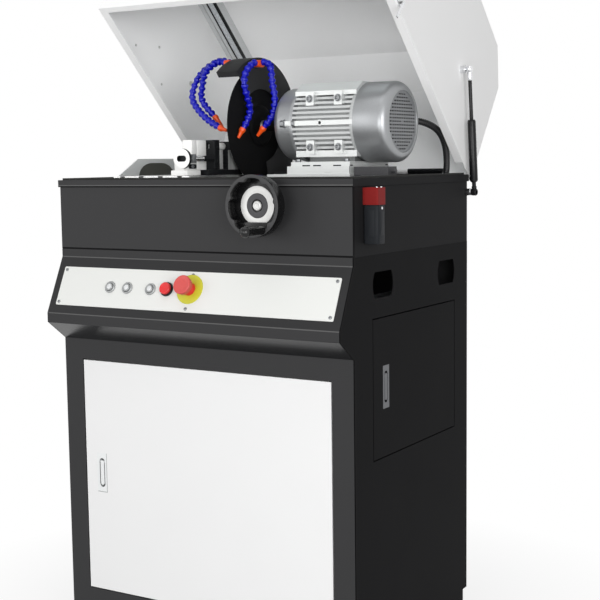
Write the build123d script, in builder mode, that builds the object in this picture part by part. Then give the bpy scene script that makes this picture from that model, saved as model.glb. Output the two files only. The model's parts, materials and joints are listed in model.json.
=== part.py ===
"""Metallographic cutting machine, built piece by piece.

The origin is on the floor under the middle of the cabinet. X runs to the right, Y to the back and Z up,
in mm. The hood stands open, as in the photograph.
"""

import os
from math import cos, hypot, radians, sin, sqrt

from build123d import *

os.makedirs("parts", exist_ok=True)

# cabinet
WIDTH = 720
DEPTH = 523
FOOT_H = 28
PLINTH_H = 42
FRONT_H = 598.7
UNDERCUT_RISE = 39.9
LIP_H = 20.2
SLOPE_RISE = 116.9
COLLAR_H = 16.8
TUB_WALL_H = 132.5
RIM_H = 15
NOSE = 53.4
SHEET = 2
RIM_OVERHANG = 3
RIM_W = 25
SEAL_H = 4
SEAL_W = 8
FOOT_INSET = 45
FOOT_PAD_R = 24
FOOT_PAD_H = 10
FOOT_STUD_R = 8
FOOT_BOSS_R = 14
PLINTH_W = 70
PLINTH_INSET = 6
VENT_DROP = 300
VENT_W = 90
VENT_H = 8
VENT_COLUMN_GAP = 50
VENT_ROW_GAP = 14
VENT_COLUMNS = 3
VENT_ROWS = 5

# doors
DOOR_GAP = 2.5
DOOR_SKIN = 1.5
DOOR_DEPTH = 18
DOOR_PIN_INSET = 4.5
DOOR_PIN_R = 2.5
DOOR_STOP_W = 14
FRONT_DOOR_INSET = 51.5
FRONT_DOOR_H = 505.8
FRONT_DOOR_RISE = 46.9
SIDE_DOOR_W = 377.2
SIDE_DOOR_H = 277.8
SIDE_DOOR_Y = 3.8
SIDE_DOOR_RISE = 388.5
TRAY_W = 26
TRAY_H = 86
TRAY_DEPTH = 14
TRAY_WALL = 1.5
RECESS_W = 15
RECESS_H = 64
FRONT_TRAY_INSET = 42.5
FRONT_TRAY_RISE = 261
SIDE_TRAY_INSET = 53
SIDE_TRAY_RISE = 139.5
PADDLE_W = 9
PADDLE_L = 54
PADDLE_T = 3
PADDLE_PIN_R = 2
PADDLE_PIN_DROP = 19
LIFT_HOLE_R = 43
LIFT_HOLE_H = 51
LIFT_HOLE_FRONT_Y = -142
LIFT_HOLE_BACK_Y = 151
LIFT_HOLE_RISE = 733

# console
CONSOLE_PLATE_INSET = 18.5
CONSOLE_PLATE_L = 86.2
CONSOLE_PLATE_T = 1.5
CONSOLE_PLATE_ROUND = 3
CONSOLE_PLATE_DROP = 66.4
CONTROL_DROP = 65
BUTTON_1_X = -204
BUTTON_2_X = -158.6
BUTTON_3_X = -98.4
RED_BUTTON_X = -56.4
BEZEL_R = 12.5
BEZEL_H = 4
RED_BEZEL_R = 14.8
RED_BEZEL_H = 5
RED_BEZEL_FLOOR = 1
RED_HEAD_R = 12.4
RED_HEAD_H = 7
BARREL_R = 11
BARREL_L = 28
BUTTON_R = 8.4
BUTTON_RISE = 3
BUTTON_CHAMFER = 1
BUTTON_TRAVEL = 3.5
STOP_RING_R = 31
STOP_RING_T = 2
STOP_COLLAR_R = 14
STOP_COLLAR_H = 12
STOP_CAP_R = 20
STOP_CAP_H = 14
STOP_CAP_ROUND = 4
STOP_STEM_R = 7
STOP_TRAVEL = 4

# tub, table and vise
TUB_FLOOR_DROP = 92.5
DRAIN_INSET = 70
DRAIN_BACK = 111.5
DRAIN_R = 18
DRAIN_FLANGE_W = 12
DRAIN_FLANGE_T = 4
DRAIN_WALL = 2
DRAIN_HOLE_GAP = 6
TABLE_X = -140.5
TABLE_W = 199
TABLE_L = 330
TABLE_T = 22
TABLE_FRONT_GAP = 34.5
TABLE_RISE = 7
SLOT_COUNT = 4
SLOT_PITCH = 50
SLOT_W = 12
SLOT_T_W = 20
SLOT_T_H = 7
SLOT_LIP = 8
TABLE_LEG_W = 24
VISE_X = -76
VISE_W = 56
VISE_BASE_T = 11
VISE_BASE_L = 128
VISE_BASE_BACK_Y = -20
VISE_JAW_L = 44
VISE_JAW_H = 60
JAW_PLATE_T = 12
JAW_PLATE_H = 42
JAW_PLATE_LIFT = 1
VISE_OPENING = 18
MOVING_JAW_L = 50
MOVING_JAW_H = 63
JAW_TRAVEL = 16
NUT_BLOCK_GAP = 2
NUT_BLOCK_L = 48
NUT_BLOCK_W = 24
NUT_LUG_L = 12
NUT_LUG_H = 18
NUT_FOOT_W = 42
CLAMP_SCREW_X = -54
CLAMP_SCREW_RISE = 24
CLAMP_SCREW_R = 6
CLAMP_HUB_R = 23.5
CLAMP_HUB_T = 10
CLAMP_HUB_GAP = 3
CLAMP_HUB_FLOOR = 2
GUIDE_ROD_X = -82
GUIDE_ROD_RISE = 50
GUIDE_ROD_R = 7.5

# feed slide
RAIL_X = 173
RAIL_PITCH = 126
RAIL_W = 20
RAIL_H = 16
RAIL_GAP = 17
RAIL_L = 350
RAIL_Y = 25
RAIL_WEB_W = 12
RAIL_FOOT_W = 44
RAIL_FOOT_T = 6
SHOE_W = 40
SHOE_L = 50
SHOE_PITCH = 120
SHOE_DROP = 12
SADDLE_T = 8
SADDLE_X0 = 50
SADDLE_X1 = 250
SADDLE_L = 200
SADDLE_Y = 25
BED_T = 16
BED_X0 = 91
BED_X1 = 240
BED_L = 178
LOCK_END_GAP = 32
LOCK_W = 40
LOCK_H = 18
LOCK_RISE = 4
LOCK_NUT_R = 6
LOCK_NUT_L = 9
FEED_SCREW_X = 171
FEED_SCREW_DROP = 50
FEED_SCREW_R = 8
FEED_NUT_L = 40
FEED_NUT_W = 36
FRONT_BEARING_R = 28
FRONT_BEARING_T = 12
FRONT_SLEEVE_R = 15
FRONT_SLEEVE_L = 5
REAR_BEARING_Y = 130
REAR_BEARING_L = 20
REAR_BEARING_W = 50
REAR_BEARING_OVER = 22

# handwheel
HANDWHEEL_R = 60
HANDWHEEL_RIM_T = 6.5
HANDWHEEL_RIM_L = 25
HANDWHEEL_FRONT_GAP = 58
HANDWHEEL_WEB_T = 8
HANDWHEEL_WEB_R = 59
HANDWHEEL_DISH = 23.5
HANDWHEEL_BUMP_R = 9
HANDWHEEL_BUMPS = 6
HANDWHEEL_BUMP_DEG = 20
HANDWHEEL_HUB_R = 18
HUB_PLATE_R = 38
HUB_PLATE_HOLE_R = 24
HUB_PLATE_T = 2
HUB_NUT_R = 10.5
HUB_NUT_T = 5
HUB_NUT_CHAMFER = 1.5
HANDLE_DX = 24
HANDLE_DZ = -46
HANDLE_PIN_R = 3
HANDLE_PIN_L = 60
HANDLE_L = 57
HANDLE_R = 8
HANDLE_BALL_R = 11

# motor and spindle
SPINDLE_Y = 29
SHAFT_HEIGHT = 89.5
SHAFT_R = 12
MOTOR_X0 = 46
SHIELD_L = 53
SHIELD_R = 77
SHIELD_BOSS_R = 30
SHIELD_BOSS_L = 8
SHIELD_BOSS_TAPER = 4
SHIELD_BEVEL = 7
SHIELD_RIM_L = 10
SHIELD_RIB_H = 12
FRAME_L = 146
FRAME_CORE_R = 66
FRAME_FIN_R = 80
FIN_PITCH = 9.8
FIN_T = 5
FIN_ROWS = 5
FIN_START = 11.9
FRAME_RIB_H = 10
FRAME_RIB_R = 82
FRAME_PAD_W = 72
FRAME_PAD_EDGE_W = 128
FRAME_PAD_EDGE_Z = 57
FRAME_PAD_SHOULDER_Z = 66
FRAME_PAD_Z = 84
FRAME_PAD_LOW_Z = 70
FRAME_SPIGOT_L = 16
FRAME_SPIGOT_BORE_R = 56
FOOT_WEB_X0 = 122
FOOT_WEB_X1 = 230
FOOT_WEB_W = 90
FOOT_SLOT_H = 2.5
FOOT_SLOT_DEPTH = 12
FOOT_SLOT_W = 19
FOOT_SLOT_XS = (136, 162, 210)
LUG_X1 = 139.5
LUG_X2 = 207
LUG_W = 19
LUG_Z0 = 36
LUG_Z1 = 64
LUG_R = 74
MOTOR_FOOT_T = 9
MOTOR_FOOT_W = 170
COVER_R = 83.5
COVER_L = 75
COVER_T = 2
COVER_ROUND = 18
COVER_RECESS_R = 64
COVER_RECESS = 1
GRILLE_R = 52
GRILLE_ROWS = 14
GRILLE_PITCH = 7
GRILLE_SLOT = 3
FAN_R = 66
FAN_L = 26
FAN_BLADES = 8
FAN_BLADE_T = 3
FAN_GAP = 12
FAN_HUB_R = 22
TERMINAL_X = 172
TERMINAL_L = 86
TERMINAL_W = 42
TERMINAL_H = 76
TERMINAL_ROUND = 6
GLAND_R = 11
GLAND_L = 15
GLAND_RISE = 9
CONDUIT_R = 7.5
CONDUIT_SIDES = 12
CONDUIT_STEPS = 18
CONDUIT_SIDE_GAP = 18
CONDUIT_BACK_GAP = 31.5
FLOOR_GLAND_R = 14
FLOOR_GLAND_H = 8

# wheel, guard and coolant
WHEEL_X = -34
WHEEL_R = 125
WHEEL_T = 2
FLANGE_R = 45
FLANGE_T = 8
SPINDLE_NUT_R = 17
SPINDLE_NUT_T = 10
SPINDLE_TIP = 6
GUARD_R = 148
GUARD_T = 2
GUARD_RIGHT_X = -27
GUARD_W = 54
GUARD_FRONT_DEG = 130
GUARD_REAR_DEG = 0
GUARD_PLATE_REAR_DEG = -78
GUARD_HOLE_R = 80
GUARD_LIP = 14
BRACKET_T = 6
BRACKET_Y = 100
BRACKET_W = 50
BRACKET_H = 43
BRACKET_REACH = 90
MANIFOLD_R = 7
MANIFOLD_DY = -30
MANIFOLD_DZ = 132.7
MANIFOLD_LEFT = 2
MANIFOLD_RIGHT = 5
LEFT_FITTING_L = 12
LEFT_FITTING_W = 36
LEFT_FITTING_RISE = 4
RIGHT_FITTING_L = 16
RIGHT_FITTING_W = 28
RIGHT_FITTING_RISE = 2
FITTING_H = 20
FITTING_ROUND = 6
HOSE_R = 7.6
HOSE_NECK_R = 6
HOSE_BORE_R = 4
HOSE_PITCH = 14
HOSE_SIDES = 10
HOSE_SHOULDER = 0.6
NOZZLE_TIP_R = 3.2
NOZZLE_BORE_R = 2.2
NOZZLE_TIP_BORE_R = 1.8

# hood, in its own plane: u forward along the bottom edge, w up, when shut
HINGE_BACK = 1.9
HINGE_RISE = 8.8
HOOD_OPEN_DEG = 44.3
HOOD_BACK_U = -28
HOOD_BOTTOM_W = -4
HOOD_SHOULDER_U = 5.1
HOOD_SHOULDER_W = 257
HOOD_TOP_U = 76.3
HOOD_TOP_W = 322
HOOD_TOP_FRONT_U = 330
HOOD_OVERHANG = 4.6
HOOD_FRONT_W = 90
HOOD_FLANGE_W = 18
HOOD_FRONT_FLANGE = 12
HOOD_FLANGE_BACK_U = 30
HOOD_VOID_DROP = 20
WINDOW_INSET = 100
WINDOW_L = 210
WINDOW_LAP = 14
WINDOW_ROUND = 10
WINDOW_T = 4
LAMP_W = 50
LAMP_H = 30
LAMP_L = 240
LAMP_BACK_U = 82
LAMP_LENS_T = 3
LAMP_LENS_INSET = 7
HANDLE_BAR_R = 8
HANDLE_POST_R = 7
HANDLE_BAR_L = 240
HANDLE_BAR_OUT = 36
HANDLE_BAR_W = 45
KEY_OUT = 14
KEY_T = 2
KEY_W = 7
KEY_DROP = 43
KEY_PLATE_W = 18
KEY_PLATE_H = 44
KEY_FLANGE_T = 3
HINGE_KNUCKLES = 7
HINGE_INSET = 60
HINGE_KNUCKLE_R = 5
HINGE_PIN_R = 2.5
HINGE_LEAF_T = 2
HINGE_LEAF_W = 18

# gas springs
SPRING_OUT = 20
SPRING_LOWER_INSET = 6.5
SPRING_LOWER_DROP = 38.5
SPRING_UPPER_U = 177.9
SPRING_UPPER_W = 131.2
SPRING_R = 9
SPRING_ROD_R = 4
SPRING_TUBE_START = 22
SPRING_TUBE_L = 136
SPRING_TUBE_FLOOR = 10
SPRING_SHANK_R = 5
SPRING_ROD_IN = 40
SPRING_EYE_R = 8
SPRING_EYE_W = 12
SPRING_STUD_R = 5
SPRING_STUD_COLLAR_R = 8

# safety switch
SWITCH_INSET = 52.5
SWITCH_W = 30
SWITCH_OUT = 33
SWITCH_BODY_H = 74
SWITCH_HEAD_H = 33
SWITCH_TOP_GAP = 2
SWITCH_SLOT_W = 13
SWITCH_SLOT_T = 4.6
SWITCH_SLOT_H = 24
SWITCH_ROUND = 5

# side port
PORT_T = 2
PORT_Y0 = -90
PORT_Y1 = 186
PORT_TOP_Y0 = -21
PORT_TOP_Y1 = 117
PORT_TOP_RISE = 44
PORT_ARCH_Y0 = -19
PORT_ARCH_Y1 = 115
PORT_ARCH_H = 30
PORT_ARCH_LIFT = 4
PORT_ARCH_R = 24
CURTAIN_T = 1.5
CURTAIN_LAP = 3

# inside the cabinet
TANK_INSET = 30
TANK_Y = 20
TANK_W = 420
TANK_L = 380
TANK_H = 240
TANK_WALL = 4
PUMP_DX = 140
PUMP_Y = 90
PUMP_R = 52
PUMP_H = 150
PUMP_FLANGE = 130
PUMP_FLANGE_T = 8
PUMP_FLANGE_ROUND = 10
PUMP_HOLE_GAP = 2
PUMP_INLET_R = 30
PUMP_INLET_L = 160
PANEL_INSET = 160
PANEL_T = 2
PANEL_L = 400
PANEL_H = 300
PANEL_RISE = 380
GEAR_DEPTH = 60
GEAR_H = 80
GEAR_W = 45
GEAR_GAP = 10
GEAR_COUNT = 5

# running and sliding fits
FIT = 0.05
CLEAR = 0.3

# derived levels and edges
LEFT_X = -WIDTH / 2
RIGHT_X = WIDTH / 2
FRONT_Y = -DEPTH / 2
BACK_Y = DEPTH / 2
BASE_Z = FOOT_H + PLINTH_H
UNDERCUT_Z = BASE_Z + FRONT_H
LIP_Z0 = UNDERCUT_Z + UNDERCUT_RISE
LIP_Z1 = LIP_Z0 + LIP_H
SLOPE_Z1 = LIP_Z1 + SLOPE_RISE
SEAM_Z = SLOPE_Z1 + COLLAR_H
RIM_Z0 = SEAM_Z + TUB_WALL_H
RIM_Z1 = RIM_Z0 + RIM_H
FLOOR_Z = RIM_Z0 - TUB_FLOOR_DROP + SHEET
TABLE_Z = RIM_Z1 + TABLE_RISE
RIM_IN_X = RIGHT_X + RIM_OVERHANG - RIM_W
RIM_IN_Y = BACK_Y + RIM_OVERHANG - RIM_W
FRONT_DOOR_W = WIDTH - 2 * FRONT_DOOR_INSET
CONDUIT_END_X = RIM_IN_X - CONDUIT_SIDE_GAP
CONDUIT_END_Y = RIM_IN_Y - CONDUIT_BACK_GAP
FEED_SCREW_Z = RIM_Z1 - FEED_SCREW_DROP
HINGE_L = WIDTH - 2 * HINGE_INSET
HINGE_Y = BACK_Y + HINGE_BACK
HINGE_Z = RIM_Z1 + HINGE_RISE
HOOD_FRONT_U = HINGE_Y - FRONT_Y + HOOD_OVERHANG
SWITCH_Y = FRONT_Y + SWITCH_INSET
KEY_X = RIGHT_X + KEY_OUT
KEY_U = HINGE_Y - SWITCH_Y
SPRING_X = RIGHT_X + SPRING_OUT
SPRING_LOWER_Y = BACK_Y - SPRING_LOWER_INSET
SPRING_LOWER_Z = RIM_Z1 - SPRING_LOWER_DROP
DRAIN_X = LEFT_X + DRAIN_INSET
DRAIN_Y = BACK_Y - DRAIN_BACK
TANK_X = LEFT_X + TANK_INSET + TANK_W / 2
PUMP_X = TANK_X + PUMP_DX
PANEL_X = RIGHT_X - PANEL_INSET
tank_z0 = BASE_Z + SHEET
tank_z1 = tank_z0 + TANK_H
BOTTOM = (Align.CENTER, Align.CENTER, Align.MIN)

# base
foot_points = [
    (x, y, 0)
    for x in (LEFT_X + FOOT_INSET, RIGHT_X - FOOT_INSET)
    for y in (FRONT_Y + FOOT_INSET, BACK_Y - FOOT_INSET)
]

with BuildPart() as levelling_feet:
    with Locations(*foot_points):
        Cone(FOOT_PAD_R, FOOT_BOSS_R, FOOT_PAD_H, align=BOTTOM)
        Cylinder(FOOT_STUD_R, FOOT_H, align=BOTTOM)
levelling_feet.part.label = "levelling_feet"
export_step(levelling_feet.part, "parts/levelling_feet.step")

with BuildPart() as plinth:
    with BuildSketch(Plane.XY.offset(FOOT_H)):
        Rectangle(WIDTH - 2 * PLINTH_INSET, DEPTH - 2 * PLINTH_INSET)
        Rectangle(
            WIDTH - 2 * PLINTH_INSET - 2 * PLINTH_W,
            DEPTH - 2 * PLINTH_INSET - 2 * PLINTH_W,
            mode=Mode.SUBTRACT,
        )
    extrude(amount=PLINTH_H)

with BuildPart() as cabinet_floor:
    with BuildSketch(Plane.XY.offset(BASE_Z)):
        Rectangle(WIDTH - 2 * SHEET, DEPTH - 2 * SHEET)
    extrude(amount=SHEET)

base_frame = Compound(label="base_frame", children=[plinth.part, cabinet_floor.part])
export_step(base_frame, "parts/base_frame.step")

# side, back and front panels
side_outline = [
    (BACK_Y, BASE_Z),
    (BACK_Y, SEAM_Z),
    (FRONT_Y, SEAM_Z),
    (FRONT_Y, SLOPE_Z1),
    (FRONT_Y - NOSE, LIP_Z1),
    (FRONT_Y - NOSE, LIP_Z0),
    (FRONT_Y, UNDERCUT_Z),
    (FRONT_Y, BASE_Z),
]
lift_points = [
    (LIFT_HOLE_FRONT_Y, BASE_Z + LIFT_HOLE_RISE),
    (LIFT_HOLE_BACK_Y, BASE_Z + LIFT_HOLE_RISE),
]
side_door_z = BASE_Z + SIDE_DOOR_RISE + SIDE_DOOR_H / 2

with BuildSketch() as lift_hole:
    Circle(LIFT_HOLE_R)
    Rectangle(2 * LIFT_HOLE_R, LIFT_HOLE_H, mode=Mode.INTERSECT)

with BuildPart() as cabinet_left_side:
    with BuildSketch(Plane.YZ.offset(LEFT_X)):
        with BuildLine():
            Polyline(*side_outline, close=True)
        make_face()
        with Locations(*lift_points):
            add(lift_hole.sketch, mode=Mode.SUBTRACT)
    extrude(amount=SHEET)
cabinet_left_side.part.label = "cabinet_left_side"
export_step(cabinet_left_side.part, "parts/cabinet_left_side.step")

side_opening = (SIDE_DOOR_W + 2 * DOOR_GAP, SIDE_DOOR_H + 2 * DOOR_GAP)
stop_depth = DOOR_PIN_INSET + hypot(DOOR_PIN_INSET, DOOR_DEPTH - DOOR_PIN_INSET) + CLEAR

with BuildPart() as right_side_sheet:
    with BuildSketch(Plane.YZ.offset(RIGHT_X)):
        with BuildLine():
            Polyline(*side_outline, close=True)
        make_face()
        with Locations(*lift_points):
            add(lift_hole.sketch, mode=Mode.SUBTRACT)
        with Locations((SIDE_DOOR_Y, side_door_z)):
            Rectangle(*side_opening, mode=Mode.SUBTRACT)
    extrude(amount=-SHEET)
    with BuildSketch(Plane.YZ.offset(RIGHT_X - SHEET)):
        with Locations((SIDE_DOOR_Y, side_door_z)):
            Rectangle(side_opening[0] + 2 * SHEET, side_opening[1] + 2 * SHEET)
            Rectangle(*side_opening, mode=Mode.SUBTRACT)
    extrude(amount=-(stop_depth - SHEET))
    with BuildSketch(Plane.YZ.offset(RIGHT_X - stop_depth)):
        with Locations((SIDE_DOOR_Y, side_door_z)):
            Rectangle(side_opening[0] + 2 * SHEET, side_opening[1] + 2 * SHEET)
            Rectangle(
                side_opening[0] - 2 * DOOR_STOP_W,
                side_opening[1] - 2 * DOOR_STOP_W,
                mode=Mode.SUBTRACT,
            )
    extrude(amount=-SHEET)

with BuildPart() as cabinet_back:
    with BuildSketch(Plane.XZ.offset(-BACK_Y)):
        with Locations((0, (BASE_Z + SHEET + SEAM_Z) / 2)):
            Rectangle(WIDTH - 2 * SHEET, SEAM_Z - BASE_Z - SHEET)
        with Locations((0, SEAM_Z - VENT_DROP)):
            with GridLocations(VENT_W + VENT_COLUMN_GAP, VENT_H + VENT_ROW_GAP, VENT_COLUMNS, VENT_ROWS):
                Rectangle(VENT_W, VENT_H, mode=Mode.SUBTRACT)
    extrude(amount=SHEET)
cabinet_back.part.label = "cabinet_back"
export_step(cabinet_back.part, "parts/cabinet_back.step")

front_door_z = BASE_Z + FRONT_DOOR_RISE + FRONT_DOOR_H / 2
front_opening = (FRONT_DOOR_W + 2 * DOOR_GAP, FRONT_DOOR_H + 2 * DOOR_GAP)

with BuildPart() as front_frame_sheet:
    with BuildSketch(Plane.XZ.offset(-FRONT_Y)):
        with Locations((0, (BASE_Z + SHEET + UNDERCUT_Z) / 2)):
            Rectangle(WIDTH - 2 * SHEET, UNDERCUT_Z - BASE_Z - SHEET)
        with Locations((0, front_door_z)):
            Rectangle(*front_opening, mode=Mode.SUBTRACT)
    extrude(amount=-SHEET)
    with BuildSketch(Plane.XZ.offset(-FRONT_Y - SHEET)):
        with Locations((0, front_door_z)):
            Rectangle(front_opening[0] + 2 * SHEET, front_opening[1] + 2 * SHEET)
            Rectangle(*front_opening, mode=Mode.SUBTRACT)
    extrude(amount=-(stop_depth - SHEET))
    with BuildSketch(Plane.XZ.offset(-FRONT_Y - stop_depth)):
        with Locations((0, front_door_z)):
            Rectangle(front_opening[0] + 2 * SHEET, front_opening[1] + 2 * SHEET)
            Rectangle(
                front_opening[0] - 2 * DOOR_STOP_W,
                front_opening[1] - 2 * DOOR_STOP_W,
                mode=Mode.SUBTRACT,
            )
    extrude(amount=-SHEET)

# console: a bent sheet between the side panels, in the plane of its own slope
console_plane = Plane(origin=(0, FRONT_Y, SLOPE_Z1), x_dir=(1, 0, 0), z_dir=(0, -SLOPE_RISE, NOSE))
control_points = [
    (BUTTON_1_X, -CONTROL_DROP),
    (BUTTON_2_X, -CONTROL_DROP),
    (BUTTON_3_X, -CONTROL_DROP),
    (RED_BUTTON_X, -CONTROL_DROP),
    (0, -CONTROL_DROP),
]
silver_points = control_points[:3]

with BuildPart() as console_shell:
    with BuildSketch(Plane.YZ.offset(LEFT_X + SHEET)):
        with BuildLine():
            Polyline(
                (FRONT_Y, SEAM_Z),
                (FRONT_Y, SLOPE_Z1),
                (FRONT_Y - NOSE, LIP_Z1),
                (FRONT_Y - NOSE, LIP_Z0),
                (FRONT_Y, UNDERCUT_Z),
                (FRONT_Y + SHEET, UNDERCUT_Z),
                (FRONT_Y + SHEET, UNDERCUT_Z + SHEET / 2),
                (FRONT_Y - NOSE + SHEET, LIP_Z0 + SHEET / 2),
                (FRONT_Y - NOSE + SHEET, LIP_Z1 - SHEET / 2),
                (FRONT_Y + SHEET, SLOPE_Z1 - SHEET / 2),
                (FRONT_Y + SHEET, SEAM_Z),
                close=True,
            )
        make_face()
    extrude(amount=WIDTH - 2 * SHEET)
    with BuildSketch(console_plane):
        with Locations(*control_points):
            Circle(BARREL_R)
    extrude(amount=-4 * SHEET, mode=Mode.SUBTRACT)
console_shell.part.label = "console_shell"
export_step(console_shell.part, "parts/console_shell.step")

with BuildPart() as console_plate:
    with BuildSketch(console_plane):
        with Locations((0, -CONSOLE_PLATE_DROP)):
            RectangleRounded(WIDTH - 2 * CONSOLE_PLATE_INSET, CONSOLE_PLATE_L, CONSOLE_PLATE_ROUND)
        with Locations(*control_points):
            Circle(BARREL_R, mode=Mode.SUBTRACT)
    extrude(amount=CONSOLE_PLATE_T)
console_plate.part.label = "console_plate"
export_step(console_plate.part, "parts/console_plate.step")

button_plane = console_plane.offset(CONSOLE_PLATE_T)
barrel_bore = BUTTON_R + CLEAR

with BuildPart() as silver_bezels:
    with BuildSketch(button_plane):
        with Locations(*silver_points):
            Circle(BEZEL_R)
            Circle(barrel_bore, mode=Mode.SUBTRACT)
    extrude(amount=BEZEL_H)
    with BuildSketch(button_plane):
        with Locations(*silver_points):
            Circle(BARREL_R)
            Circle(barrel_bore, mode=Mode.SUBTRACT)
    extrude(amount=-BARREL_L)
    with BuildSketch(button_plane.offset(-BARREL_L)):
        with Locations(*silver_points):
            Circle(BARREL_R)
    extrude(amount=-SHEET)

with BuildPart() as red_button_bezel:
    with BuildSketch(button_plane):
        with Locations(control_points[3]):
            Circle(RED_BEZEL_R)
            Circle(barrel_bore, mode=Mode.SUBTRACT)
    extrude(amount=RED_BEZEL_H)
    with BuildSketch(button_plane.offset(RED_BEZEL_FLOOR)):
        with Locations(control_points[3]):
            Circle(RED_HEAD_R + CLEAR)
    extrude(amount=RED_BEZEL_H - RED_BEZEL_FLOOR, mode=Mode.SUBTRACT)
    with BuildSketch(button_plane):
        with Locations(control_points[3]):
            Circle(BARREL_R)
            Circle(barrel_bore, mode=Mode.SUBTRACT)
    extrude(amount=-BARREL_L)
    with BuildSketch(button_plane.offset(-BARREL_L)):
        with Locations(control_points[3]):
            Circle(BARREL_R)
    extrude(amount=-SHEET)

button_bezels = Compound(label="button_bezels", children=[silver_bezels.part, red_button_bezel.part])
export_step(button_bezels, "parts/button_bezels.step")

cap_length = BARREL_L - BUTTON_TRAVEL - CLEAR
red_head_z = RED_BEZEL_FLOOR + BUTTON_TRAVEL + CLEAR
facing = Axis(console_plane.origin, console_plane.z_dir)

with BuildPart() as silver_button_1:
    with BuildSketch(button_plane.offset(BEZEL_H + BUTTON_RISE)):
        with Locations(control_points[0]):
            Circle(BUTTON_R)
    extrude(amount=-(cap_length + BEZEL_H + BUTTON_RISE))
    chamfer(silver_button_1.faces().sort_by(facing)[-1].edges(), BUTTON_CHAMFER)
silver_button_1.part.label = "silver_button_1"
export_step(silver_button_1.part, "parts/silver_button_1.step")

with BuildPart() as silver_button_2:
    with BuildSketch(button_plane.offset(BEZEL_H + BUTTON_RISE)):
        with Locations(control_points[1]):
            Circle(BUTTON_R)
    extrude(amount=-(cap_length + BEZEL_H + BUTTON_RISE))
    chamfer(silver_button_2.faces().sort_by(facing)[-1].edges(), BUTTON_CHAMFER)
silver_button_2.part.label = "silver_button_2"
export_step(silver_button_2.part, "parts/silver_button_2.step")

with BuildPart() as silver_button_3:
    with BuildSketch(button_plane.offset(BEZEL_H + BUTTON_RISE)):
        with Locations(control_points[2]):
            Circle(BUTTON_R)
    extrude(amount=-(cap_length + BEZEL_H + BUTTON_RISE))
    chamfer(silver_button_3.faces().sort_by(facing)[-1].edges(), BUTTON_CHAMFER)
silver_button_3.part.label = "silver_button_3"
export_step(silver_button_3.part, "parts/silver_button_3.step")

with BuildPart() as red_button:
    with BuildSketch(button_plane.offset(red_head_z)):
        with Locations(control_points[3]):
            Circle(RED_HEAD_R)
    extrude(amount=RED_HEAD_H)
    chamfer(red_button.faces().sort_by(facing)[-1].edges(), BUTTON_CHAMFER)
    with BuildSketch(button_plane.offset(red_head_z)):
        with Locations(control_points[3]):
            Circle(BUTTON_R)
    extrude(amount=-(cap_length + red_head_z))
red_button.part.label = "red_button"
export_step(red_button.part, "parts/red_button.step")

with BuildPart() as emergency_stop_base:
    with BuildSketch(button_plane):
        with Locations(control_points[4]):
            Circle(STOP_RING_R)
            Circle(STOP_STEM_R + CLEAR, mode=Mode.SUBTRACT)
    extrude(amount=STOP_RING_T)
    with BuildSketch(button_plane.offset(STOP_RING_T)):
        with Locations(control_points[4]):
            Circle(STOP_COLLAR_R)
            Circle(STOP_STEM_R + CLEAR, mode=Mode.SUBTRACT)
    extrude(amount=STOP_COLLAR_H)
    with BuildSketch(button_plane):
        with Locations(control_points[4]):
            Circle(BARREL_R)
            Circle(STOP_STEM_R + CLEAR, mode=Mode.SUBTRACT)
    extrude(amount=-BARREL_L)
    with BuildSketch(button_plane.offset(-BARREL_L)):
        with Locations(control_points[4]):
            Circle(BARREL_R)
    extrude(amount=-SHEET)
emergency_stop_base.part.label = "emergency_stop_base"
export_step(emergency_stop_base.part, "parts/emergency_stop_base.step")

stop_cap_z = STOP_RING_T + STOP_COLLAR_H + STOP_TRAVEL + CLEAR

with BuildPart() as emergency_stop_cap:
    with BuildSketch(button_plane.offset(stop_cap_z)):
        with Locations(control_points[4]):
            Circle(STOP_CAP_R)
    extrude(amount=STOP_CAP_H)
    fillet(emergency_stop_cap.faces().sort_by(facing)[-1].edges(), STOP_CAP_ROUND)
    with BuildSketch(button_plane.offset(stop_cap_z)):
        with Locations(control_points[4]):
            Circle(STOP_STEM_R)
    extrude(amount=-(stop_cap_z + BARREL_L - STOP_TRAVEL - CLEAR))
emergency_stop_cap.part.label = "emergency_stop_cap"
export_step(emergency_stop_cap.part, "parts/emergency_stop_cap.step")

# doors: shallow pans on hidden pivot pins, each with a flush handle
front_tray_x = -FRONT_DOOR_W / 2 + FRONT_TRAY_INSET
front_tray_z = BASE_Z + FRONT_DOOR_RISE + FRONT_TRAY_RISE
side_tray_y = SIDE_DOOR_Y - SIDE_DOOR_W / 2 + SIDE_TRAY_INSET
side_tray_z = BASE_Z + SIDE_DOOR_RISE + SIDE_TRAY_RISE
front_pin_x = FRONT_DOOR_W / 2 - DOOR_PIN_INSET
front_pin_y = FRONT_Y + DOOR_PIN_INSET
side_pin_x = RIGHT_X - DOOR_PIN_INSET
side_pin_y = SIDE_DOOR_Y + SIDE_DOOR_W / 2 - DOOR_PIN_INSET
front_door_z0 = front_door_z - FRONT_DOOR_H / 2
front_door_z1 = front_door_z + FRONT_DOOR_H / 2
side_door_z0 = side_door_z - SIDE_DOOR_H / 2
side_door_z1 = side_door_z + SIDE_DOOR_H / 2

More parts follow.
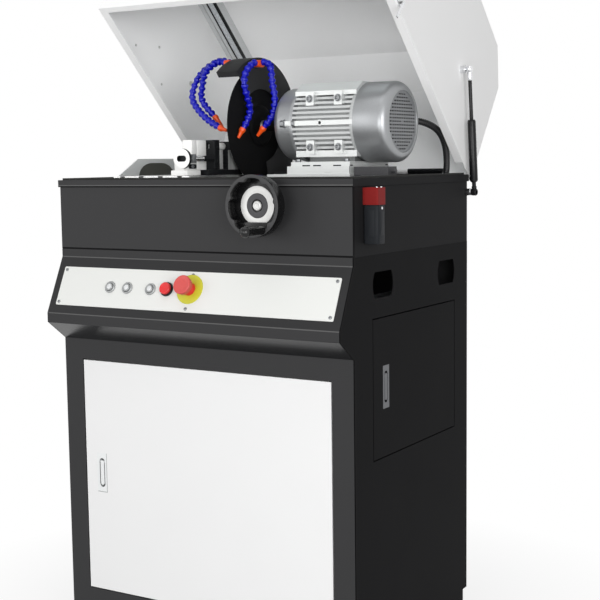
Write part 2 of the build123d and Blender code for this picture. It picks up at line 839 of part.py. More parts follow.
with BuildPart() as front_door_pan:
    with BuildSketch(Plane.XZ.offset(-FRONT_Y)):
        with Locations((0, front_door_z)):
            Rectangle(FRONT_DOOR_W, FRONT_DOOR_H)
    extrude(amount=-DOOR_DEPTH)
    with BuildSketch(Plane.XZ.offset(-FRONT_Y - DOOR_SKIN)):
        with Locations((0, front_door_z)):
            Rectangle(FRONT_DOOR_W - 2 * DOOR_SKIN, FRONT_DOOR_H - 2 * DOOR_SKIN)
    extrude(amount=-DOOR_DEPTH, mode=Mode.SUBTRACT)
    with BuildSketch(Plane.XZ.offset(-FRONT_Y)):
        with Locations((front_tray_x, front_tray_z)):
            Rectangle(TRAY_W, TRAY_H)
    extrude(amount=-DOOR_SKIN, mode=Mode.SUBTRACT)
    with BuildSketch(Plane.XY.offset(front_door_z0)):
        with Locations((front_pin_x, front_pin_y)):
            Circle(DOOR_PIN_R + FIT)
    extrude(amount=FRONT_DOOR_H, mode=Mode.SUBTRACT)

with BuildPart() as side_door_pan:
    with BuildSketch(Plane.YZ.offset(RIGHT_X)):
        with Locations((SIDE_DOOR_Y, side_door_z)):
            Rectangle(SIDE_DOOR_W, SIDE_DOOR_H)
    extrude(amount=-DOOR_DEPTH)
    with BuildSketch(Plane.YZ.offset(RIGHT_X - DOOR_SKIN)):
        with Locations((SIDE_DOOR_Y, side_door_z)):
            Rectangle(SIDE_DOOR_W - 2 * DOOR_SKIN, SIDE_DOOR_H - 2 * DOOR_SKIN)
    extrude(amount=-DOOR_DEPTH, mode=Mode.SUBTRACT)
    with BuildSketch(Plane.YZ.offset(RIGHT_X)):
        with Locations((side_tray_y, side_tray_z)):
            Rectangle(TRAY_W, TRAY_H)
    extrude(amount=-DOOR_SKIN, mode=Mode.SUBTRACT)
    with BuildSketch(Plane.XY.offset(side_door_z0)):
        with Locations((side_pin_x, side_pin_y)):
            Circle(DOOR_PIN_R + FIT)
    extrude(amount=SIDE_DOOR_H, mode=Mode.SUBTRACT)

pin_length = DOOR_GAP + 3 * DOOR_SKIN

with BuildPart() as front_door_pins:
    with BuildSketch(Plane.XY.offset(front_door_z0 - DOOR_GAP)):
        with Locations((front_pin_x, front_pin_y)):
            Circle(DOOR_PIN_R)
    extrude(amount=pin_length)
    with BuildSketch(Plane.XY.offset(front_door_z1 + DOOR_GAP)):
        with Locations((front_pin_x, front_pin_y)):
            Circle(DOOR_PIN_R)
    extrude(amount=-pin_length)

with BuildPart() as side_door_pins:
    with BuildSketch(Plane.XY.offset(side_door_z0 - DOOR_GAP)):
        with Locations((side_pin_x, side_pin_y)):
            Circle(DOOR_PIN_R)
    extrude(amount=pin_length)
    with BuildSketch(Plane.XY.offset(side_door_z1 + DOOR_GAP)):
        with Locations((side_pin_x, side_pin_y)):
            Circle(DOOR_PIN_R)
    extrude(amount=-pin_length)

cabinet_front_frame = Compound(
    label="cabinet_front_frame",
    children=[front_frame_sheet.part, front_door_pins.part],
)
export_step(cabinet_front_frame, "parts/cabinet_front_frame.step")

cabinet_right_side = Compound(
    label="cabinet_right_side",
    children=[right_side_sheet.part, side_door_pins.part],
)
export_step(cabinet_right_side, "parts/cabinet_right_side.step")

paddle_pin_depth = PADDLE_T + PADDLE_PIN_R / 2
front_paddle_pin_z = front_tray_z + TRAY_H / 2 - PADDLE_PIN_DROP
side_paddle_pin_z = side_tray_z + TRAY_H / 2 - PADDLE_PIN_DROP

with BuildPart() as front_handle_tray:
    with BuildSketch(Plane.XZ.offset(-FRONT_Y)):
        with Locations((front_tray_x, front_tray_z)):
            Rectangle(TRAY_W, TRAY_H)
    extrude(amount=-TRAY_DEPTH)
    with BuildSketch(Plane.XZ.offset(-FRONT_Y)):
        with Locations((front_tray_x, front_tray_z)):
            SlotOverall(RECESS_H, RECESS_W, rotation=90)
    extrude(amount=-(TRAY_DEPTH - TRAY_WALL), mode=Mode.SUBTRACT)
    with BuildSketch(Plane.YZ.offset(front_tray_x - TRAY_W / 2)):
        with Locations((FRONT_Y + paddle_pin_depth, front_paddle_pin_z)):
            Circle(PADDLE_PIN_R + FIT)
    extrude(amount=TRAY_W, mode=Mode.SUBTRACT)

with BuildPart() as side_handle_tray:
    with BuildSketch(Plane.YZ.offset(RIGHT_X)):
        with Locations((side_tray_y, side_tray_z)):
            Rectangle(TRAY_W, TRAY_H)
    extrude(amount=-TRAY_DEPTH)
    with BuildSketch(Plane.YZ.offset(RIGHT_X)):
        with Locations((side_tray_y, side_tray_z)):
            SlotOverall(RECESS_H, RECESS_W, rotation=90)
    extrude(amount=-(TRAY_DEPTH - TRAY_WALL), mode=Mode.SUBTRACT)
    with BuildSketch(Plane.XZ.offset(-(side_tray_y - TRAY_W / 2))):
        with Locations((RIGHT_X - paddle_pin_depth, side_paddle_pin_z)):
            Circle(PADDLE_PIN_R + FIT)
    extrude(amount=-TRAY_W, mode=Mode.SUBTRACT)

front_door = Compound(label="front_door", children=[front_door_pan.part, front_handle_tray.part])
export_step(front_door, "parts/front_door.step")

side_door = Compound(label="side_door", children=[side_door_pan.part, side_handle_tray.part])
export_step(side_door, "parts/side_door.step")

with BuildPart() as front_latch:
    with BuildSketch(Plane.XZ.offset(-FRONT_Y)):
        with Locations((front_tray_x, front_tray_z)):
            SlotOverall(PADDLE_L, PADDLE_W, rotation=90)
    extrude(amount=-PADDLE_T)
    with BuildSketch(Plane.YZ.offset(front_tray_x - TRAY_W / 2)):
        with Locations((FRONT_Y + paddle_pin_depth, front_paddle_pin_z)):
            Circle(PADDLE_PIN_R)
    extrude(amount=TRAY_W)
front_latch.part.label = "front_latch"
export_step(front_latch.part, "parts/front_latch.step")

with BuildPart() as side_latch:
    with BuildSketch(Plane.YZ.offset(RIGHT_X)):
        with Locations((side_tray_y, side_tray_z)):
            SlotOverall(PADDLE_L, PADDLE_W, rotation=90)
    extrude(amount=-PADDLE_T)
    with BuildSketch(Plane.XZ.offset(-(side_tray_y - TRAY_W / 2))):
        with Locations((RIGHT_X - paddle_pin_depth, side_paddle_pin_z)):
            Circle(PADDLE_PIN_R)
    extrude(amount=-TRAY_W)
side_latch.part.label = "side_latch"
export_step(side_latch.part, "parts/side_latch.step")

# tub and rim
with BuildPart() as tub_sheet:
    with BuildSketch(Plane.XY.offset(SEAM_Z)):
        Rectangle(WIDTH, DEPTH)
        Rectangle(WIDTH - 2 * SHEET, DEPTH - 2 * SHEET, mode=Mode.SUBTRACT)
    extrude(amount=TUB_WALL_H)
    with BuildSketch(Plane.XY.offset(FLOOR_Z)):
        Rectangle(WIDTH - 2 * SHEET, DEPTH - 2 * SHEET)
        with Locations((DRAIN_X, DRAIN_Y)):
            Circle(DRAIN_R, mode=Mode.SUBTRACT)
        with Locations((CONDUIT_END_X, CONDUIT_END_Y)):
            Circle(CONDUIT_R + FIT, mode=Mode.SUBTRACT)
    extrude(amount=-SHEET)
    with BuildSketch(Plane.XY.offset(FLOOR_Z)):
        with Locations((CONDUIT_END_X, CONDUIT_END_Y)):
            Circle(FLOOR_GLAND_R)
            Circle(CONDUIT_R + FIT, mode=Mode.SUBTRACT)
    extrude(amount=FLOOR_GLAND_H)
    with BuildSketch(Plane.XZ.offset(-FRONT_Y)):
        with Locations((FEED_SCREW_X, FEED_SCREW_Z)):
            Circle(FRONT_SLEEVE_R)
    extrude(amount=-SHEET, mode=Mode.SUBTRACT)

with BuildPart() as rim_frame:
    with BuildSketch(Plane.XY.offset(RIM_Z0)):
        Rectangle(WIDTH + 2 * RIM_OVERHANG, DEPTH + 2 * RIM_OVERHANG)
        Rectangle(2 * RIM_IN_X, 2 * RIM_IN_Y, mode=Mode.SUBTRACT)
    extrude(amount=RIM_H)

with BuildPart() as rim_seal:
    with BuildSketch(Plane.XY.offset(RIM_Z1)):
        with Locations((0, FRONT_Y + SEAL_W)):
            Rectangle(WIDTH - SEAL_W, SEAL_W)
        with Locations((LEFT_X + SEAL_W, 0), (RIGHT_X - SEAL_W, 0)):
            Rectangle(SEAL_W, DEPTH - 2 * SEAL_W)
    extrude(amount=SEAL_H)

drain_z1 = FLOOR_Z - SHEET - DRAIN_FLANGE_T

with BuildPart() as drain_pipe:
    with BuildSketch(Plane.XY.offset(FLOOR_Z - SHEET)):
        with Locations((DRAIN_X, DRAIN_Y)):
            Circle(DRAIN_R + DRAIN_FLANGE_W)
            Circle(DRAIN_R, mode=Mode.SUBTRACT)
    extrude(amount=-DRAIN_FLANGE_T)
    with BuildSketch(Plane.XY.offset(drain_z1)):
        with Locations((DRAIN_X, DRAIN_Y)):
            Circle(DRAIN_R + DRAIN_WALL)
            Circle(DRAIN_R, mode=Mode.SUBTRACT)
    extrude(amount=-(drain_z1 - tank_z1 + TANK_WALL))

tub_shell = Compound(label="tub_shell", children=[tub_sheet.part, drain_pipe.part])
export_step(tub_shell, "parts/tub_shell.step")

rim_band = Compound(label="rim_band", children=[rim_frame.part, rim_seal.part])
export_step(rim_band, "parts/rim_band.step")

# work table with T-slots
table_front = FRONT_Y + TABLE_FRONT_GAP
table_z0 = TABLE_Z - TABLE_T
slot_xs = [TABLE_X + SLOT_PITCH * (i - (SLOT_COUNT - 1) / 2) for i in range(SLOT_COUNT)]

with BuildPart() as tslot_table:
    with BuildSketch(Plane.XZ.offset(-table_front)):
        with Locations((TABLE_X, (table_z0 + TABLE_Z) / 2)):
            Rectangle(TABLE_W, TABLE_T)
        with Locations(*[(x, TABLE_Z - SLOT_LIP / 2) for x in slot_xs]):
            Rectangle(SLOT_W, SLOT_LIP, mode=Mode.SUBTRACT)
        with Locations(*[(x, TABLE_Z - SLOT_LIP - SLOT_T_H / 2) for x in slot_xs]):
            Rectangle(SLOT_T_W, SLOT_T_H, mode=Mode.SUBTRACT)
    extrude(amount=-TABLE_L)
    with BuildSketch(Plane.XY.offset(table_z0)):
        with Locations(
            (TABLE_X - TABLE_W / 2 + TABLE_LEG_W, table_front + TABLE_L / 2),
            (TABLE_X + TABLE_W / 2 - TABLE_LEG_W, table_front + TABLE_L / 2),
        ):
            Rectangle(TABLE_LEG_W, TABLE_L - 2 * TABLE_LEG_W)
    extrude(amount=-(table_z0 - FLOOR_Z))
tslot_table.part.label = "tslot_table"
export_step(tslot_table.part, "parts/tslot_table.step")

# vise, clamping along Y
vise_z = TABLE_Z + VISE_BASE_T
rear_jaw_y = VISE_BASE_BACK_Y - VISE_JAW_L
rear_plate_y = rear_jaw_y - JAW_PLATE_T
front_plate_y = rear_plate_y - VISE_OPENING
jaw_y1 = front_plate_y - JAW_PLATE_T
jaw_y0 = jaw_y1 - MOVING_JAW_L
nut_y1 = jaw_y0 - NUT_BLOCK_GAP
nut_y0 = nut_y1 - NUT_BLOCK_L
screw_z = vise_z + CLAMP_SCREW_RISE
rod_z = vise_z + GUIDE_ROD_RISE
jaw_z0 = vise_z + CLEAR
nut_x = GUIDE_ROD_X

with BuildPart() as vise_casting:
    with BuildSketch(Plane.XY.offset(TABLE_Z)):
        with Locations((VISE_X, VISE_BASE_BACK_Y - VISE_BASE_L / 2)):
            Rectangle(VISE_W, VISE_BASE_L)
    extrude(amount=VISE_BASE_T)
    with BuildSketch(Plane.XY.offset(vise_z)):
        with Locations((VISE_X, VISE_BASE_BACK_Y - VISE_JAW_L / 2)):
            Rectangle(VISE_W, VISE_JAW_L)
    extrude(amount=VISE_JAW_H)

with BuildPart() as rear_jaw_plate:
    with BuildSketch(Plane.XY.offset(vise_z)):
        with Locations((VISE_X, rear_plate_y + JAW_PLATE_T / 2)):
            Rectangle(VISE_W, JAW_PLATE_T)
    extrude(amount=JAW_PLATE_H)

with BuildPart() as nut_block:
    with BuildSketch(Plane.XY.offset(TABLE_Z)):
        with Locations((nut_x, (nut_y0 + nut_y1) / 2)):
            Rectangle(NUT_FOOT_W, NUT_BLOCK_L)
    extrude(amount=VISE_BASE_T)
    with BuildSketch(Plane.XY.offset(vise_z)):
        with Locations((nut_x, (nut_y0 + nut_y1) / 2)):
            Rectangle(NUT_BLOCK_W, NUT_BLOCK_L)
    extrude(amount=MOVING_JAW_H)
    with BuildSketch(Plane.XZ.offset(-nut_y0)):
        with Locations(((nut_x + CLAMP_SCREW_X + NUT_LUG_H / 2) / 2, screw_z)):
            Rectangle(CLAMP_SCREW_X + NUT_LUG_H / 2 - nut_x, NUT_LUG_H)
        with Locations((CLAMP_SCREW_X, screw_z)):
            Circle(CLAMP_SCREW_R + FIT, mode=Mode.SUBTRACT)
    extrude(amount=-NUT_LUG_L)

with BuildPart() as vise_guide_rod:
    with BuildSketch(Plane.XZ.offset(-nut_y1)):
        with Locations((GUIDE_ROD_X, rod_z)):
            Circle(GUIDE_ROD_R)
    extrude(amount=-(rear_jaw_y - nut_y1))

with BuildPart() as jaw_block:
    with BuildSketch(Plane.XZ.offset(-jaw_y0)):
        with Locations((VISE_X, jaw_z0 + (MOVING_JAW_H - CLEAR) / 2)):
            Rectangle(VISE_W, MOVING_JAW_H - CLEAR)
        with Locations((GUIDE_ROD_X, rod_z)):
            Circle(GUIDE_ROD_R + FIT, mode=Mode.SUBTRACT)
    extrude(amount=-MOVING_JAW_L)
    with BuildSketch(Plane.XZ.offset(-jaw_y0)):
        with Locations((CLAMP_SCREW_X, screw_z)):
            Circle(CLAMP_SCREW_R + FIT)
    extrude(amount=-MOVING_JAW_L / 4, mode=Mode.SUBTRACT)

with BuildPart() as jaw_face:
    with BuildSketch(Plane.XY.offset(jaw_z0 + JAW_PLATE_LIFT)):
        with Locations((VISE_X, front_plate_y - JAW_PLATE_T / 2)):
            Rectangle(VISE_W, JAW_PLATE_T)
    extrude(amount=JAW_PLATE_H - JAW_PLATE_LIFT)

vise_body = Compound(label="vise_body", children=[vise_casting.part, rear_jaw_plate.part])
export_step(vise_body, "parts/vise_body.step")

vise_front_block = Compound(label="vise_front_block", children=[nut_block.part, vise_guide_rod.part])
export_step(vise_front_block, "parts/vise_front_block.step")

vise_moving_jaw = Compound(label="vise_moving_jaw", children=[jaw_block.part, jaw_face.part])
export_step(vise_moving_jaw, "parts/vise_moving_jaw.step")

hub_y1 = nut_y0 - JAW_TRAVEL - CLAMP_HUB_GAP

with BuildPart() as vise_screw:
    with BuildSketch(Plane.XZ.offset(-hub_y1)):
        with Locations((CLAMP_SCREW_X, screw_z)):
            Circle(CLAMP_HUB_R)
    extrude(amount=CLAMP_HUB_T)
    with BuildSketch(Plane.XZ.offset(-hub_y1)):
        with Locations((CLAMP_SCREW_X, screw_z)):
            Circle(CLAMP_SCREW_R)
    extrude(amount=-(jaw_y0 + MOVING_JAW_L / 4 - CLEAR - hub_y1))
    with BuildSketch(Plane.XZ.offset(-hub_y1 + CLAMP_HUB_T)):
        with Locations((CLAMP_SCREW_X, screw_z)):
            SlotOverall(CLAMP_HUB_R, CLAMP_SCREW_R)
    extrude(amount=CLAMP_HUB_FLOOR - CLAMP_HUB_T, mode=Mode.SUBTRACT)
vise_screw.part.label = "vise_screw"
export_step(vise_screw.part, "parts/vise_screw.step")

# feed slide under the motor
saddle_z = TABLE_Z - SADDLE_T
rail_z1 = saddle_z - RAIL_GAP
bed_z = TABLE_Z + BED_T
rail_xs = [RAIL_X - RAIL_PITCH / 2, RAIL_X + RAIL_PITCH / 2]

with BuildPart() as slide_rails:
    with BuildSketch(Plane.XZ.offset(-(RAIL_Y - RAIL_L / 2))):
        with Locations(*[(x, rail_z1 - RAIL_H / 2) for x in rail_xs]):
            Rectangle(RAIL_W, RAIL_H)
        with Locations(*[(x, (rail_z1 - RAIL_H + FLOOR_Z) / 2) for x in rail_xs]):
            Rectangle(RAIL_WEB_W, rail_z1 - RAIL_H - FLOOR_Z)
        with Locations(*[(x, FLOOR_Z + RAIL_FOOT_T / 2) for x in rail_xs]):
            Rectangle(RAIL_FOOT_W, RAIL_FOOT_T)
    extrude(amount=-RAIL_L)
slide_rails.part.label = "slide_rails"
export_step(slide_rails.part, "parts/slide_rails.step")

shoe_ys = [SADDLE_Y - SHOE_PITCH / 2, SADDLE_Y + SHOE_PITCH / 2]
shoe_z0 = rail_z1 - SHOE_DROP

with BuildPart() as carriage_casting:
    with BuildSketch(Plane.XY.offset(saddle_z)):
        with Locations(((SADDLE_X0 + SADDLE_X1) / 2, SADDLE_Y)):
            Rectangle(SADDLE_X1 - SADDLE_X0, SADDLE_L)
    extrude(amount=SADDLE_T)
    with BuildSketch(Plane.XY.offset(TABLE_Z)):
        with Locations(((BED_X0 + BED_X1) / 2, SPINDLE_Y)):
            Rectangle(BED_X1 - BED_X0, BED_L)
    extrude(amount=BED_T)
    with BuildSketch(Plane.XY.offset(saddle_z)):
        with Locations(*[(x, y) for x in rail_xs for y in shoe_ys]):
            Rectangle(SHOE_W, SHOE_L)
    extrude(amount=-(saddle_z - shoe_z0))
    with BuildSketch(Plane.XZ.offset(-(SADDLE_Y - SADDLE_L / 2))):
        with Locations(*[(x, (shoe_z0 + rail_z1 + CLEAR) / 2) for x in rail_xs]):
            Rectangle(RAIL_W + 2 * CLEAR, rail_z1 + CLEAR - shoe_z0)
    extrude(amount=-SADDLE_L, mode=Mode.SUBTRACT)

lock_x1 = RIGHT_X - LOCK_END_GAP
lock_y = SPINDLE_Y - BED_L / 2 + LOCK_W / 2 + SHEET
lock_z = saddle_z + LOCK_RISE + LOCK_H / 2

with BuildPart() as carriage_lock:
    with BuildSketch(Plane.YZ.offset(SADDLE_X1)):
        with Locations((lock_y, lock_z)):
            Rectangle(LOCK_W, LOCK_H)
    extrude(amount=lock_x1 - SADDLE_X1)
    with BuildSketch(Plane.YZ.offset(lock_x1)):
        with Locations((lock_y, lock_z)):
            RegularPolygon(LOCK_NUT_R, 6)
    extrude(amount=LOCK_NUT_L)

with BuildPart() as feed_nut:
    with BuildSketch(Plane.XZ.offset(-(SPINDLE_Y - FEED_NUT_L / 2))):
        with Locations((FEED_SCREW_X, (FEED_SCREW_Z - FEED_NUT_W / 2 + saddle_z) / 2)):
            Rectangle(FEED_NUT_W, saddle_z - FEED_SCREW_Z + FEED_NUT_W / 2)
        with Locations((FEED_SCREW_X, FEED_SCREW_Z)):
            Circle(FEED_SCREW_R + FIT, mode=Mode.SUBTRACT)
    extrude(amount=-FEED_NUT_L)

carriage = Compound(label="carriage", children=[carriage_casting.part, carriage_lock.part, feed_nut.part])
export_step(carriage, "parts/carriage.step")

with BuildPart() as feed_bearings:
    with BuildSketch(Plane.XZ.offset(-(FRONT_Y + SHEET))):
        with Locations((FEED_SCREW_X, FEED_SCREW_Z)):
            Circle(FRONT_BEARING_R)
    extrude(amount=-FRONT_BEARING_T)
    with BuildSketch(Plane.XZ.offset(-(FRONT_Y + SHEET))):
        with Locations((FEED_SCREW_X, FEED_SCREW_Z)):
            Circle(FRONT_SLEEVE_R)
    extrude(amount=SHEET + FRONT_SLEEVE_L)
    with BuildSketch(Plane.XZ.offset(-(REAR_BEARING_Y - REAR_BEARING_L / 2))):
        with Locations((FEED_SCREW_X, (FLOOR_Z + FEED_SCREW_Z + REAR_BEARING_OVER) / 2)):
            Rectangle(REAR_BEARING_W, FEED_SCREW_Z + REAR_BEARING_OVER - FLOOR_Z)
    extrude(amount=-REAR_BEARING_L)
    with BuildSketch(Plane.XZ.offset(-(FRONT_Y - 2 * FRONT_SLEEVE_L))):
        with Locations((FEED_SCREW_X, FEED_SCREW_Z)):
            Circle(FEED_SCREW_R + FIT)
    extrude(amount=-DEPTH, mode=Mode.SUBTRACT)
feed_bearings.part.label = "feed_bearings"
export_step(feed_bearings.part, "parts/feed_bearings.step")

# handwheel on the feed screw
wheel_y0 = FRONT_Y - HANDWHEEL_FRONT_GAP
web_y0 = wheel_y0 + HANDWHEEL_DISH
wheel_hub_y1 = FRONT_Y - FRONT_SLEEVE_L - CLEAR
rim_in_r = HANDWHEEL_R - HANDWHEEL_RIM_T
handle_x = FEED_SCREW_X + HANDLE_DX
handle_z = FEED_SCREW_Z + HANDLE_DZ
handle_y0 = wheel_y0 - CLEAR

with BuildPart() as feed_screw:
    with BuildSketch(Plane.XZ.offset(-web_y0)):
        with Locations((FEED_SCREW_X, FEED_SCREW_Z)):
            Circle(FEED_SCREW_R)
    extrude(amount=-(REAR_BEARING_Y + REAR_BEARING_L / 2 + SHEET - web_y0))
feed_screw.part.label = "feed_screw"
export_step(feed_screw.part, "parts/feed_screw.step")

with BuildSketch() as dish_void:
    Circle(rim_in_r)
    with PolarLocations(rim_in_r + HANDWHEEL_BUMP_R / 2, HANDWHEEL_BUMPS, start_angle=HANDWHEEL_BUMP_DEG):
        Circle(HANDWHEEL_BUMP_R, mode=Mode.SUBTRACT)

with BuildPart() as handwheel_casting:
    with BuildSketch(Plane.XZ.offset(-wheel_y0)):
        with Locations((FEED_SCREW_X, FEED_SCREW_Z)):
            Circle(HANDWHEEL_R)
            add(dish_void.sketch, mode=Mode.SUBTRACT)
        with Locations((handle_x, handle_z)):
            Circle(HANDLE_R)
    extrude(amount=-HANDWHEEL_RIM_L)
    with BuildSketch(Plane.XZ.offset(-web_y0)):
        with Locations((FEED_SCREW_X, FEED_SCREW_Z)):
            Circle(HANDWHEEL_WEB_R)
    extrude(amount=-HANDWHEEL_WEB_T)
    with BuildSketch(Plane.XZ.offset(-web_y0)):
        with Locations((FEED_SCREW_X, FEED_SCREW_Z)):
            Circle(HANDWHEEL_HUB_R)
    extrude(amount=-(wheel_hub_y1 - web_y0))
    with BuildSketch(Plane.XZ.offset(-web_y0)):
        with Locations((FEED_SCREW_X, FEED_SCREW_Z)):
            Circle(FEED_SCREW_R)
    extrude(amount=-HANDWHEEL_FRONT_GAP, mode=Mode.SUBTRACT)
    with BuildSketch(Plane.XZ.offset(-wheel_y0)):
        with Locations((handle_x, handle_z)):
            Circle(HANDLE_PIN_R)
    extrude(amount=HANDLE_PIN_L)

with BuildPart() as hub_plate:
    with BuildSketch(Plane.XZ.offset(-web_y0)):
        with Locations((FEED_SCREW_X, FEED_SCREW_Z)):
            Circle(HUB_PLATE_R)
            Circle(HUB_PLATE_HOLE_R, mode=Mode.SUBTRACT)
    extrude(amount=HUB_PLATE_T)

with BuildPart() as hub_nut:
    with BuildSketch(Plane.XZ.offset(-web_y0)):
        with Locations((FEED_SCREW_X, FEED_SCREW_Z)):
            Circle(HUB_NUT_R)
    extrude(amount=HUB_NUT_T)
    chamfer(hub_nut.faces().sort_by(Axis.Y)[0].edges(), HUB_NUT_CHAMFER)

handwheel = Compound(label="handwheel", children=[handwheel_casting.part, hub_plate.part, hub_nut.part])
export_step(handwheel, "parts/handwheel.step")

with BuildPart() as handwheel_handle:
    with BuildSketch(Plane.XZ.offset(-handle_y0)):
        with Locations((handle_x, handle_z)):
            Circle(HANDLE_R)
    extrude(amount=HANDLE_L)
    with Locations((handle_x, handle_y0 - HANDLE_L, handle_z)):
        Sphere(HANDLE_BALL_R)
    with BuildSketch(Plane.XZ.offset(-handle_y0)):
        with Locations((handle_x, handle_z)):
            Circle(HANDLE_PIN_R + FIT)
    extrude(amount=HANDLE_PIN_L + CLEAR, mode=Mode.SUBTRACT)
handwheel_handle.part.label = "handwheel_handle"
export_step(handwheel_handle.part, "parts/handwheel_handle.step")

# motor: everything turned lies on the spindle axis
SPINDLE_Z = bed_z + SHAFT_HEIGHT
frame_x0 = MOTOR_X0 + SHIELD_L
frame_x1 = frame_x0 + FRAME_L
cover_x1 = frame_x1 + COVER_L
shaft_bore = SHAFT_R + FIT
spindle_axis = Axis((0, SPINDLE_Y, SPINDLE_Z), (1, 0, 0))
turned = Plane(origin=(0, SPINDLE_Y, SPINDLE_Z), x_dir=(1, 0, 0), z_dir=(0, -1, 0))

with BuildPart() as motor_end_shield:
    with BuildSketch(turned):
        with BuildLine():
            Polyline(
                (MOTOR_X0 - SHIELD_BOSS_L, shaft_bore),
                (MOTOR_X0 - SHIELD_BOSS_L, SHIELD_BOSS_R),
                (MOTOR_X0, SHIELD_BOSS_R + SHIELD_BOSS_TAPER),
                (MOTOR_X0, SHIELD_R - SHIELD_BEVEL),
                (MOTOR_X0 + SHIELD_BEVEL, SHIELD_R),
                (frame_x0 - SHIELD_RIM_L, SHIELD_R),
                (frame_x0 - SHIELD_RIM_L, FRAME_FIN_R),
                (frame_x0, FRAME_FIN_R),
                (frame_x0, shaft_bore),
                close=True,
            )
        make_face()
    revolve(axis=spindle_axis)
    with BuildSketch(Plane.YZ.offset(frame_x0)):
        with Locations((SPINDLE_Y, SPINDLE_Z)):
            Rectangle(2 * FRAME_RIB_R, SHIELD_RIB_H)
            Circle(SHIELD_BOSS_R, mode=Mode.SUBTRACT)
    extrude(amount=-LUG_W)
motor_end_shield.part.label = "motor_end_shield"
export_step(motor_end_shield.part, "parts/motor_end_shield.step")

fin_zs = [(FIN_START + FIN_PITCH * i) * side for i in range(FIN_ROWS) for side in (-1, 1)]
upper_pad = [
    (-FRAME_PAD_EDGE_W / 2, FRAME_PAD_EDGE_Z),
    (-FRAME_PAD_EDGE_W / 2, FRAME_PAD_SHOULDER_Z),
    (-FRAME_PAD_W / 2, FRAME_PAD_Z),
    (FRAME_PAD_W / 2, FRAME_PAD_Z),
    (FRAME_PAD_EDGE_W / 2, FRAME_PAD_SHOULDER_Z),
    (FRAME_PAD_EDGE_W / 2, FRAME_PAD_EDGE_Z),
]

with BuildPart() as motor_frame:
    with BuildSketch(Plane.YZ.offset(frame_x0)):
        with Locations((SPINDLE_Y, SPINDLE_Z)):
            Circle(FRAME_CORE_R)
            Rectangle(2 * FRAME_RIB_R, FRAME_RIB_H)
        for fin_z in fin_zs:
            with Locations((SPINDLE_Y, SPINDLE_Z + fin_z)):
                Rectangle(2 * sqrt(FRAME_FIN_R**2 - fin_z**2), FIN_T)
        with BuildLine():
            Polyline(*[(SPINDLE_Y + y, SPINDLE_Z + z) for y, z in upper_pad], close=True)
        make_face()
        with Locations((SPINDLE_Y, SPINDLE_Z - (FRAME_PAD_EDGE_Z + FRAME_PAD_LOW_Z) / 2)):
            Rectangle(FRAME_PAD_EDGE_W, FRAME_PAD_LOW_Z - FRAME_PAD_EDGE_Z)
        with Locations((SPINDLE_Y, SPINDLE_Z)):
            Circle(shaft_bore, mode=Mode.SUBTRACT)
    extrude(amount=FRAME_L)
    with BuildSketch(Plane.YZ.offset(frame_x1 - FRAME_SPIGOT_L / 2)):
        with Locations((SPINDLE_Y, SPINDLE_Z)):
            Circle(COVER_R - COVER_T)
            Circle(FRAME_SPIGOT_BORE_R, mode=Mode.SUBTRACT)
    extrude(amount=FRAME_SPIGOT_L)
    for lug_x in (LUG_X1, LUG_X2):
        with BuildSketch(Plane.YZ.offset(lug_x - LUG_W / 2)):
            with Locations(
                (SPINDLE_Y, SPINDLE_Z + (LUG_Z0 + LUG_Z1) / 2),
                (SPINDLE_Y, SPINDLE_Z - (LUG_Z0 + LUG_Z1) / 2),
            ):
                Rectangle(2 * LUG_R, LUG_Z1 - LUG_Z0)
        extrude(amount=LUG_W)
    with BuildSketch(Plane.XY.offset(bed_z)):
        with Locations(((frame_x0 + BED_X1) / 2, SPINDLE_Y)):
            Rectangle(BED_X1 - frame_x0, MOTOR_FOOT_W)
    extrude(amount=MOTOR_FOOT_T)
    with BuildSketch(Plane.XY.offset(bed_z)):
        with Locations(((FOOT_WEB_X0 + FOOT_WEB_X1) / 2, SPINDLE_Y)):
            Rectangle(FOOT_WEB_X1 - FOOT_WEB_X0, FOOT_WEB_W)
    extrude(amount=SHAFT_HEIGHT - FRAME_PAD_LOW_Z)
    with BuildSketch(Plane.XY.offset(bed_z)):
        with Locations(*[(x, SPINDLE_Y - MOTOR_FOOT_W / 2) for x in FOOT_SLOT_XS]):
            Rectangle(FOOT_SLOT_W, 2 * FOOT_SLOT_DEPTH)
    extrude(amount=FOOT_SLOT_H, mode=Mode.SUBTRACT)
motor_frame.part.label = "motor_frame"
export_step(motor_frame.part, "parts/motor_frame.step")

grille_zs = [GRILLE_PITCH * (i - (GRILLE_ROWS - 1) / 2) for i in range(GRILLE_ROWS)]

with BuildPart() as cover_void:
    with BuildSketch(Plane.YZ.offset(frame_x1)):
        with Locations((SPINDLE_Y, SPINDLE_Z)):
            Circle(COVER_R - COVER_T)
    extrude(amount=COVER_L - COVER_T)
    fillet(cover_void.faces().sort_by(Axis.X)[-1].edges(), COVER_ROUND - COVER_T)

with BuildPart() as motor_fan_cover:
    with BuildSketch(Plane.YZ.offset(frame_x1)):
        with Locations((SPINDLE_Y, SPINDLE_Z)):
            Circle(COVER_R)
    extrude(amount=COVER_L)
    fillet(motor_fan_cover.faces().sort_by(Axis.X)[-1].edges(), COVER_ROUND)
    add(cover_void.part, mode=Mode.SUBTRACT)
    with BuildSketch(Plane.YZ.offset(cover_x1)):
        with Locations((SPINDLE_Y, SPINDLE_Z)):
            Circle(COVER_RECESS_R)
    extrude(amount=-COVER_RECESS, mode=Mode.SUBTRACT)
    with BuildSketch(Plane.YZ.offset(cover_x1)):
        for grille_z in grille_zs:
            with Locations((SPINDLE_Y, SPINDLE_Z + grille_z)):
                Rectangle(2 * sqrt(GRILLE_R**2 - grille_z**2), GRILLE_SLOT)
    extrude(amount=-2 * COVER_T, mode=Mode.SUBTRACT)
motor_fan_cover.part.label = "motor_fan_cover"
export_step(motor_fan_cover.part, "parts/motor_fan_cover.step")

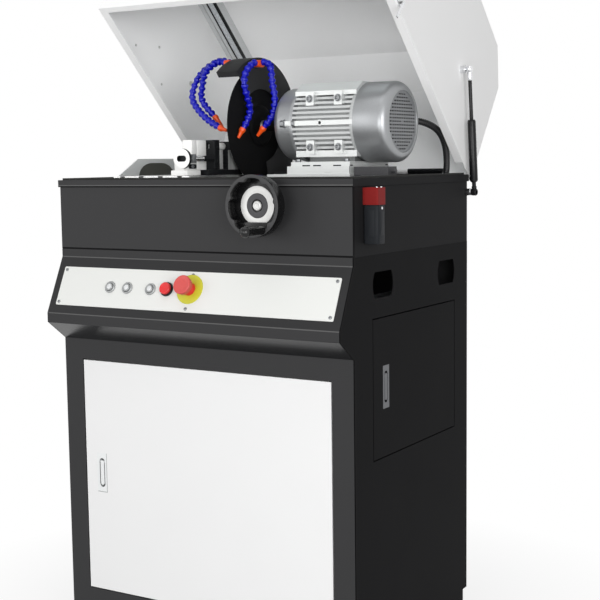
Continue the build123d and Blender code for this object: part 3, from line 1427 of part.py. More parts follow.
terminal_y0 = SPINDLE_Y + FRAME_RIB_R
terminal_x1 = TERMINAL_X + TERMINAL_L / 2
gland_y = terminal_y0 + TERMINAL_W / 2
gland_x1 = terminal_x1 + GLAND_L
gland_z = SPINDLE_Z + GLAND_RISE

with BuildPart() as motor_terminal_box:
    with BuildSketch(Plane.XZ.offset(-terminal_y0)):
        with Locations((TERMINAL_X, SPINDLE_Z)):
            RectangleRounded(TERMINAL_L, TERMINAL_H, TERMINAL_ROUND)
    extrude(amount=-TERMINAL_W)
    with BuildSketch(Plane.YZ.offset(terminal_x1)):
        with Locations((gland_y, gland_z)):
            RegularPolygon(GLAND_R, 6)
    extrude(amount=GLAND_L)
motor_terminal_box.part.label = "motor_terminal_box"
export_step(motor_terminal_box.part, "parts/motor_terminal_box.step")

# shares of the way across, back and down that the conduit has gone
conduit_shares = [
    (0, 0, 0),
    (0.38, 0.05, 0),
    (0.69, 0.26, 0.03),
    (0.87, 0.66, 0.14),
    (0.98, 0.92, 0.33),
    (1, 1, 0.55),
    (1, 1, 1),
]
conduit_start = Vector(gland_x1, gland_y, gland_z)
conduit_end = Vector(CONDUIT_END_X, CONDUIT_END_Y, FLOOR_Z - SHEET)
conduit_span = conduit_end - conduit_start
conduit_points = [
    conduit_start + Vector(conduit_span.X * x, conduit_span.Y * y, conduit_span.Z * z)
    for x, y, z in conduit_shares
]
conduit_path = Spline(*conduit_points, tangents=((1, 0, 0), (0, 0, -1)))
conduit_steady = Vector(0.6, -0.8, 0.6)
conduit_sections = []
for i in range(CONDUIT_STEPS + 1):
    way = conduit_path.tangent_at(i / CONDUIT_STEPS)
    spot = conduit_path.position_at(i / CONDUIT_STEPS)
    with BuildSketch(Plane(origin=spot, x_dir=conduit_steady.cross(way), z_dir=way)) as conduit_section:
        RegularPolygon(CONDUIT_R, CONDUIT_SIDES)
    conduit_sections.append(conduit_section.sketch)

with BuildPart() as conduit:
    loft(sections=conduit_sections, ruled=True)
conduit.part.label = "conduit"
export_step(conduit.part, "parts/conduit.step")

# spindle, wheel and flanges
wheel_x0 = WHEEL_X - WHEEL_T / 2
wheel_x1 = WHEEL_X + WHEEL_T / 2
shaft_x0 = wheel_x0 - FLANGE_T - SPINDLE_NUT_T - SPINDLE_TIP
fan_x0 = frame_x1 + FAN_GAP
fan_x1 = fan_x0 + FAN_L

with BuildPart() as spindle:
    with BuildSketch(Plane.YZ.offset(shaft_x0)):
        with Locations((SPINDLE_Y, SPINDLE_Z)):
            Circle(SHAFT_R)
    extrude(amount=fan_x1 - shaft_x0)
    with BuildSketch(Plane.YZ.offset(wheel_x1)):
        with Locations((SPINDLE_Y, SPINDLE_Z)):
            Circle(FLANGE_R)
    extrude(amount=FLANGE_T)
    with BuildSketch(Plane.YZ.offset(wheel_x0)):
        with Locations((SPINDLE_Y, SPINDLE_Z)):
            Circle(FLANGE_R)
    extrude(amount=-FLANGE_T)
    with BuildSketch(Plane.YZ.offset(wheel_x0 - FLANGE_T)):
        with Locations((SPINDLE_Y, SPINDLE_Z)):
            RegularPolygon(SPINDLE_NUT_R, 6)
    extrude(amount=-SPINDLE_NUT_T)
spindle.part.label = "spindle"

with BuildPart() as cooling_fan:
    with BuildSketch(Plane.YZ.offset(fan_x0)):
        with Locations((SPINDLE_Y, SPINDLE_Z)):
            Circle(FAN_HUB_R)
            with PolarLocations((FAN_R + SHAFT_R) / 2, FAN_BLADES):
                Rectangle(FAN_R - SHAFT_R, FAN_BLADE_T)
            Circle(SHAFT_R, mode=Mode.SUBTRACT)
    extrude(amount=FAN_L)
cooling_fan.part.label = "cooling_fan"

spindle_group = Compound(label="spindle", children=[spindle.part, cooling_fan.part])
export_step(spindle_group, "parts/spindle.step")

with BuildPart() as abrasive_wheel:
    with BuildSketch(Plane.YZ.offset(wheel_x0)):
        with Locations((SPINDLE_Y, SPINDLE_Z)):
            Circle(WHEEL_R)
            Circle(SHAFT_R, mode=Mode.SUBTRACT)
    extrude(amount=WHEEL_T)
abrasive_wheel.part.label = "abrasive_wheel"
export_step(abrasive_wheel.part, "parts/abrasive_wheel.step")

# wheel guard: a bent band, a side plate on the motor side and a front lip
guard_x0 = GUARD_RIGHT_X - GUARD_W
guard_plane = Plane(origin=(guard_x0, SPINDLE_Y, SPINDLE_Z), x_dir=(0, 1, 0), z_dir=(1, 0, 0))
front_a = radians(GUARD_FRONT_DEG)
band_sweep = GUARD_FRONT_DEG - GUARD_REAR_DEG
plate_sweep = GUARD_FRONT_DEG - GUARD_PLATE_REAR_DEG
rear_a = radians(GUARD_REAR_DEG)
plate_a = radians(GUARD_PLATE_REAR_DEG)

with BuildPart() as guard_shell:
    with BuildSketch(guard_plane):
        with BuildLine():
            CenterArc((0, 0), GUARD_R, GUARD_REAR_DEG, band_sweep)
            CenterArc((0, 0), GUARD_R - GUARD_T, GUARD_REAR_DEG, band_sweep)
            Line(
                (GUARD_R * cos(front_a), GUARD_R * sin(front_a)),
                ((GUARD_R - GUARD_T) * cos(front_a), (GUARD_R - GUARD_T) * sin(front_a)),
            )
            Line(
                (GUARD_R * cos(rear_a), GUARD_R * sin(rear_a)),
                ((GUARD_R - GUARD_T) * cos(rear_a), (GUARD_R - GUARD_T) * sin(rear_a)),
            )
        make_face()
    extrude(amount=GUARD_W)
    with BuildSketch(guard_plane.offset(GUARD_W - GUARD_T)):
        with BuildLine():
            CenterArc((0, 0), GUARD_R, GUARD_PLATE_REAR_DEG, plate_sweep)
            CenterArc((0, 0), GUARD_HOLE_R, GUARD_PLATE_REAR_DEG, plate_sweep)
            Line(
                (GUARD_R * cos(front_a), GUARD_R * sin(front_a)),
                (GUARD_HOLE_R * cos(front_a), GUARD_HOLE_R * sin(front_a)),
            )
            Line(
                (GUARD_R * cos(plate_a), GUARD_R * sin(plate_a)),
                (GUARD_HOLE_R * cos(plate_a), GUARD_HOLE_R * sin(plate_a)),
            )
        make_face()
        with Locations((MANIFOLD_DY, MANIFOLD_DZ)):
            Circle(MANIFOLD_R, mode=Mode.SUBTRACT)
    extrude(amount=GUARD_T)
    with BuildSketch(guard_plane):
        with Locations(Location((0, 0), GUARD_FRONT_DEG)):
            with Locations((GUARD_R - GUARD_LIP / 2, -GUARD_T / 2)):
                Rectangle(GUARD_LIP, GUARD_T)
    extrude(amount=GUARD_W)

with BuildPart() as guard_bracket:
    with BuildSketch(Plane.XZ.offset(-(BRACKET_Y - BRACKET_W / 2))):
        with BuildLine():
            Polyline(
                (GUARD_RIGHT_X, TABLE_Z),
                (GUARD_RIGHT_X, TABLE_Z + BRACKET_H),
                (GUARD_RIGHT_X + BRACKET_T, TABLE_Z + BRACKET_H),
                (GUARD_RIGHT_X + BRACKET_T, TABLE_Z + BRACKET_T),
                (BRACKET_REACH, TABLE_Z + BRACKET_T),
                (BRACKET_REACH, TABLE_Z),
                close=True,
            )
        make_face()
    extrude(amount=-BRACKET_W)

wheel_guard = Compound(label="wheel_guard", children=[guard_shell.part, guard_bracket.part])
export_step(wheel_guard, "parts/wheel_guard.step")

# coolant: a pipe through the guard with a fitting at each end, four jointed hoses and their nozzles
manifold_y = SPINDLE_Y + MANIFOLD_DY
manifold_z = SPINDLE_Z + MANIFOLD_DZ
left_fit_x = guard_x0 - MANIFOLD_LEFT
right_fit_x = GUARD_RIGHT_X + MANIFOLD_RIGHT

with BuildPart() as manifold_pipe:
    with BuildSketch(Plane.YZ.offset(left_fit_x)):
        with Locations((manifold_y, manifold_z)):
            Circle(MANIFOLD_R)
    extrude(amount=right_fit_x - left_fit_x)

with BuildPart() as manifold_fittings:
    with BuildSketch(Plane.YZ.offset(left_fit_x)):
        with Locations((manifold_y, manifold_z + LEFT_FITTING_RISE)):
            RectangleRounded(LEFT_FITTING_W, FITTING_H, FITTING_ROUND)
    extrude(amount=-LEFT_FITTING_L)
    with BuildSketch(Plane.YZ.offset(right_fit_x)):
        with Locations((manifold_y, manifold_z + RIGHT_FITTING_RISE)):
            RectangleRounded(RIGHT_FITTING_W, FITTING_H, FITTING_ROUND)
    extrude(amount=RIGHT_FITTING_L)

coolant_manifold = Compound(label="coolant_manifold", children=[manifold_pipe.part, manifold_fittings.part])
export_step(coolant_manifold, "parts/coolant_manifold.step")

left_x = left_fit_x - LEFT_FITTING_L
right_x = right_fit_x + RIGHT_FITTING_L
hose_front_y = MANIFOLD_DY - RIGHT_FITTING_W / 2
# hose routes and nozzle tips: x, then back from and up from the spindle
left_outer_route = [
    (left_x, -20, 138.5),
    (-106, -20, 142.5),
    (-118, -20, 144.5),
    (-132, -21, 142),
    (-148, -23, 135),
    (-162, -26, 124.5),
    (-174, -29, 112.5),
    (-180, -33, 98.5),
    (-184, -38, 84.5),
    (-184, -43, 69.5),
    (-178, -48, 55.5),
    (-166, -53, 43.5),
    (-152, -58, 31.5),
    (-137, -62, 20.5),
    (-122, -66, 11.5),
    (-106, -69, 3.5),
    (-91, -72, -3.5),
]
left_inner_route = [
    (left_x, -39, 137.5),
    (-104, -39, 140.5),
    (-115, -39, 140.5),
    (-127, -39, 135.5),
    (-138, -40, 128.5),
    (-147, -41, 119.5),
    (-152, -42, 108.5),
    (-155, -42, 95.5),
    (-158, -42, 81.5),
    (-160, -42, 67.5),
    (-155, -42, 53.5),
    (-146, -42, 42.5),
    (-136, -42, 32.5),
    (-125, -42, 22.5),
]
right_left_route = [
    (-14, hose_front_y, 134.5),
    (-15, -57, 129.5),
    (-16, -71, 119.5),
    (-16, -81, 107.5),
    (-15, -86, 93.5),
    (-14, -85, 78.5),
    (-13, -80, 64.5),
    (-12, -75, 51.5),
    (-11, -72, 38.5),
    (-11, -73, 25.5),
    (-13, -77, 13.5),
    (-15, -82, 3.5),
    (-18, -88, -6.5),
]
right_right_route = [
    (right_x, -26, 136.5),
    (7, -27, 134.5),
    (17, -31, 124.5),
    (21, -34, 109.5),
    (24, -37, 94.5),
    (29, -40, 78.5),
    (34, -43, 62.5),
    (36, -46, 46.5),
    (35, -48, 30.5),
    (31, -51, 17.5),
    (23, -54, 5.5),
    (15, -57, -4.5),
]
left_outer_tip = (-70, -75, -10.5)
left_inner_tip = (-104, -42, -0.5)
right_left_tip = (-26, -96, -27.5)
right_right_tip = (0, -61, -23.5)
hoses = [
    (left_outer_route, left_outer_tip, Vector(-1, 0, 0), Vector(0, 1, 0)),
    (left_inner_route, left_inner_tip, Vector(-1, 0, 0), Vector(0, 1, 0)),
    (right_left_route, right_left_tip, Vector(0, -1, 0), Vector(1, 0, 0)),
    (right_right_route, right_right_tip, Vector(1, 0, 0), Vector(0, 1, 0)),
]


def beside_spindle(point):
    """A point given from the spindle, as a vector of the machine."""
    return Vector(point[0], SPINDLE_Y + point[1], SPINDLE_Z + point[2])


def stations(route, tip, start, steady):
    """Planes along a route, one at each end of every hose segment, turned about a steady axis.

    Args:
        route: points the middle of the hose goes through.
        tip: where its nozzle ends.
        start: the way the hose leaves its fitting.
        steady: an axis that the hose never runs along.

    Returns:
        The planes, from the fitting to the nozzle.
    """
    points = [beside_spindle(point) for point in route]
    path = Spline(*points, tangents=(start, beside_spindle(tip) - points[-1]))
    count = round(path.length / HOSE_PITCH)
    planes = []
    for i in range(count + 1):
        tangent = path.tangent_at(i / count)
        planes.append(Plane(origin=path.position_at(i / count), x_dir=steady.cross(tangent), z_dir=tangent))
    return planes


hose_solids = []
for route, tip, start, steady in hoses:
    planes = stations(route, tip, start, steady)
    with BuildPart() as hose:
        for near, far in zip(planes[:-1], planes[1:]):
            middle = Plane(
                origin=near.origin * (1 - HOSE_SHOULDER) + far.origin * HOSE_SHOULDER,
                x_dir=near.x_dir + far.x_dir,
                z_dir=near.z_dir + far.z_dir,
            )
            with BuildSketch(near) as wide_end:
                RegularPolygon(HOSE_R, HOSE_SIDES)
            with BuildSketch(middle) as wide_middle:
                RegularPolygon(HOSE_R, HOSE_SIDES)
            with BuildSketch(far) as neck:
                RegularPolygon(HOSE_NECK_R, HOSE_SIDES)
            loft(sections=[wide_end.sketch, wide_middle.sketch, neck.sketch], ruled=True)
        bore_sections = []
        for plane in planes:
            with BuildSketch(plane) as bore_section:
                RegularPolygon(HOSE_BORE_R, HOSE_SIDES)
            bore_sections.append(bore_section.sketch)
        loft(sections=bore_sections, ruled=True, mode=Mode.SUBTRACT)
    hose_solids.append(hose.part)

coolant_hoses = Compound(label="coolant_hoses", children=hose_solids)
export_step(coolant_hoses, "parts/coolant_hoses.step")

with BuildPart() as coolant_nozzles:
    for route, tip, start, steady in hoses:
        root_plane = stations(route, tip, start, steady)[-1]
        tip_plane = Plane(origin=beside_spindle(tip), x_dir=root_plane.x_dir, z_dir=root_plane.z_dir)
        with BuildSketch(root_plane) as root_section:
            RegularPolygon(HOSE_NECK_R, HOSE_SIDES)
            RegularPolygon(NOZZLE_BORE_R, HOSE_SIDES, mode=Mode.SUBTRACT)
        with BuildSketch(tip_plane) as tip_section:
            RegularPolygon(NOZZLE_TIP_R, HOSE_SIDES)
            RegularPolygon(NOZZLE_TIP_BORE_R, HOSE_SIDES, mode=Mode.SUBTRACT)
        loft(sections=[root_section.sketch, tip_section.sketch], ruled=True)
coolant_nozzles.part.label = "coolant_nozzles"
export_step(coolant_nozzles.part, "parts/coolant_nozzles.step")

# hood, standing open about its hinge
OPEN_C = cos(radians(HOOD_OPEN_DEG))
OPEN_S = sin(radians(HOOD_OPEN_DEG))


def hood_dir(u, w):
    """A direction in the hood's own plane, as a vector of the machine."""
    return Vector(0, -OPEN_C * u + OPEN_S * w, OPEN_S * u + OPEN_C * w)


def hood_plane(x):
    """The hood's own plane at one place across the machine, facing left."""
    return Plane(origin=(x, HINGE_Y, HINGE_Z), x_dir=hood_dir(1, 0), z_dir=(-1, 0, 0))


hinge_point = Vector(0, HINGE_Y, HINGE_Z)
back_lean = (HOOD_SHOULDER_U - HOOD_BACK_U) / (HOOD_SHOULDER_W - HOOD_BOTTOM_W)
void_w = HOOD_BOTTOM_W - HOOD_VOID_DROP
hood_outline = [
    (HOOD_BACK_U, HOOD_BOTTOM_W),
    (HOOD_SHOULDER_U, HOOD_SHOULDER_W),
    (HOOD_TOP_U, HOOD_TOP_W),
    (HOOD_TOP_FRONT_U, HOOD_TOP_W),
    (HOOD_FRONT_U, HOOD_FRONT_W),
    (HOOD_FRONT_U, HOOD_BOTTOM_W),
]
void_back_u = HOOD_BACK_U - HOOD_VOID_DROP * back_lean
void_outline = [(void_back_u, void_w)] + hood_outline[1:5] + [(HOOD_FRONT_U, void_w)]
window_w = WIDTH - 2 * WINDOW_INSET
slope_u = HOOD_FRONT_U - HOOD_TOP_FRONT_U
slope_w = HOOD_TOP_W - HOOD_FRONT_W
window_plane = Plane(
    origin=hinge_point + hood_dir((HOOD_FRONT_U + HOOD_TOP_FRONT_U) / 2, (HOOD_TOP_W + HOOD_FRONT_W) / 2),
    x_dir=(1, 0, 0),
    z_dir=hood_dir(slope_w, slope_u),
)
flange_w = HOOD_BOTTOM_W + SHEET / 2
front_in_u = HOOD_FRONT_U - SHEET
knuckle_l = HINGE_L / HINGE_KNUCKLES
knuckle_xs = [knuckle_l * (i - (HINGE_KNUCKLES - 1) / 2) for i in range(HINGE_KNUCKLES)]

with BuildPart() as hood_shell:
    with BuildSketch(hood_plane(RIGHT_X)):
        with BuildLine():
            Polyline(*hood_outline, close=True)
        make_face()
    extrude(amount=WIDTH)
    with BuildSketch(hood_plane(RIGHT_X - SHEET)):
        with BuildLine():
            Polyline(*void_outline, close=True)
        make_face()
        offset(amount=-SHEET, kind=Kind.INTERSECTION, mode=Mode.REPLACE)
    extrude(amount=WIDTH - 2 * SHEET, mode=Mode.SUBTRACT)
    with BuildSketch(hood_plane(RIGHT_X - SHEET)):
        with Locations(((HOOD_FLANGE_BACK_U + front_in_u) / 2, flange_w)):
            Rectangle(front_in_u - HOOD_FLANGE_BACK_U, SHEET)
    extrude(amount=HOOD_FLANGE_W)
    with BuildSketch(hood_plane(LEFT_X + SHEET + HOOD_FLANGE_W)):
        with Locations(((HOOD_FLANGE_BACK_U + front_in_u) / 2, flange_w)):
            Rectangle(front_in_u - HOOD_FLANGE_BACK_U, SHEET)
    extrude(amount=HOOD_FLANGE_W)
    with BuildSketch(hood_plane(RIGHT_X - SHEET)):
        with Locations((front_in_u - HOOD_FRONT_FLANGE / 2, flange_w)):
            Rectangle(HOOD_FRONT_FLANGE, SHEET)
    extrude(amount=WIDTH - 2 * SHEET)
    with BuildSketch(window_plane):
        RectangleRounded(window_w, WINDOW_L, WINDOW_ROUND)
    extrude(amount=-2 * SHEET, mode=Mode.SUBTRACT)
    for knuckle_x in knuckle_xs[1::2]:
        with BuildSketch(hood_plane(knuckle_x + knuckle_l / 2 - CLEAR)):
            with Locations((HOOD_BACK_U / 2 + SHEET / 2, 0)):
                Rectangle(-HOOD_BACK_U - SHEET, SHEET)
            Circle(HINGE_KNUCKLE_R)
            Circle(HINGE_PIN_R + FIT, mode=Mode.SUBTRACT)
        extrude(amount=knuckle_l - 2 * CLEAR)
hood_shell.part.label = "hood_shell"
export_step(hood_shell.part, "parts/hood_shell.step")

with BuildPart() as hinge_leaf:
    for knuckle_x in knuckle_xs[::2]:
        with BuildSketch(Plane.YZ.offset(knuckle_x - knuckle_l / 2 + CLEAR)):
            with Locations((HINGE_Y - HINGE_LEAF_T / 2, (RIM_Z1 + HINGE_Z) / 2)):
                Rectangle(HINGE_LEAF_T, HINGE_Z - RIM_Z1)
            with Locations((HINGE_Y, HINGE_Z)):
                Circle(HINGE_KNUCKLE_R)
                Circle(HINGE_PIN_R, mode=Mode.SUBTRACT)
        extrude(amount=knuckle_l - 2 * CLEAR)
    with BuildSketch(Plane.YZ.offset(-HINGE_L / 2)):
        with Locations((HINGE_Y - HINGE_LEAF_W / 2, RIM_Z1 + HINGE_LEAF_T / 2)):
            Rectangle(HINGE_LEAF_W, HINGE_LEAF_T)
    extrude(amount=HINGE_L)

with BuildPart() as hinge_pin:
    with BuildSketch(Plane.YZ.offset(-HINGE_L / 2)):
        with Locations((HINGE_Y, HINGE_Z)):
            Circle(HINGE_PIN_R)
    extrude(amount=HINGE_L)

hood_hinge = Compound(label="hood_hinge", children=[hinge_leaf.part, hinge_pin.part])
export_step(hood_hinge, "parts/hood_hinge.step")

with BuildPart() as hood_window:
    with BuildSketch(window_plane.offset(-SHEET)):
        RectangleRounded(window_w + 2 * WINDOW_LAP, WINDOW_L + 2 * WINDOW_LAP, WINDOW_ROUND)
    extrude(amount=-WINDOW_T)
hood_window.part.label = "hood_window"
export_step(hood_window.part, "parts/hood_window.step")

lamp_top = HOOD_TOP_W - SHEET
lamp_right = LEFT_X + SHEET + LAMP_W
lamp_u = LAMP_BACK_U + LAMP_L / 2

with BuildPart() as lamp_housing:
    with BuildSketch(hood_plane(lamp_right)):
        with Locations((lamp_u, lamp_top - LAMP_H / 2)):
            Rectangle(LAMP_L, LAMP_H)
    extrude(amount=LAMP_W)

with BuildPart() as lamp_lens:
    with BuildSketch(hood_plane(lamp_right - LAMP_LENS_INSET)):
        with Locations((lamp_u, lamp_top - LAMP_H - LAMP_LENS_T / 2)):
            Rectangle(LAMP_L - 2 * LAMP_LENS_INSET, LAMP_LENS_T)
    extrude(amount=LAMP_W - 2 * LAMP_LENS_INSET)

hood_lamp = Compound(label="hood_lamp", children=[lamp_housing.part, lamp_lens.part])
export_step(hood_lamp, "parts/hood_lamp.step")

front_plane = Plane(
    origin=hinge_point + hood_dir(HOOD_FRONT_U, HANDLE_BAR_W),
    x_dir=(1, 0, 0),
    z_dir=hood_dir(1, 0),
)

with BuildPart() as hood_handle:
    with BuildSketch(front_plane):
        with Locations((-HANDLE_BAR_L / 2, 0), (HANDLE_BAR_L / 2, 0)):
            Circle(HANDLE_POST_R)
    extrude(amount=HANDLE_BAR_OUT)
    with BuildSketch(hood_plane(HANDLE_BAR_L / 2 + HANDLE_BAR_R)):
        with Locations((HOOD_FRONT_U + HANDLE_BAR_OUT, HANDLE_BAR_W)):
            Circle(HANDLE_BAR_R)
    extrude(amount=HANDLE_BAR_L + 2 * HANDLE_BAR_R)
hood_handle.part.label = "hood_handle"
export_step(hood_handle.part, "parts/hood_handle.step")

with BuildPart() as interlock_key:
    with BuildSketch(hood_plane(RIGHT_X + KEY_FLANGE_T)):
        with Locations((KEY_U, KEY_PLATE_H / 2)):
            Rectangle(KEY_PLATE_W, KEY_PLATE_H)
    extrude(amount=KEY_FLANGE_T)
    with BuildSketch(hood_plane(KEY_X + KEY_T / 2)):
        with Locations((KEY_U, KEY_FLANGE_T / 2)):
            Rectangle(KEY_W, KEY_FLANGE_T)
    extrude(amount=KEY_X + KEY_T / 2 - RIGHT_X)
    with BuildSketch(hood_plane(KEY_X + KEY_T / 2)):
        with Locations((KEY_U, -KEY_DROP / 2)):
            Rectangle(KEY_W, KEY_DROP)
    extrude(amount=KEY_T)
interlock_key.part.label = "interlock_key"
export_step(interlock_key.part, "parts/interlock_key.step")

# gas springs: the lower end turns on its stud; the upper end stands beside the stud on the hood
upper_point = hinge_point + hood_dir(SPRING_UPPER_U, SPRING_UPPER_W)
lower_point = Vector(0, SPRING_LOWER_Y, SPRING_LOWER_Z)
strut = upper_point - lower_point
strut_l = strut.length
strut_dir = strut.normalized()
tube_end = SPRING_TUBE_START + SPRING_TUBE_L
rod_start = tube_end - SPRING_ROD_IN
eye_x0 = SPRING_X - SPRING_EYE_W / 2
eye_x1 = SPRING_X + SPRING_EYE_W / 2


def strut_plane(x, along):
    """A plane square to a strut, some way along it from its lower end."""
    return Plane(origin=Vector(x, 0, 0) + lower_point + strut_dir * along, x_dir=(1, 0, 0), z_dir=strut_dir)


with BuildPart() as gas_spring_cylinder_right:
    with BuildSketch(strut_plane(SPRING_X, SPRING_TUBE_START)):
        Circle(SPRING_R)
    extrude(amount=SPRING_TUBE_L)
    with BuildSketch(strut_plane(SPRING_X, 0)):
        Circle(SPRING_SHANK_R)
    extrude(amount=SPRING_TUBE_START)
    with BuildSketch(Plane.YZ.offset(eye_x0)):
        with Locations((SPRING_LOWER_Y, SPRING_LOWER_Z)):
            Circle(SPRING_EYE_R)
    extrude(amount=SPRING_EYE_W)
    with BuildSketch(Plane.YZ.offset(eye_x0)):
        with Locations((SPRING_LOWER_Y, SPRING_LOWER_Z)):
            Circle(SPRING_STUD_R + FIT)
    extrude(amount=SPRING_EYE_W, mode=Mode.SUBTRACT)
    with BuildSketch(strut_plane(SPRING_X, tube_end)):
        Circle(SPRING_ROD_R + CLEAR)
    extrude(amount=SPRING_TUBE_FLOOR - SPRING_TUBE_L, mode=Mode.SUBTRACT)
gas_spring_cylinder_right.part.label = "gas_spring_cylinder_right"
export_step(gas_spring_cylinder_right.part, "parts/gas_spring_cylinder_right.step")

gas_spring_cylinder_left = mirror(gas_spring_cylinder_right.part, about=Plane.YZ)
gas_spring_cylinder_left.label = "gas_spring_cylinder_left"
export_step(gas_spring_cylinder_left, "parts/gas_spring_cylinder_left.step")

with BuildPart() as gas_spring_rod_right:
    with BuildSketch(strut_plane(SPRING_X, rod_start)):
        Circle(SPRING_ROD_R)
    extrude(amount=strut_l - rod_start)
    with BuildSketch(Plane.YZ.offset(eye_x0)):
        with Locations((upper_point.Y, upper_point.Z)):
            Circle(SPRING_EYE_R)
    extrude(amount=SPRING_EYE_W)
gas_spring_rod_right.part.label = "gas_spring_rod_right"
export_step(gas_spring_rod_right.part, "parts/gas_spring_rod_right.step")

gas_spring_rod_left = mirror(gas_spring_rod_right.part, about=Plane.YZ)
gas_spring_rod_left.label = "gas_spring_rod_left"
export_step(gas_spring_rod_left, "parts/gas_spring_rod_left.step")

with BuildPart() as spring_lower_studs:
    with BuildSketch(Plane.YZ.offset(RIGHT_X)):
        with Locations((SPRING_LOWER_Y, SPRING_LOWER_Z)):
            Circle(SPRING_STUD_R)
    extrude(amount=eye_x1 - RIGHT_X)
    with BuildSketch(Plane.YZ.offset(RIGHT_X)):
        with Locations((SPRING_LOWER_Y, SPRING_LOWER_Z)):
            Circle(SPRING_STUD_COLLAR_R)
    extrude(amount=eye_x0 - RIGHT_X - CLEAR)
    mirror(about=Plane.YZ)
spring_lower_studs.part.label = "spring_lower_studs"
export_step(spring_lower_studs.part, "parts/spring_lower_studs.step")

with BuildPart() as spring_upper_studs:
    with BuildSketch(Plane.YZ.offset(RIGHT_X)):
        with Locations((upper_point.Y, upper_point.Z)):
            Circle(SPRING_STUD_COLLAR_R)
    extrude(amount=eye_x0 - RIGHT_X - CLEAR)
    mirror(about=Plane.YZ)
spring_upper_studs.part.label = "spring_upper_studs"
export_step(spring_upper_studs.part, "parts/spring_upper_studs.step")

# safety switch on the right wall of the tub
switch_z1 = RIM_Z0 - SWITCH_TOP_GAP
switch_x = RIGHT_X + SWITCH_OUT / 2
head_z0 = switch_z1 - SWITCH_HEAD_H
switch_z0 = head_z0 - SWITCH_BODY_H

with BuildPart() as switch_head:
    with BuildSketch(Plane.XY.offset(head_z0)):
        with Locations((switch_x, SWITCH_Y)):
            Rectangle(SWITCH_OUT, SWITCH_W)
    extrude(amount=SWITCH_HEAD_H)
    with BuildSketch(Plane.XY.offset(switch_z1)):
        with Locations((KEY_X, SWITCH_Y)):
            Rectangle(SWITCH_SLOT_T, SWITCH_SLOT_W)
    extrude(amount=-SWITCH_SLOT_H, mode=Mode.SUBTRACT)

with BuildPart() as switch_body:
    with BuildSketch(Plane.XY.offset(switch_z0)):
        with Locations((switch_x, SWITCH_Y)):
            Rectangle(SWITCH_OUT, SWITCH_W)
    extrude(amount=SWITCH_BODY_H)
    fillet(switch_body.edges().filter_by(Axis.Z).group_by(Axis.X)[-1], SWITCH_ROUND)

interlock_switch = Compound(label="interlock_switch", children=[switch_body.part, switch_head.part])
export_step(interlock_switch, "parts/interlock_switch.step")

# side port on the left rim
port_x = -RIM_IN_X
port_z0 = RIM_Z0 + SHEET

arch_y = (PORT_ARCH_Y0 + PORT_ARCH_Y1) / 2
arch_z = RIM_Z1 + PORT_ARCH_LIFT + PORT_ARCH_H / 2

with BuildSketch() as port_arch:
    Rectangle(PORT_ARCH_Y1 - PORT_ARCH_Y0, PORT_ARCH_H)
    fillet(port_arch.vertices().group_by(Axis.Y)[-1], PORT_ARCH_R)

with BuildPart() as port_plate:
    with BuildSketch(Plane.YZ.offset(port_x)):
        with BuildLine():
            Polyline(
                (PORT_Y0, port_z0),
                (PORT_Y0, TABLE_Z),
                (PORT_TOP_Y0, RIM_Z1 + PORT_TOP_RISE),
                (PORT_TOP_Y1, RIM_Z1 + PORT_TOP_RISE),
                (PORT_Y1, TABLE_Z),
                (PORT_Y1, port_z0),
                close=True,
            )
        make_face()
        with Locations((arch_y, arch_z)):
            add(port_arch.sketch, mode=Mode.SUBTRACT)
    extrude(amount=PORT_T)

with BuildPart() as port_curtain:
    with BuildSketch(Plane.YZ.offset(port_x)):
        with Locations((arch_y, arch_z)):
            Rectangle(PORT_ARCH_Y1 - PORT_ARCH_Y0 + 2 * CURTAIN_LAP, PORT_ARCH_H + 2 * CURTAIN_LAP)
    extrude(amount=-CURTAIN_T)

side_port_plate = Compound(label="side_port_plate", children=[port_plate.part, port_curtain.part])
export_step(side_port_plate, "parts/side_port_plate.step")

# coolant tank, pump and switchgear inside the cabinet
with BuildPart() as coolant_tank:
    with BuildSketch(Plane.XY.offset(tank_z0)):
        with Locations((TANK_X, TANK_Y)):
            Rectangle(TANK_W, TANK_L)
    extrude(amount=TANK_H)
    with BuildSketch(Plane.XY.offset(tank_z0 + TANK_WALL)):
        with Locations((TANK_X, TANK_Y)):
            Rectangle(TANK_W - 2 * TANK_WALL, TANK_L - 2 * TANK_WALL)
    extrude(amount=TANK_H - 2 * TANK_WALL, mode=Mode.SUBTRACT)
    with BuildSketch(Plane.XY.offset(tank_z1)):
        with Locations((DRAIN_X, DRAIN_Y)):
            Circle(DRAIN_R + DRAIN_HOLE_GAP)
        with Locations((PUMP_X, PUMP_Y)):
            Circle(PUMP_INLET_R + PUMP_HOLE_GAP)
    extrude(amount=-TANK_WALL, mode=Mode.SUBTRACT)
coolant_tank.part.label = "coolant_tank"
export_step(coolant_tank.part, "parts/coolant_tank.step")

with BuildPart() as coolant_pump:
    with BuildSketch(Plane.XY.offset(tank_z1)):
        with Locations((PUMP_X, PUMP_Y)):
            RectangleRounded(PUMP_FLANGE, PUMP_FLANGE, PUMP_FLANGE_ROUND)
    extrude(amount=PUMP_FLANGE_T)
    with BuildSketch(Plane.XY.offset(tank_z1 + PUMP_FLANGE_T)):
        with Locations((PUMP_X, PUMP_Y)):
            Circle(PUMP_R)
    extrude(amount=PUMP_H)
    with BuildSketch(Plane.XY.offset(tank_z1)):
        with Locations((PUMP_X, PUMP_Y)):
            Circle(PUMP_INLET_R)
    extrude(amount=-PUMP_INLET_L)
coolant_pump.part.label = "coolant_pump"
export_step(coolant_pump.part, "parts/coolant_pump.step")

panel_y1 = BACK_Y - SHEET
panel_z0 = BASE_Z + PANEL_RISE
panel_y = panel_y1 - PANEL_L / 2
gear_z = panel_z0 + PANEL_H / 2

with BuildPart() as gear_plate:
    with BuildSketch(Plane.YZ.offset(PANEL_X)):
        with Locations((panel_y, gear_z)):
            Rectangle(PANEL_L, PANEL_H)
    extrude(amount=PANEL_T)

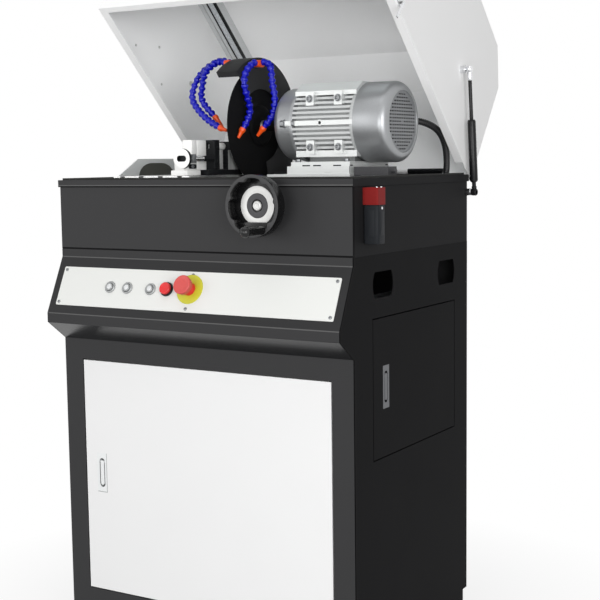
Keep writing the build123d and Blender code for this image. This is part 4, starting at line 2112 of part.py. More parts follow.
with BuildPart() as gear_boxes:
    with BuildSketch(Plane.YZ.offset(PANEL_X + PANEL_T)):
        with Locations((panel_y, gear_z + GEAR_H)):
            with GridLocations(GEAR_W + GEAR_GAP, GEAR_H, GEAR_COUNT, 1):
                Rectangle(GEAR_W, GEAR_H)
        with Locations((panel_y, gear_z - GEAR_H / 2)):
            Rectangle(2 * GEAR_W, GEAR_H)
    extrude(amount=GEAR_DEPTH)

electrical_panel = Compound(label="electrical_panel", children=[gear_plate.part, gear_boxes.part])
export_step(electrical_panel, "parts/electrical_panel.step")
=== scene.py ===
"""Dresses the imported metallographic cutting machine: finishes, small parts, studio light and camera.

Lengths are in metres in the machine's own frame: X right, Y back, Z up, with the origin on the floor.
A Profile is in millimetres: places along an axis, each with a radius.
"""

from __future__ import annotations

import json
import logging
import math
from dataclasses import dataclass
from enum import Enum
from typing import Any, Iterable, Sequence

import bmesh
import bpy
from mathutils import Matrix, Vector

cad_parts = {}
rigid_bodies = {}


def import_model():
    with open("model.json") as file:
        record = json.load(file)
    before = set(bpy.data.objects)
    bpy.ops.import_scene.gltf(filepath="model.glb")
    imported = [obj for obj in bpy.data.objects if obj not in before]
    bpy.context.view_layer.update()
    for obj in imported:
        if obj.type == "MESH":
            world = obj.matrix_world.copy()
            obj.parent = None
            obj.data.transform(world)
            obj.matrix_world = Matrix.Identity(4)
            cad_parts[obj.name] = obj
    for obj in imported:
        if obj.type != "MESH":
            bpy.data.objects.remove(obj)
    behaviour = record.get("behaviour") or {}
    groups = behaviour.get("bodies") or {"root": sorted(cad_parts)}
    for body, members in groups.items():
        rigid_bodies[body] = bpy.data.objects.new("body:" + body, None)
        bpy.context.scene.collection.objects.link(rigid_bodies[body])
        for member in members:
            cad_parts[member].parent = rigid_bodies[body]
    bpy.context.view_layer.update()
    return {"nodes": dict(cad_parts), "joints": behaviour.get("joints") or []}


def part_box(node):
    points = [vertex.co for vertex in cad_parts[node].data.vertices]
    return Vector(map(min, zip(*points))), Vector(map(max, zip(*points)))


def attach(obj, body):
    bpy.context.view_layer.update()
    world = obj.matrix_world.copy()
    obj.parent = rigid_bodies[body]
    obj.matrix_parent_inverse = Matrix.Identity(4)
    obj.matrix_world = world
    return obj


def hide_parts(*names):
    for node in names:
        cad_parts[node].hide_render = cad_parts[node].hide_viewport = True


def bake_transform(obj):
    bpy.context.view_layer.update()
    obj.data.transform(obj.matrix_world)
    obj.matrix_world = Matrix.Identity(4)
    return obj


log = logging.getLogger("cutting_machine")

Pair = tuple[float, float]
Triple = tuple[float, float, float]
Profile = tuple[Pair, ...]
Corner = tuple[float | None, float | None, float | None]
Bars = tuple[tuple[float, float, float, float], ...]

X = Vector((1, 0, 0))
Y = Vector((0, 1, 0))
Z = Vector((0, 0, 1))
BOTH = (-1, 1)
MM = 0.001
LAP = 0.001
SHARP = math.radians(32)
MERGE = 1e-6
TINY = 1e-9
OPEN: Corner = (None, None, None)

# How the nodes of a finish are set
SHOWING = ("Is Camera Ray", "Is Glossy Ray", "Is Transmission Ray")
STREAK = 0.015
CAST_DETAIL = 5.0
FINE_DETAIL = 2.5
NOISE_RANGE = (0.28, 0.72)
CELL_RANGE = (0.1, 0.7)
CLOUD_RANGE = (0.3, 0.7)
CLOUD_SCALE = 7.0
CLOUD_DETAIL = 2.0
FINE_SHARE = 0.6
CLOUD_SHARE = 0.4
RELIEF = 0.0003
COAT_ROUGHNESS = 0.12


class Value:
    """A socket of a node tree; arithmetic on it adds Math nodes."""

    def __init__(self, graph: Graph, socket: bpy.types.NodeSocket | None) -> None:
        """Wraps one output socket of a graph."""
        self.graph = graph
        self.socket = socket

    def math(self, operation: str, first: Any, second: Any, clamp: bool = False) -> Value:
        """Adds one Math node and returns its result."""
        settings = {"operation": operation, "use_clamp": clamp}
        return self.graph.node("Math", {0: first, 1: second}, settings)

    def __add__(self, other: Any) -> Value:
        """Sum."""
        return self.math("ADD", self, other)

    __radd__ = __add__

    def __sub__(self, other: Any) -> Value:
        """Difference."""
        return self.math("SUBTRACT", self, other)

    def __rsub__(self, other: Any) -> Value:
        """Difference, with the value second."""
        return self.math("SUBTRACT", other, self)

    def __mul__(self, other: Any) -> Value:
        """Product."""
        return self.math("MULTIPLY", self, other)

    __rmul__ = __mul__

    def __gt__(self, other: Any) -> Value:
        """One where the value is greater."""
        return self.math("GREATER_THAN", self, other)

    def __lt__(self, other: Any) -> Value:
        """One where the value is less."""
        return self.math("LESS_THAN", self, other)

    def stretched(self, low: float, high: float) -> Value:
        """The value with low to high spread over nought to one, and clamped."""
        return self.math("MULTIPLY", self - low, 1 / (high - low), clamp=True)


class Graph:
    """The node tree of one material or of the world."""

    def __init__(self, tree: bpy.types.NodeTree) -> None:
        """Empties the tree."""
        self.tree = tree
        tree.nodes.clear()

    def node(self, kind: str, inputs: dict[Any, Any] | None = None, settings: dict[str, Any] | None = None,
             output: int | str = 0) -> Value:
        """Adds one node.

        Args:
            kind: the node type's name in Blender, after ShaderNode.
            inputs: plain values or Values for its input sockets, by name or number.
            settings: attributes, set first.
            output: which output comes back.

        Returns:
            The chosen output, or an empty Value for a node that ends a tree.
        """
        made = self.tree.nodes.new(f"ShaderNode{kind}")
        for name, setting in (settings or {}).items():
            setattr(made, name, setting)
        for key, given in (inputs or {}).items():
            if isinstance(given, Value):
                self.tree.links.new(given.socket, made.inputs[key])
            else:
                made.inputs[key].default_value = given
        return Value(self, made.outputs[output] if len(made.outputs) else None)

    def place(self) -> Value:
        """Object coordinates, which are the machine's own frame."""
        return self.node("TexCoord", output="Object")

    def along(self, axis: str) -> Value:
        """One of the three coordinates of a place."""
        return self.node("SeparateXYZ", {"Vector": self.place()}, output=axis)

    def showing(self) -> Value:
        """One for rays that show the surface itself: seen, mirrored or through glass."""
        seen, mirrored, through = [self.node("LightPath", output=ray) for ray in SHOWING]
        return seen + mirrored + through

    def mix(self, share: Value, first: Sequence[float], second: Sequence[float]) -> Value:
        """A colour between two colours."""
        inputs = {0: share, 6: (*first, 1.0), 7: (*second, 1.0)}
        return self.node("Mix", inputs, {"data_type": "RGBA"}, output=2)

    def blended(self, share: Value, first: Value, second: Value) -> Value:
        """A shader between two shaders."""
        return self.node("MixShader", {0: share, 1: first, 2: second})


def linear(colour: Sequence[float]) -> Triple:
    """A colour of nought to 255, as a screen shows it, in linear light."""
    shares = [c / 255 for c in colour]
    return tuple(s / 12.92 if s <= 0.04045 else ((s + 0.055) / 1.055) ** 2.4 for s in shares)


class Grain(Enum):
    """How the surface of a finish varies."""

    PEEL = "fine orange peel of powder coat"
    BRUSHED = "streaks along one axis"
    CAST = "coarse skin of a casting"
    GRIT = "bonded abrasive grains"
    MOULDED = "smooth moulded skin"


@dataclass(frozen=True)
class Finish:
    """One surface finish.

    Attributes:
        name: the material's name.
        colour: as a screen shows it, nought to 255.
        roughness: the middle of its range.
        metallic: nought for paint, one for bare metal.
        grain: how the surface varies.
        scale: grains to the metre.
        tint: how far the colour varies, as a share.
        spread: how far the roughness varies.
        bump: strength of the relief.
        along: the axis that brushed streaks follow.
        specular: specular level of the top layer.
        coat: weight of a clear coat.
        transmission: share of light that passes through.
    """

    name: str
    colour: Triple
    roughness: float
    metallic: float = 0.0
    grain: Grain = Grain.PEEL
    scale: float = 700.0
    tint: float = 0.06
    spread: float = 0.08
    bump: float = 0.06
    along: int = 0
    specular: float = 0.5
    coat: float = 0.0
    transmission: float = 0.0

    def pattern(self, graph: Graph) -> Value:
        """The fine variation of the surface.

        Args:
            graph: the material's graph.

        Returns:
            A value from nought to one.
        """
        where = graph.place()
        if self.grain is Grain.BRUSHED:
            stretch = tuple(STREAK if i == self.along else 1.0 for i in range(3))
            where = graph.node("Mapping", {"Vector": where, "Scale": stretch})
        if self.grain is Grain.GRIT:
            cells = graph.node("TexVoronoi", {"Vector": where, "Scale": self.scale})
            return cells.stretched(*CELL_RANGE)
        detail = CAST_DETAIL if self.grain is Grain.CAST else FINE_DETAIL
        noise = graph.node("TexNoise", {"Vector": where, "Scale": self.scale, "Detail": detail})
        return noise.stretched(*NOISE_RANGE)

    def shader(self, graph: Graph) -> Value:
        """Builds the finish in a graph.

        Args:
            graph: the material's graph.

        Returns:
            The shader.
        """
        fine = self.pattern(graph)
        clouds = {"Vector": graph.place(), "Scale": CLOUD_SCALE, "Detail": CLOUD_DETAIL}
        broad = graph.node("TexNoise", clouds)
        shade = fine * FINE_SHARE + broad.stretched(*CLOUD_RANGE) * CLOUD_SHARE
        base = linear(self.colour)
        dark = [c * (1 - self.tint) for c in base]
        light = [min(1.0, c * (1 + self.tint)) for c in base]
        relief = {"Strength": self.bump, "Distance": RELIEF, "Height": fine}
        return graph.node("BsdfPrincipled", {
            "Base Color": graph.mix(shade, dark, light),
            "Roughness": shade * self.spread + (self.roughness - self.spread / 2),
            "Metallic": self.metallic,
            "Normal": graph.node("Bump", relief),
            "Specular IOR Level": self.specular,
            "Coat Weight": self.coat,
            "Coat Roughness": COAT_ROUGHNESS,
            "Transmission Weight": self.transmission,
        })


def powder(name: str, colour: Triple, roughness: float, specular: float) -> Finish:
    """A dark powder coat."""
    return Finish(name, colour, roughness, bump=0.05, specular=specular)


def enamel(name: str, colour: Triple, **other: float) -> Finish:
    """A pale enamel or powder coat."""
    return Finish(name, colour, **{"roughness": 0.42, "tint": 0.012, "bump": 0.03, **other})


def brushed(name: str, colour: Triple, roughness: float, metallic: float, scale: float,
            **other: float) -> Finish:
    """A ground, drawn or milled metal."""
    return Finish(name, colour, roughness, metallic, Grain.BRUSHED, scale, **other)


def cast(name: str, colour: Triple, roughness: float, metallic: float = 0.0, **other: float) -> Finish:
    """The skin of a casting, of rubber or of a plated part."""
    return Finish(name, colour, roughness, metallic, Grain.CAST, **{"scale": 300, **other})


def moulded(name: str, colour: Triple, roughness: float, metallic: float = 0.0, **other: float) -> Finish:
    """A smooth plastic, gloss paint or polished metal."""
    return Finish(name, colour, roughness, metallic, Grain.MOULDED, **{"scale": 260, "bump": 0.02, **other})


def motor_paint(name: str, colour: Triple, roughness: float, metallic: float) -> Finish:
    """A silver paint over the motor's casting."""
    return cast(name, colour, roughness, metallic, scale=420, tint=0.07, spread=0.1)


@dataclass(frozen=True)
class Zone:
    """Boxes in the machine's frame where another finish shows; None leaves a side open."""

    finish: Finish
    boxes: tuple[tuple[Corner, Corner], ...]

    @classmethod
    def between(cls, finish: Finish, low: Corner = OPEN, high: Corner = OPEN) -> Zone:
        """A zone of one box."""
        return cls(finish, ((low, high),))

    def mask(self, graph: Graph) -> Value:
        """Where the zone's finish shows.

        Args:
            graph: the material's graph.

        Returns:
            One inside the boxes and nought outside.
        """
        total: Any = 0.0
        for low, high in self.boxes:
            inside: Any = 1.0
            for axis, least, most in zip("XYZ", low, high):
                if least is not None:
                    inside = (graph.along(axis) > least) * inside
                if most is not None:
                    inside = (graph.along(axis) < most) * inside
            total = inside + total
        return total


# Sheet metal
CHARCOAL = powder("charcoal_powder_coat", (45, 45, 46), 0.55, 0.2)
CHARCOAL_TUB = powder("charcoal_tub_coat", (47, 47, 48), 0.55, 0.2)
# Painted shade: the console's slope, the same charcoal sheet painted darker for the light that falls on it.
CHARCOAL_SLOPE_SHADE = powder("charcoal_slope_coat", (38, 38, 39), 0.55, 0.2)
# Painted highlight: a paler band of the charcoal along folds and hems, where a bend catches the light.
FOLD_HIGHLIGHT = powder("rim_hem", (84, 84, 84), 0.5, 0.2)
# Painted shade: the charcoal of the front, painted darker for the right side, base frame and side door, which
# stand out of the light.
CHARCOAL_SHADED_SIDE = powder("charcoal_side_coat", (22, 22, 23), 0.6, 0.03)
# Painted shade: the tub's charcoal, painted darker for the right walls of the tub and rim, which stand out of
# the light.
TUB_SHADED_SIDE = powder("charcoal_tub_side", (32, 32, 33), 0.6, 0.04)
# Painted shade: the console's underside, the same charcoal sheet painted much darker as it faces down into
# shade, and glossier so that it mirrors the floor.
UNDERSIDE_SHADE = Finish("charcoal_semi_gloss", (15, 16, 18), 0.22, bump=0.02, specular=0.62)
WHITE = enamel("white_powder_coat", (231, 231, 231))
PLATE_WHITE = enamel("plate_enamel", (222, 223, 220), roughness=0.5, bump=0.02, specular=0.3)
HOOD_WHITE = enamel("hood_enamel", (250, 250, 250), tint=0.01, specular=0.35)

# Bare, plated and anodised metal
BRIGHT = brushed("ground_steel", (212, 212, 210), 0.3, 1.0, 900, tint=0.12, spread=0.16, bump=0.05)
BRIGHT_Y = brushed("drawn_steel", (206, 206, 205), 0.26, 1.0, 900, tint=0.12, spread=0.14, bump=0.05, along=1)
PLATE_STEEL = brushed("hardened_plate", (178, 179, 178), 0.4, 0.35, 700, tint=0.1, spread=0.12, bump=0.03)
SATIN = brushed("satin_chrome", (196, 198, 200), 0.32, 1.0, 800, tint=0.1, spread=0.12, bump=0.03, along=2)
MILLED = brushed("milled_aluminium", (212, 214, 213), 0.36, 0.4, 500, tint=0.07, spread=0.2, bump=0.08)
ANODISED = brushed("satin_anodised", (208, 210, 211), 0.45, 0.2, 700, spread=0.1, bump=0.03, along=1)
BRASS = brushed("bronze_nut", (176, 140, 84), 0.36, 1.0, 600, tint=0.12, spread=0.14, bump=0.04)
NICKEL = cast("nickel_plate", (244, 244, 242), 0.5, 0.1, scale=120, tint=0.04, spread=0.14, bump=0.03,
              specular=0.3)
HUB_STEEL = cast("turned_hub", (214, 214, 212), 0.46, 0.2, scale=160, spread=0.12, bump=0.03, specular=0.3)
BOLT_GREY = cast("zinc_bolt", (132, 134, 136), 0.36, 0.7, tint=0.1, spread=0.14, bump=0.04)
# Blackened steel; also painted shade on the clamp hub's rim and oval hole and on the floor of the bolt slot.
JAW_BLACK_AND_SHADE = cast("blackened_steel", (24, 25, 27), 0.45, 0.2, scale=400, tint=0.2, spread=0.12, bump=0.08,
                 specular=0.15)
DISC_GREY = cast("dark_washer", (72, 72, 74), 0.5, 0.2, scale=350, tint=0.16, specular=0.25)
PORT_GREY = cast("port_plate", (232, 235, 234), 0.5, 0.1, tint=0.04, bump=0.03, specular=0.3)
CHROME = moulded("polished_chrome", (225, 226, 228), 0.13, 1.0, scale=160, tint=0.04, bump=0.01)
TRAY = moulded("plated_tray", (228, 230, 230), 0.45, 0.1, scale=300, tint=0.03)
# Painted shade: the plated tray, painted dark for the side door, which stands out of the light.
SIDE_TRAY_SHADE = moulded("dull_tray", (112, 113, 116), 0.5, 0.1, scale=300, tint=0.05, specular=0.2)
BUTTON_SILVER = moulded("button_silver", (158, 160, 160), 0.4, 0.35, scale=200, spread=0.1)
GALVANISED = Finish("galvanised_plate", (176, 180, 182), 0.42, 0.85, Grain.GRIT, 60, 0.12, 0.2, 0.04)

# Paint on castings
MOTOR = motor_paint("motor_silver_paint", (158, 160, 162), 0.36, 0.6)
MOTOR_FRAME = motor_paint("motor_frame_paint", (192, 194, 194), 0.45, 0.15)
MOTOR_FACE = motor_paint("motor_end_paint", (128, 130, 132), 0.42, 0.4)
WEB_GREY = cast("cast_web", (120, 122, 122), 0.5, 0.3, tint=0.1, spread=0.1, bump=0.1)
BLACK = cast("satin_black_paint", (48, 48, 49), 0.55, scale=500, specular=0.12)
# Near-black: the spindle's flanges and nut; also painted shadow in the cabinet's corner gap, in the tub's
# joint and seam, under the rim's fold and on the spindle's shaft.
FLANGE_BLACK_AND_SHADOW = cast("flange_black", (14, 14, 15), 0.7, scale=400, specular=0.08)
RIM_GREY = cast("worn_rim_face", (60, 60, 61), 0.46, scale=260, tint=0.22, bump=0.05, specular=0.25)
PUMP = cast("pump_blue_grey", (84, 96, 110), 0.42, bump=0.08)
# Gloss black paint of bezels, trough, struts and plugs; also painted shade in the side tray's recess and the
# motor foot's slots.
GLOSS_BLACK_AND_SHADE = moulded("gloss_black_paint", (20, 20, 22), 0.26, scale=300, specular=0.22)

# Plastic, rubber, glass and abrasive
GRIT = Finish("resin_bonded_grit", (16, 16, 17), 0.85, 0, Grain.GRIT, 1400, tint=0.5, bump=0.4, specular=0.1)
LED = Finish("led_strip", (196, 200, 204), 0.35, 0, Grain.GRIT, 260, tint=0.35, bump=0.25)
RUBBER = cast("black_rubber", (34, 34, 33), 0.72, scale=500, bump=0.1, specular=0.3)
CURTAIN = cast("rubber_curtain", (92, 93, 87), 0.75, bump=0.08, specular=0.3)
TANK = cast("tank_polymer", (222, 222, 214), 0.5, scale=200, bump=0.05)
PHENOLIC = moulded("black_phenolic", (13, 13, 14), 0.26, scale=200, specular=0.3, coat=0.1)
HOSE = moulded("blue_hose", (11, 17, 172), 0.2, tint=0.1, specular=0.35)
ORANGE = moulded("orange_nozzle", (240, 84, 18), 0.32, tint=0.08)
RED = moulded("signal_red", (214, 40, 42), 0.34, tint=0.05)
SWITCH_RED = moulded("switch_red", (127, 34, 33), 0.42, bump=0.03, specular=0.06)
STOP_RED = moulded("stop_red", (202, 76, 72), 0.4, tint=0.05)
YELLOW = moulded("signal_yellow", (196, 194, 50), 0.5, tint=0.04)
MILK = moulded("milky_lens", (216, 218, 219), 0.4, scale=200, tint=0.02, bump=0.01, coat=0.3)
SWITCH_BLACK = moulded("switch_black", (34, 36, 39), 0.45, scale=300, bump=0.03, specular=0.08)
CONDUIT = moulded("conduit_sleeve", (27, 27, 28), 0.42, scale=300, bump=0.04)
# Grey pipe, used for the tub's drain; also painted shade in the front door's tray.
PVC_AND_SHADE = moulded("grey_pipe", (150, 152, 152), 0.45, scale=300)
GEAR_GREY = moulded("switchgear_grey", (206, 207, 205), 0.5, scale=300)
PANE = moulded("clear_pane", (240, 246, 246), 0.04, scale=60, tint=0.01, bump=0.0, transmission=1.0)

made_materials: dict[tuple[Finish, tuple[Zone, ...]], bpy.types.Material] = {}


def material(finish: Finish, zones: Sequence[Zone] = ()) -> bpy.types.Material:
    """The material of a finish, with other finishes in its zones.

    Args:
        finish: what shows outside every zone.
        zones: where other finishes show.

    Returns:
        The material, made once for each finish and its zones.
    """
    key = (finish, tuple(zones))
    if key not in made_materials:
        made = bpy.data.materials.new("_".join([finish.name, *(zone.finish.name for zone in zones)]))
        made.use_nodes = True
        graph = Graph(made.node_tree)
        shader = finish.shader(graph)
        for zone in zones:
            shader = graph.blended(zone.mask(graph), shader, zone.finish.shader(graph))
        graph.node("OutputMaterial", {0: shader})
        made_materials[key] = made
    return made_materials[key]


def mm(profile: Profile) -> list[Pair]:
    """A profile in metres."""
    return [(along * MM, radius * MM) for along, radius in profile]


def facing(origin: Vector, axis: Vector) -> Matrix:
    """A place at origin whose Z runs along axis."""
    return Matrix.Translation(origin) @ axis.to_track_quat("Z", "Y").to_matrix().to_4x4()


def ring(count: int, radius: float, wobble: float = 0.0, lobes: int = 0, phase: float = 0.0) -> list[Pair]:
    """Points of a circle, drawn in by rounded lobes where there are any.

    Args:
        count: how many points.
        radius: of the circle.
        wobble: how far each lobe reaches inwards.
        lobes: how many lobes.
        phase: the angle of the first lobe.

    Returns:
        The points, anticlockwise.
    """
    points = []
    for i in range(count):
        turn = math.tau * i / count
        lobe = max(0.0, math.cos(lobes * (turn - phase))) ** 3 if lobes else 0.0
        points.append(((radius - wobble * lobe) * math.cos(turn), (radius - wobble * lobe) * math.sin(turn)))
    return points


def oblong(count: int, half_length: float, half_width: float) -> list[Pair]:
    """Points of a slot with round ends, its length upwards.

    Args:
        count: how many points.
        half_length: from its middle to an end.
        half_width: the radius of its ends.

    Returns:
        The points, anticlockwise from the right.
    """
    straight = half_length - half_width
    points = []
    for x, y in ring(count, half_width):
        points.append((x, y + math.copysign(straight, y) if abs(y) > TINY else y))
    return points


def box_ring(count: int, half_x: float, half_y: float) -> list[Pair]:
    """Points of a rectangle's edge, met by rays at even angles from its middle.

    Args:
        count: how many points.
        half_x: half its width.
        half_y: half its height.

    Returns:
        The points, anticlockwise, with one at each corner.
    """
    points = []
    for x, y in ring(count, 1.0):
        reach = min(half_x / max(abs(x), TINY), half_y / max(abs(y), TINY))
        points.append((x * reach, y * reach))
    for corner in ((half_x, half_y), (-half_x, half_y), (-half_x, -half_y), (half_x, -half_y)):
        points[min(range(count), key=lambda i: math.dist(points[i], corner))] = corner
    return points


class Shape:
    """A mesh in the making, from simple operations that each add one part."""

    SCREW: Profile = ((0, 0), (0, 1), (0.3, 0.96), (0.5, 0.62), (0.5, 0.36), (0.22, 0.3), (0.22, 0))
    BOLT: Profile = ((0, 0), (0, 1.35), (0.16, 1.35), (0.16, 1), (1, 1), (1, 0.55), (0.45, 0.5), (0.45, 0))

    def __init__(self) -> None:
        """Starts with nothing."""
        self.bm = bmesh.new()

    def add(self, part: bmesh.types.BMesh, soften: float) -> Shape:
        """Merges a part's doubles, turns it outwards, rounds its sharp edges and takes it in.

        Args:
            part: the part, which is used up.
            soften: width of the rounding, or nought.

        Returns:
            The shape itself.
        """
        bmesh.ops.remove_doubles(part, verts=part.verts, dist=MERGE)
        bmesh.ops.recalc_face_normals(part, faces=part.faces)
        if soften > 0:
            edges = [e for e in part.edges if e.is_manifold and e.calc_face_angle(0.0) > SHARP]
            bmesh.ops.bevel(part, geom=edges, offset=soften, affect="EDGES", segments=2, profile=0.5,
                            material=-1, clamp_overlap=True)
        mesh = bpy.data.meshes.new("part")
        part.to_mesh(mesh)
        part.free()
        self.bm.from_mesh(mesh)
        bpy.data.meshes.remove(mesh)
        return self

    def slab(self, low: Sequence[float], high: Sequence[float], soften: float, corner: float = 0.0,
             axis: Vector = Z) -> Shape:
        """A block between two corners.

        Args:
            low: its lowest corner.
            high: its highest corner.
            soften: width of the rounding of every edge.
            corner: radius of the edges along one axis, or nought.
            axis: that axis.

        Returns:
            The shape itself.
        """
        low, high = Vector(low), Vector(high)
        part = bmesh.new()
        bmesh.ops.create_cube(part, size=1.0, matrix=Matrix.LocRotScale((low + high) / 2, None, high - low))
        if corner > 0:
            edges = [e for e in part.edges if abs((e.verts[0].co - e.verts[1].co).dot(axis)) > MERGE]
            bmesh.ops.bevel(part, geom=edges, offset=corner, affect="EDGES", segments=6, profile=0.5,
                            material=-1)
        return self.add(part, soften)

    def turn(self, profile: Sequence[Pair], origin: Vector, axis: Vector, soften: float = 0.0004,
             steps: int = 48, angle: float = math.tau, side: Vector | None = None) -> Shape:
        """Spins a profile about an axis.

        Args:
            profile: pairs of a place along the axis and a radius; it closes where its ends are the same.
            origin: a point of the axis.
            axis: its direction.
            soften: width of the rounding of its edges.
            steps: of the spin.
            angle: of the spin.
            side: where a part turn starts.

        Returns:
            The shape itself.
        """
        part = bmesh.new()
        out = side or axis.orthogonal().normalized()
        verts = [part.verts.new(origin + axis * along + out * radius) for along, radius in profile]
        edges = [part.edges.new(pair) for pair in zip(verts, verts[1:])]
        full = math.isclose(abs(angle), math.tau)
        bmesh.ops.spin(part, geom=[*verts, *edges], cent=origin, axis=axis, angle=angle, steps=steps,
                       use_merge=full)
        bmesh.ops.remove_doubles(part, verts=part.verts, dist=MERGE)
        if not full:
            bmesh.ops.holes_fill(part, edges=part.edges)
        return self.add(part, soften)

    def rod(self, origin: Vector, axis: Vector, radius: float, end: float, start: float = 0.0,
            soften: float = 0.0004) -> Shape:
        """A plain round bar from start to end along an axis."""
        return self.turn([(start, 0), (start, radius), (end, radius), (end, 0)], origin, axis, soften)

    def tube(self, origin: Vector, axis: Vector, radii: Pair, span: Pair, **turning: Any) -> Shape:
        """A bored round bar.

        Args:
            origin: where the span is counted from.
            axis: the direction of the bar.
            radii: of the bore and of the outside.
            span: start and end along the axis.
            turning: what else turn() takes.

        Returns:
            The shape itself.
        """
        (bore, radius), (start, end) = radii, span
        profile = [(start, bore), (start, radius), (end, radius), (end, bore), (start, bore)]
        return self.turn(profile, origin, axis, **turning)

    def prism(self, outline: Sequence[Pair], origin: Vector, right: Vector, up: Vector, depth: float,
              soften: float, hole: Sequence[Pair] = ()) -> Shape:
        """Draws an outline out along right times up.

        Args:
            outline: its points, along right and up.
            origin: where the outline's own origin is.
            right: its first axis.
            up: its second axis.
            depth: how far it is drawn out.
            soften: width of the rounding of its edges.
            hole: the points of a hole, as many as the outline has.

        Returns:
            The shape itself.
        """
        part = bmesh.new()
        loops = [[part.verts.new(origin + right * x + up * y) for x, y in loop] for loop in (outline, hole)]
        if hole:
            edges = [part.edges.new(pair) for loop in loops for pair in zip(loop, loop[1:] + loop[:1])]
            faces = bmesh.ops.bridge_loops(part, edges=edges)["faces"]
        else:
            faces = [part.faces.new(loops[0])]
        grown = bmesh.ops.extrude_face_region(part, geom=faces, use_keep_orig=True)
        moved = [v for v in grown["geom"] if isinstance(v, bmesh.types.BMVert)]
        bmesh.ops.translate(part, verts=moved, vec=right.cross(up) * depth)
        return self.add(part, soften)

    def hexagon(self, origin: Vector, axis: Vector, radius: float, height: float,
                soften: float = 0.0005) -> Shape:
        """A hexagonal head or nut.

        Args:
            origin: the middle of the face that it stands on.
            axis: out of that face.
            radius: to its corners.
            height: along the axis.
            soften: bevel of its edges.

        Returns:
            The shape itself.
        """
        part = bmesh.new()
        bmesh.ops.create_cone(part, cap_ends=True, segments=6, radius1=radius, radius2=radius, depth=height,
                              matrix=facing(origin + axis * height / 2, axis))
        return self.add(part, soften)

    def ball(self, middle: Vector, radius: float) -> Shape:
        """A sphere.

        Args:
            middle: its centre.
            radius: of the sphere.

        Returns:
            The shape itself.
        """
        part = bmesh.new()
        place = Matrix.Translation(middle)
        bmesh.ops.create_uvsphere(part, u_segments=32, v_segments=16, radius=radius, matrix=place)
        return self.add(part, soften=0)

    def screw(self, origin: Vector, axis: Vector, radius: float) -> Shape:
        """A pan-head screw with a driver recess."""
        head = [(along * radius, share * radius) for along, share in self.SCREW]
        return self.turn(head, origin, axis, soften=0, steps=20)

    def socket_bolt(self, origin: Vector, axis: Vector, radius: float) -> Shape:
        """A socket-head bolt on a thin washer."""
        head = [(along * radius, share * radius) for along, share in self.BOLT]
        return self.turn(head, origin, axis, soften=0.0002, steps=24)

    def stamp(self, other: Shape, places: Iterable[Matrix]) -> Shape:
        """Adds copies of another shape.

        Args:
            other: the shape.
            places: where each copy goes.

        Returns:
            The shape itself.
        """
        mesh = bpy.data.meshes.new("stamp")
        other.bm.to_mesh(mesh)
        for place in places:
            had = len(self.bm.verts)
            self.bm.from_mesh(mesh)
            self.bm.verts.ensure_lookup_table()
            bmesh.ops.transform(self.bm, matrix=place, verts=self.bm.verts[had:])
        bpy.data.meshes.remove(mesh)
        return self

    def done(self, name: str, body: str, finish: Finish, slot: str, zones: Sequence[Zone] = (),
             replaces: str | None = None) -> bpy.types.Object:
        """Makes the object, gives it its finish and lets it ride on a body.

        Args:
            name: of the piece.
            body: the body it rides on.
            finish: its finish.
            slot: the record's material slot; not used.
            zones: where other finishes show.
            replaces: the CAD node that it stands for, if any.

        Returns:
            The object.
        """
        for face in self.bm.faces:
            face.smooth = True
        for edge in self.bm.edges:
            edge.smooth = edge.calc_face_angle(0.0) < SHARP
        mesh = bpy.data.meshes.new(name)
        self.bm.to_mesh(mesh)
        self.bm.free()
        piece = bpy.data.objects.new(name, mesh)
        bpy.context.scene.collection.objects.link(piece)
        mesh.materials.append(material(finish, zones))
        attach(piece, body)
        if replaces:
            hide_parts(replaces)
        log.info("%s: %d faces on %s", name, len(mesh.polygons), body)
        return piece


@dataclass(frozen=True)
class Span:
    """The box of a CAD node at rest."""

    low: Vector
    high: Vector

    @classmethod
    def of(cls, node: str) -> Span:
        """Reads the box of one node."""
        return cls(*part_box(node))

    @property
    def mid(self) -> Vector:
        """The middle of the box."""
        return (self.low + self.high) / 2

    @property
    def size(self) -> Vector:
        """The lengths of its sides."""
        return self.high - self.low


@dataclass
class Machine:
    """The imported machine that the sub-assemblies dress."""

    nodes: dict[str, bpy.types.Object]
    joints: dict[str, dict[str, Any]]

    def dress(self, node: str, finish: Finish, zones: Sequence[Zone] = (), edge: float = 0.0007) -> None:
        """Gives a CAD node its finish and rounds its edges with modifiers.

        Args:
            node: its name.
            finish: its finish.
            zones: where other finishes show.
            edge: width of the rounding.
        """
        shown = self.nodes[node]
        for held in shown.material_slots:
            held.material = material(finish, zones)
        weld = shown.modifiers.new("weld", "WELD")
        weld.merge_threshold = MERGE
        bevel = shown.modifiers.new("edges", "BEVEL")
        bevel.width = edge
        bevel.segments = 2
        bevel.limit_method = "ANGLE"
        bevel.angle_limit = SHARP
        bevel.use_clamp_overlap = True
        log.info("%s: dressed in %s", node, finish.name)

    def point(self, joint: str) -> Vector:
        """Where a joint is."""
        return Vector(self.joints[joint]["pos_m"])

    def axis(self, joint: str) -> Vector:
        """Which way a joint runs."""
        return Vector(self.joints[joint]["axis"]).normalized()


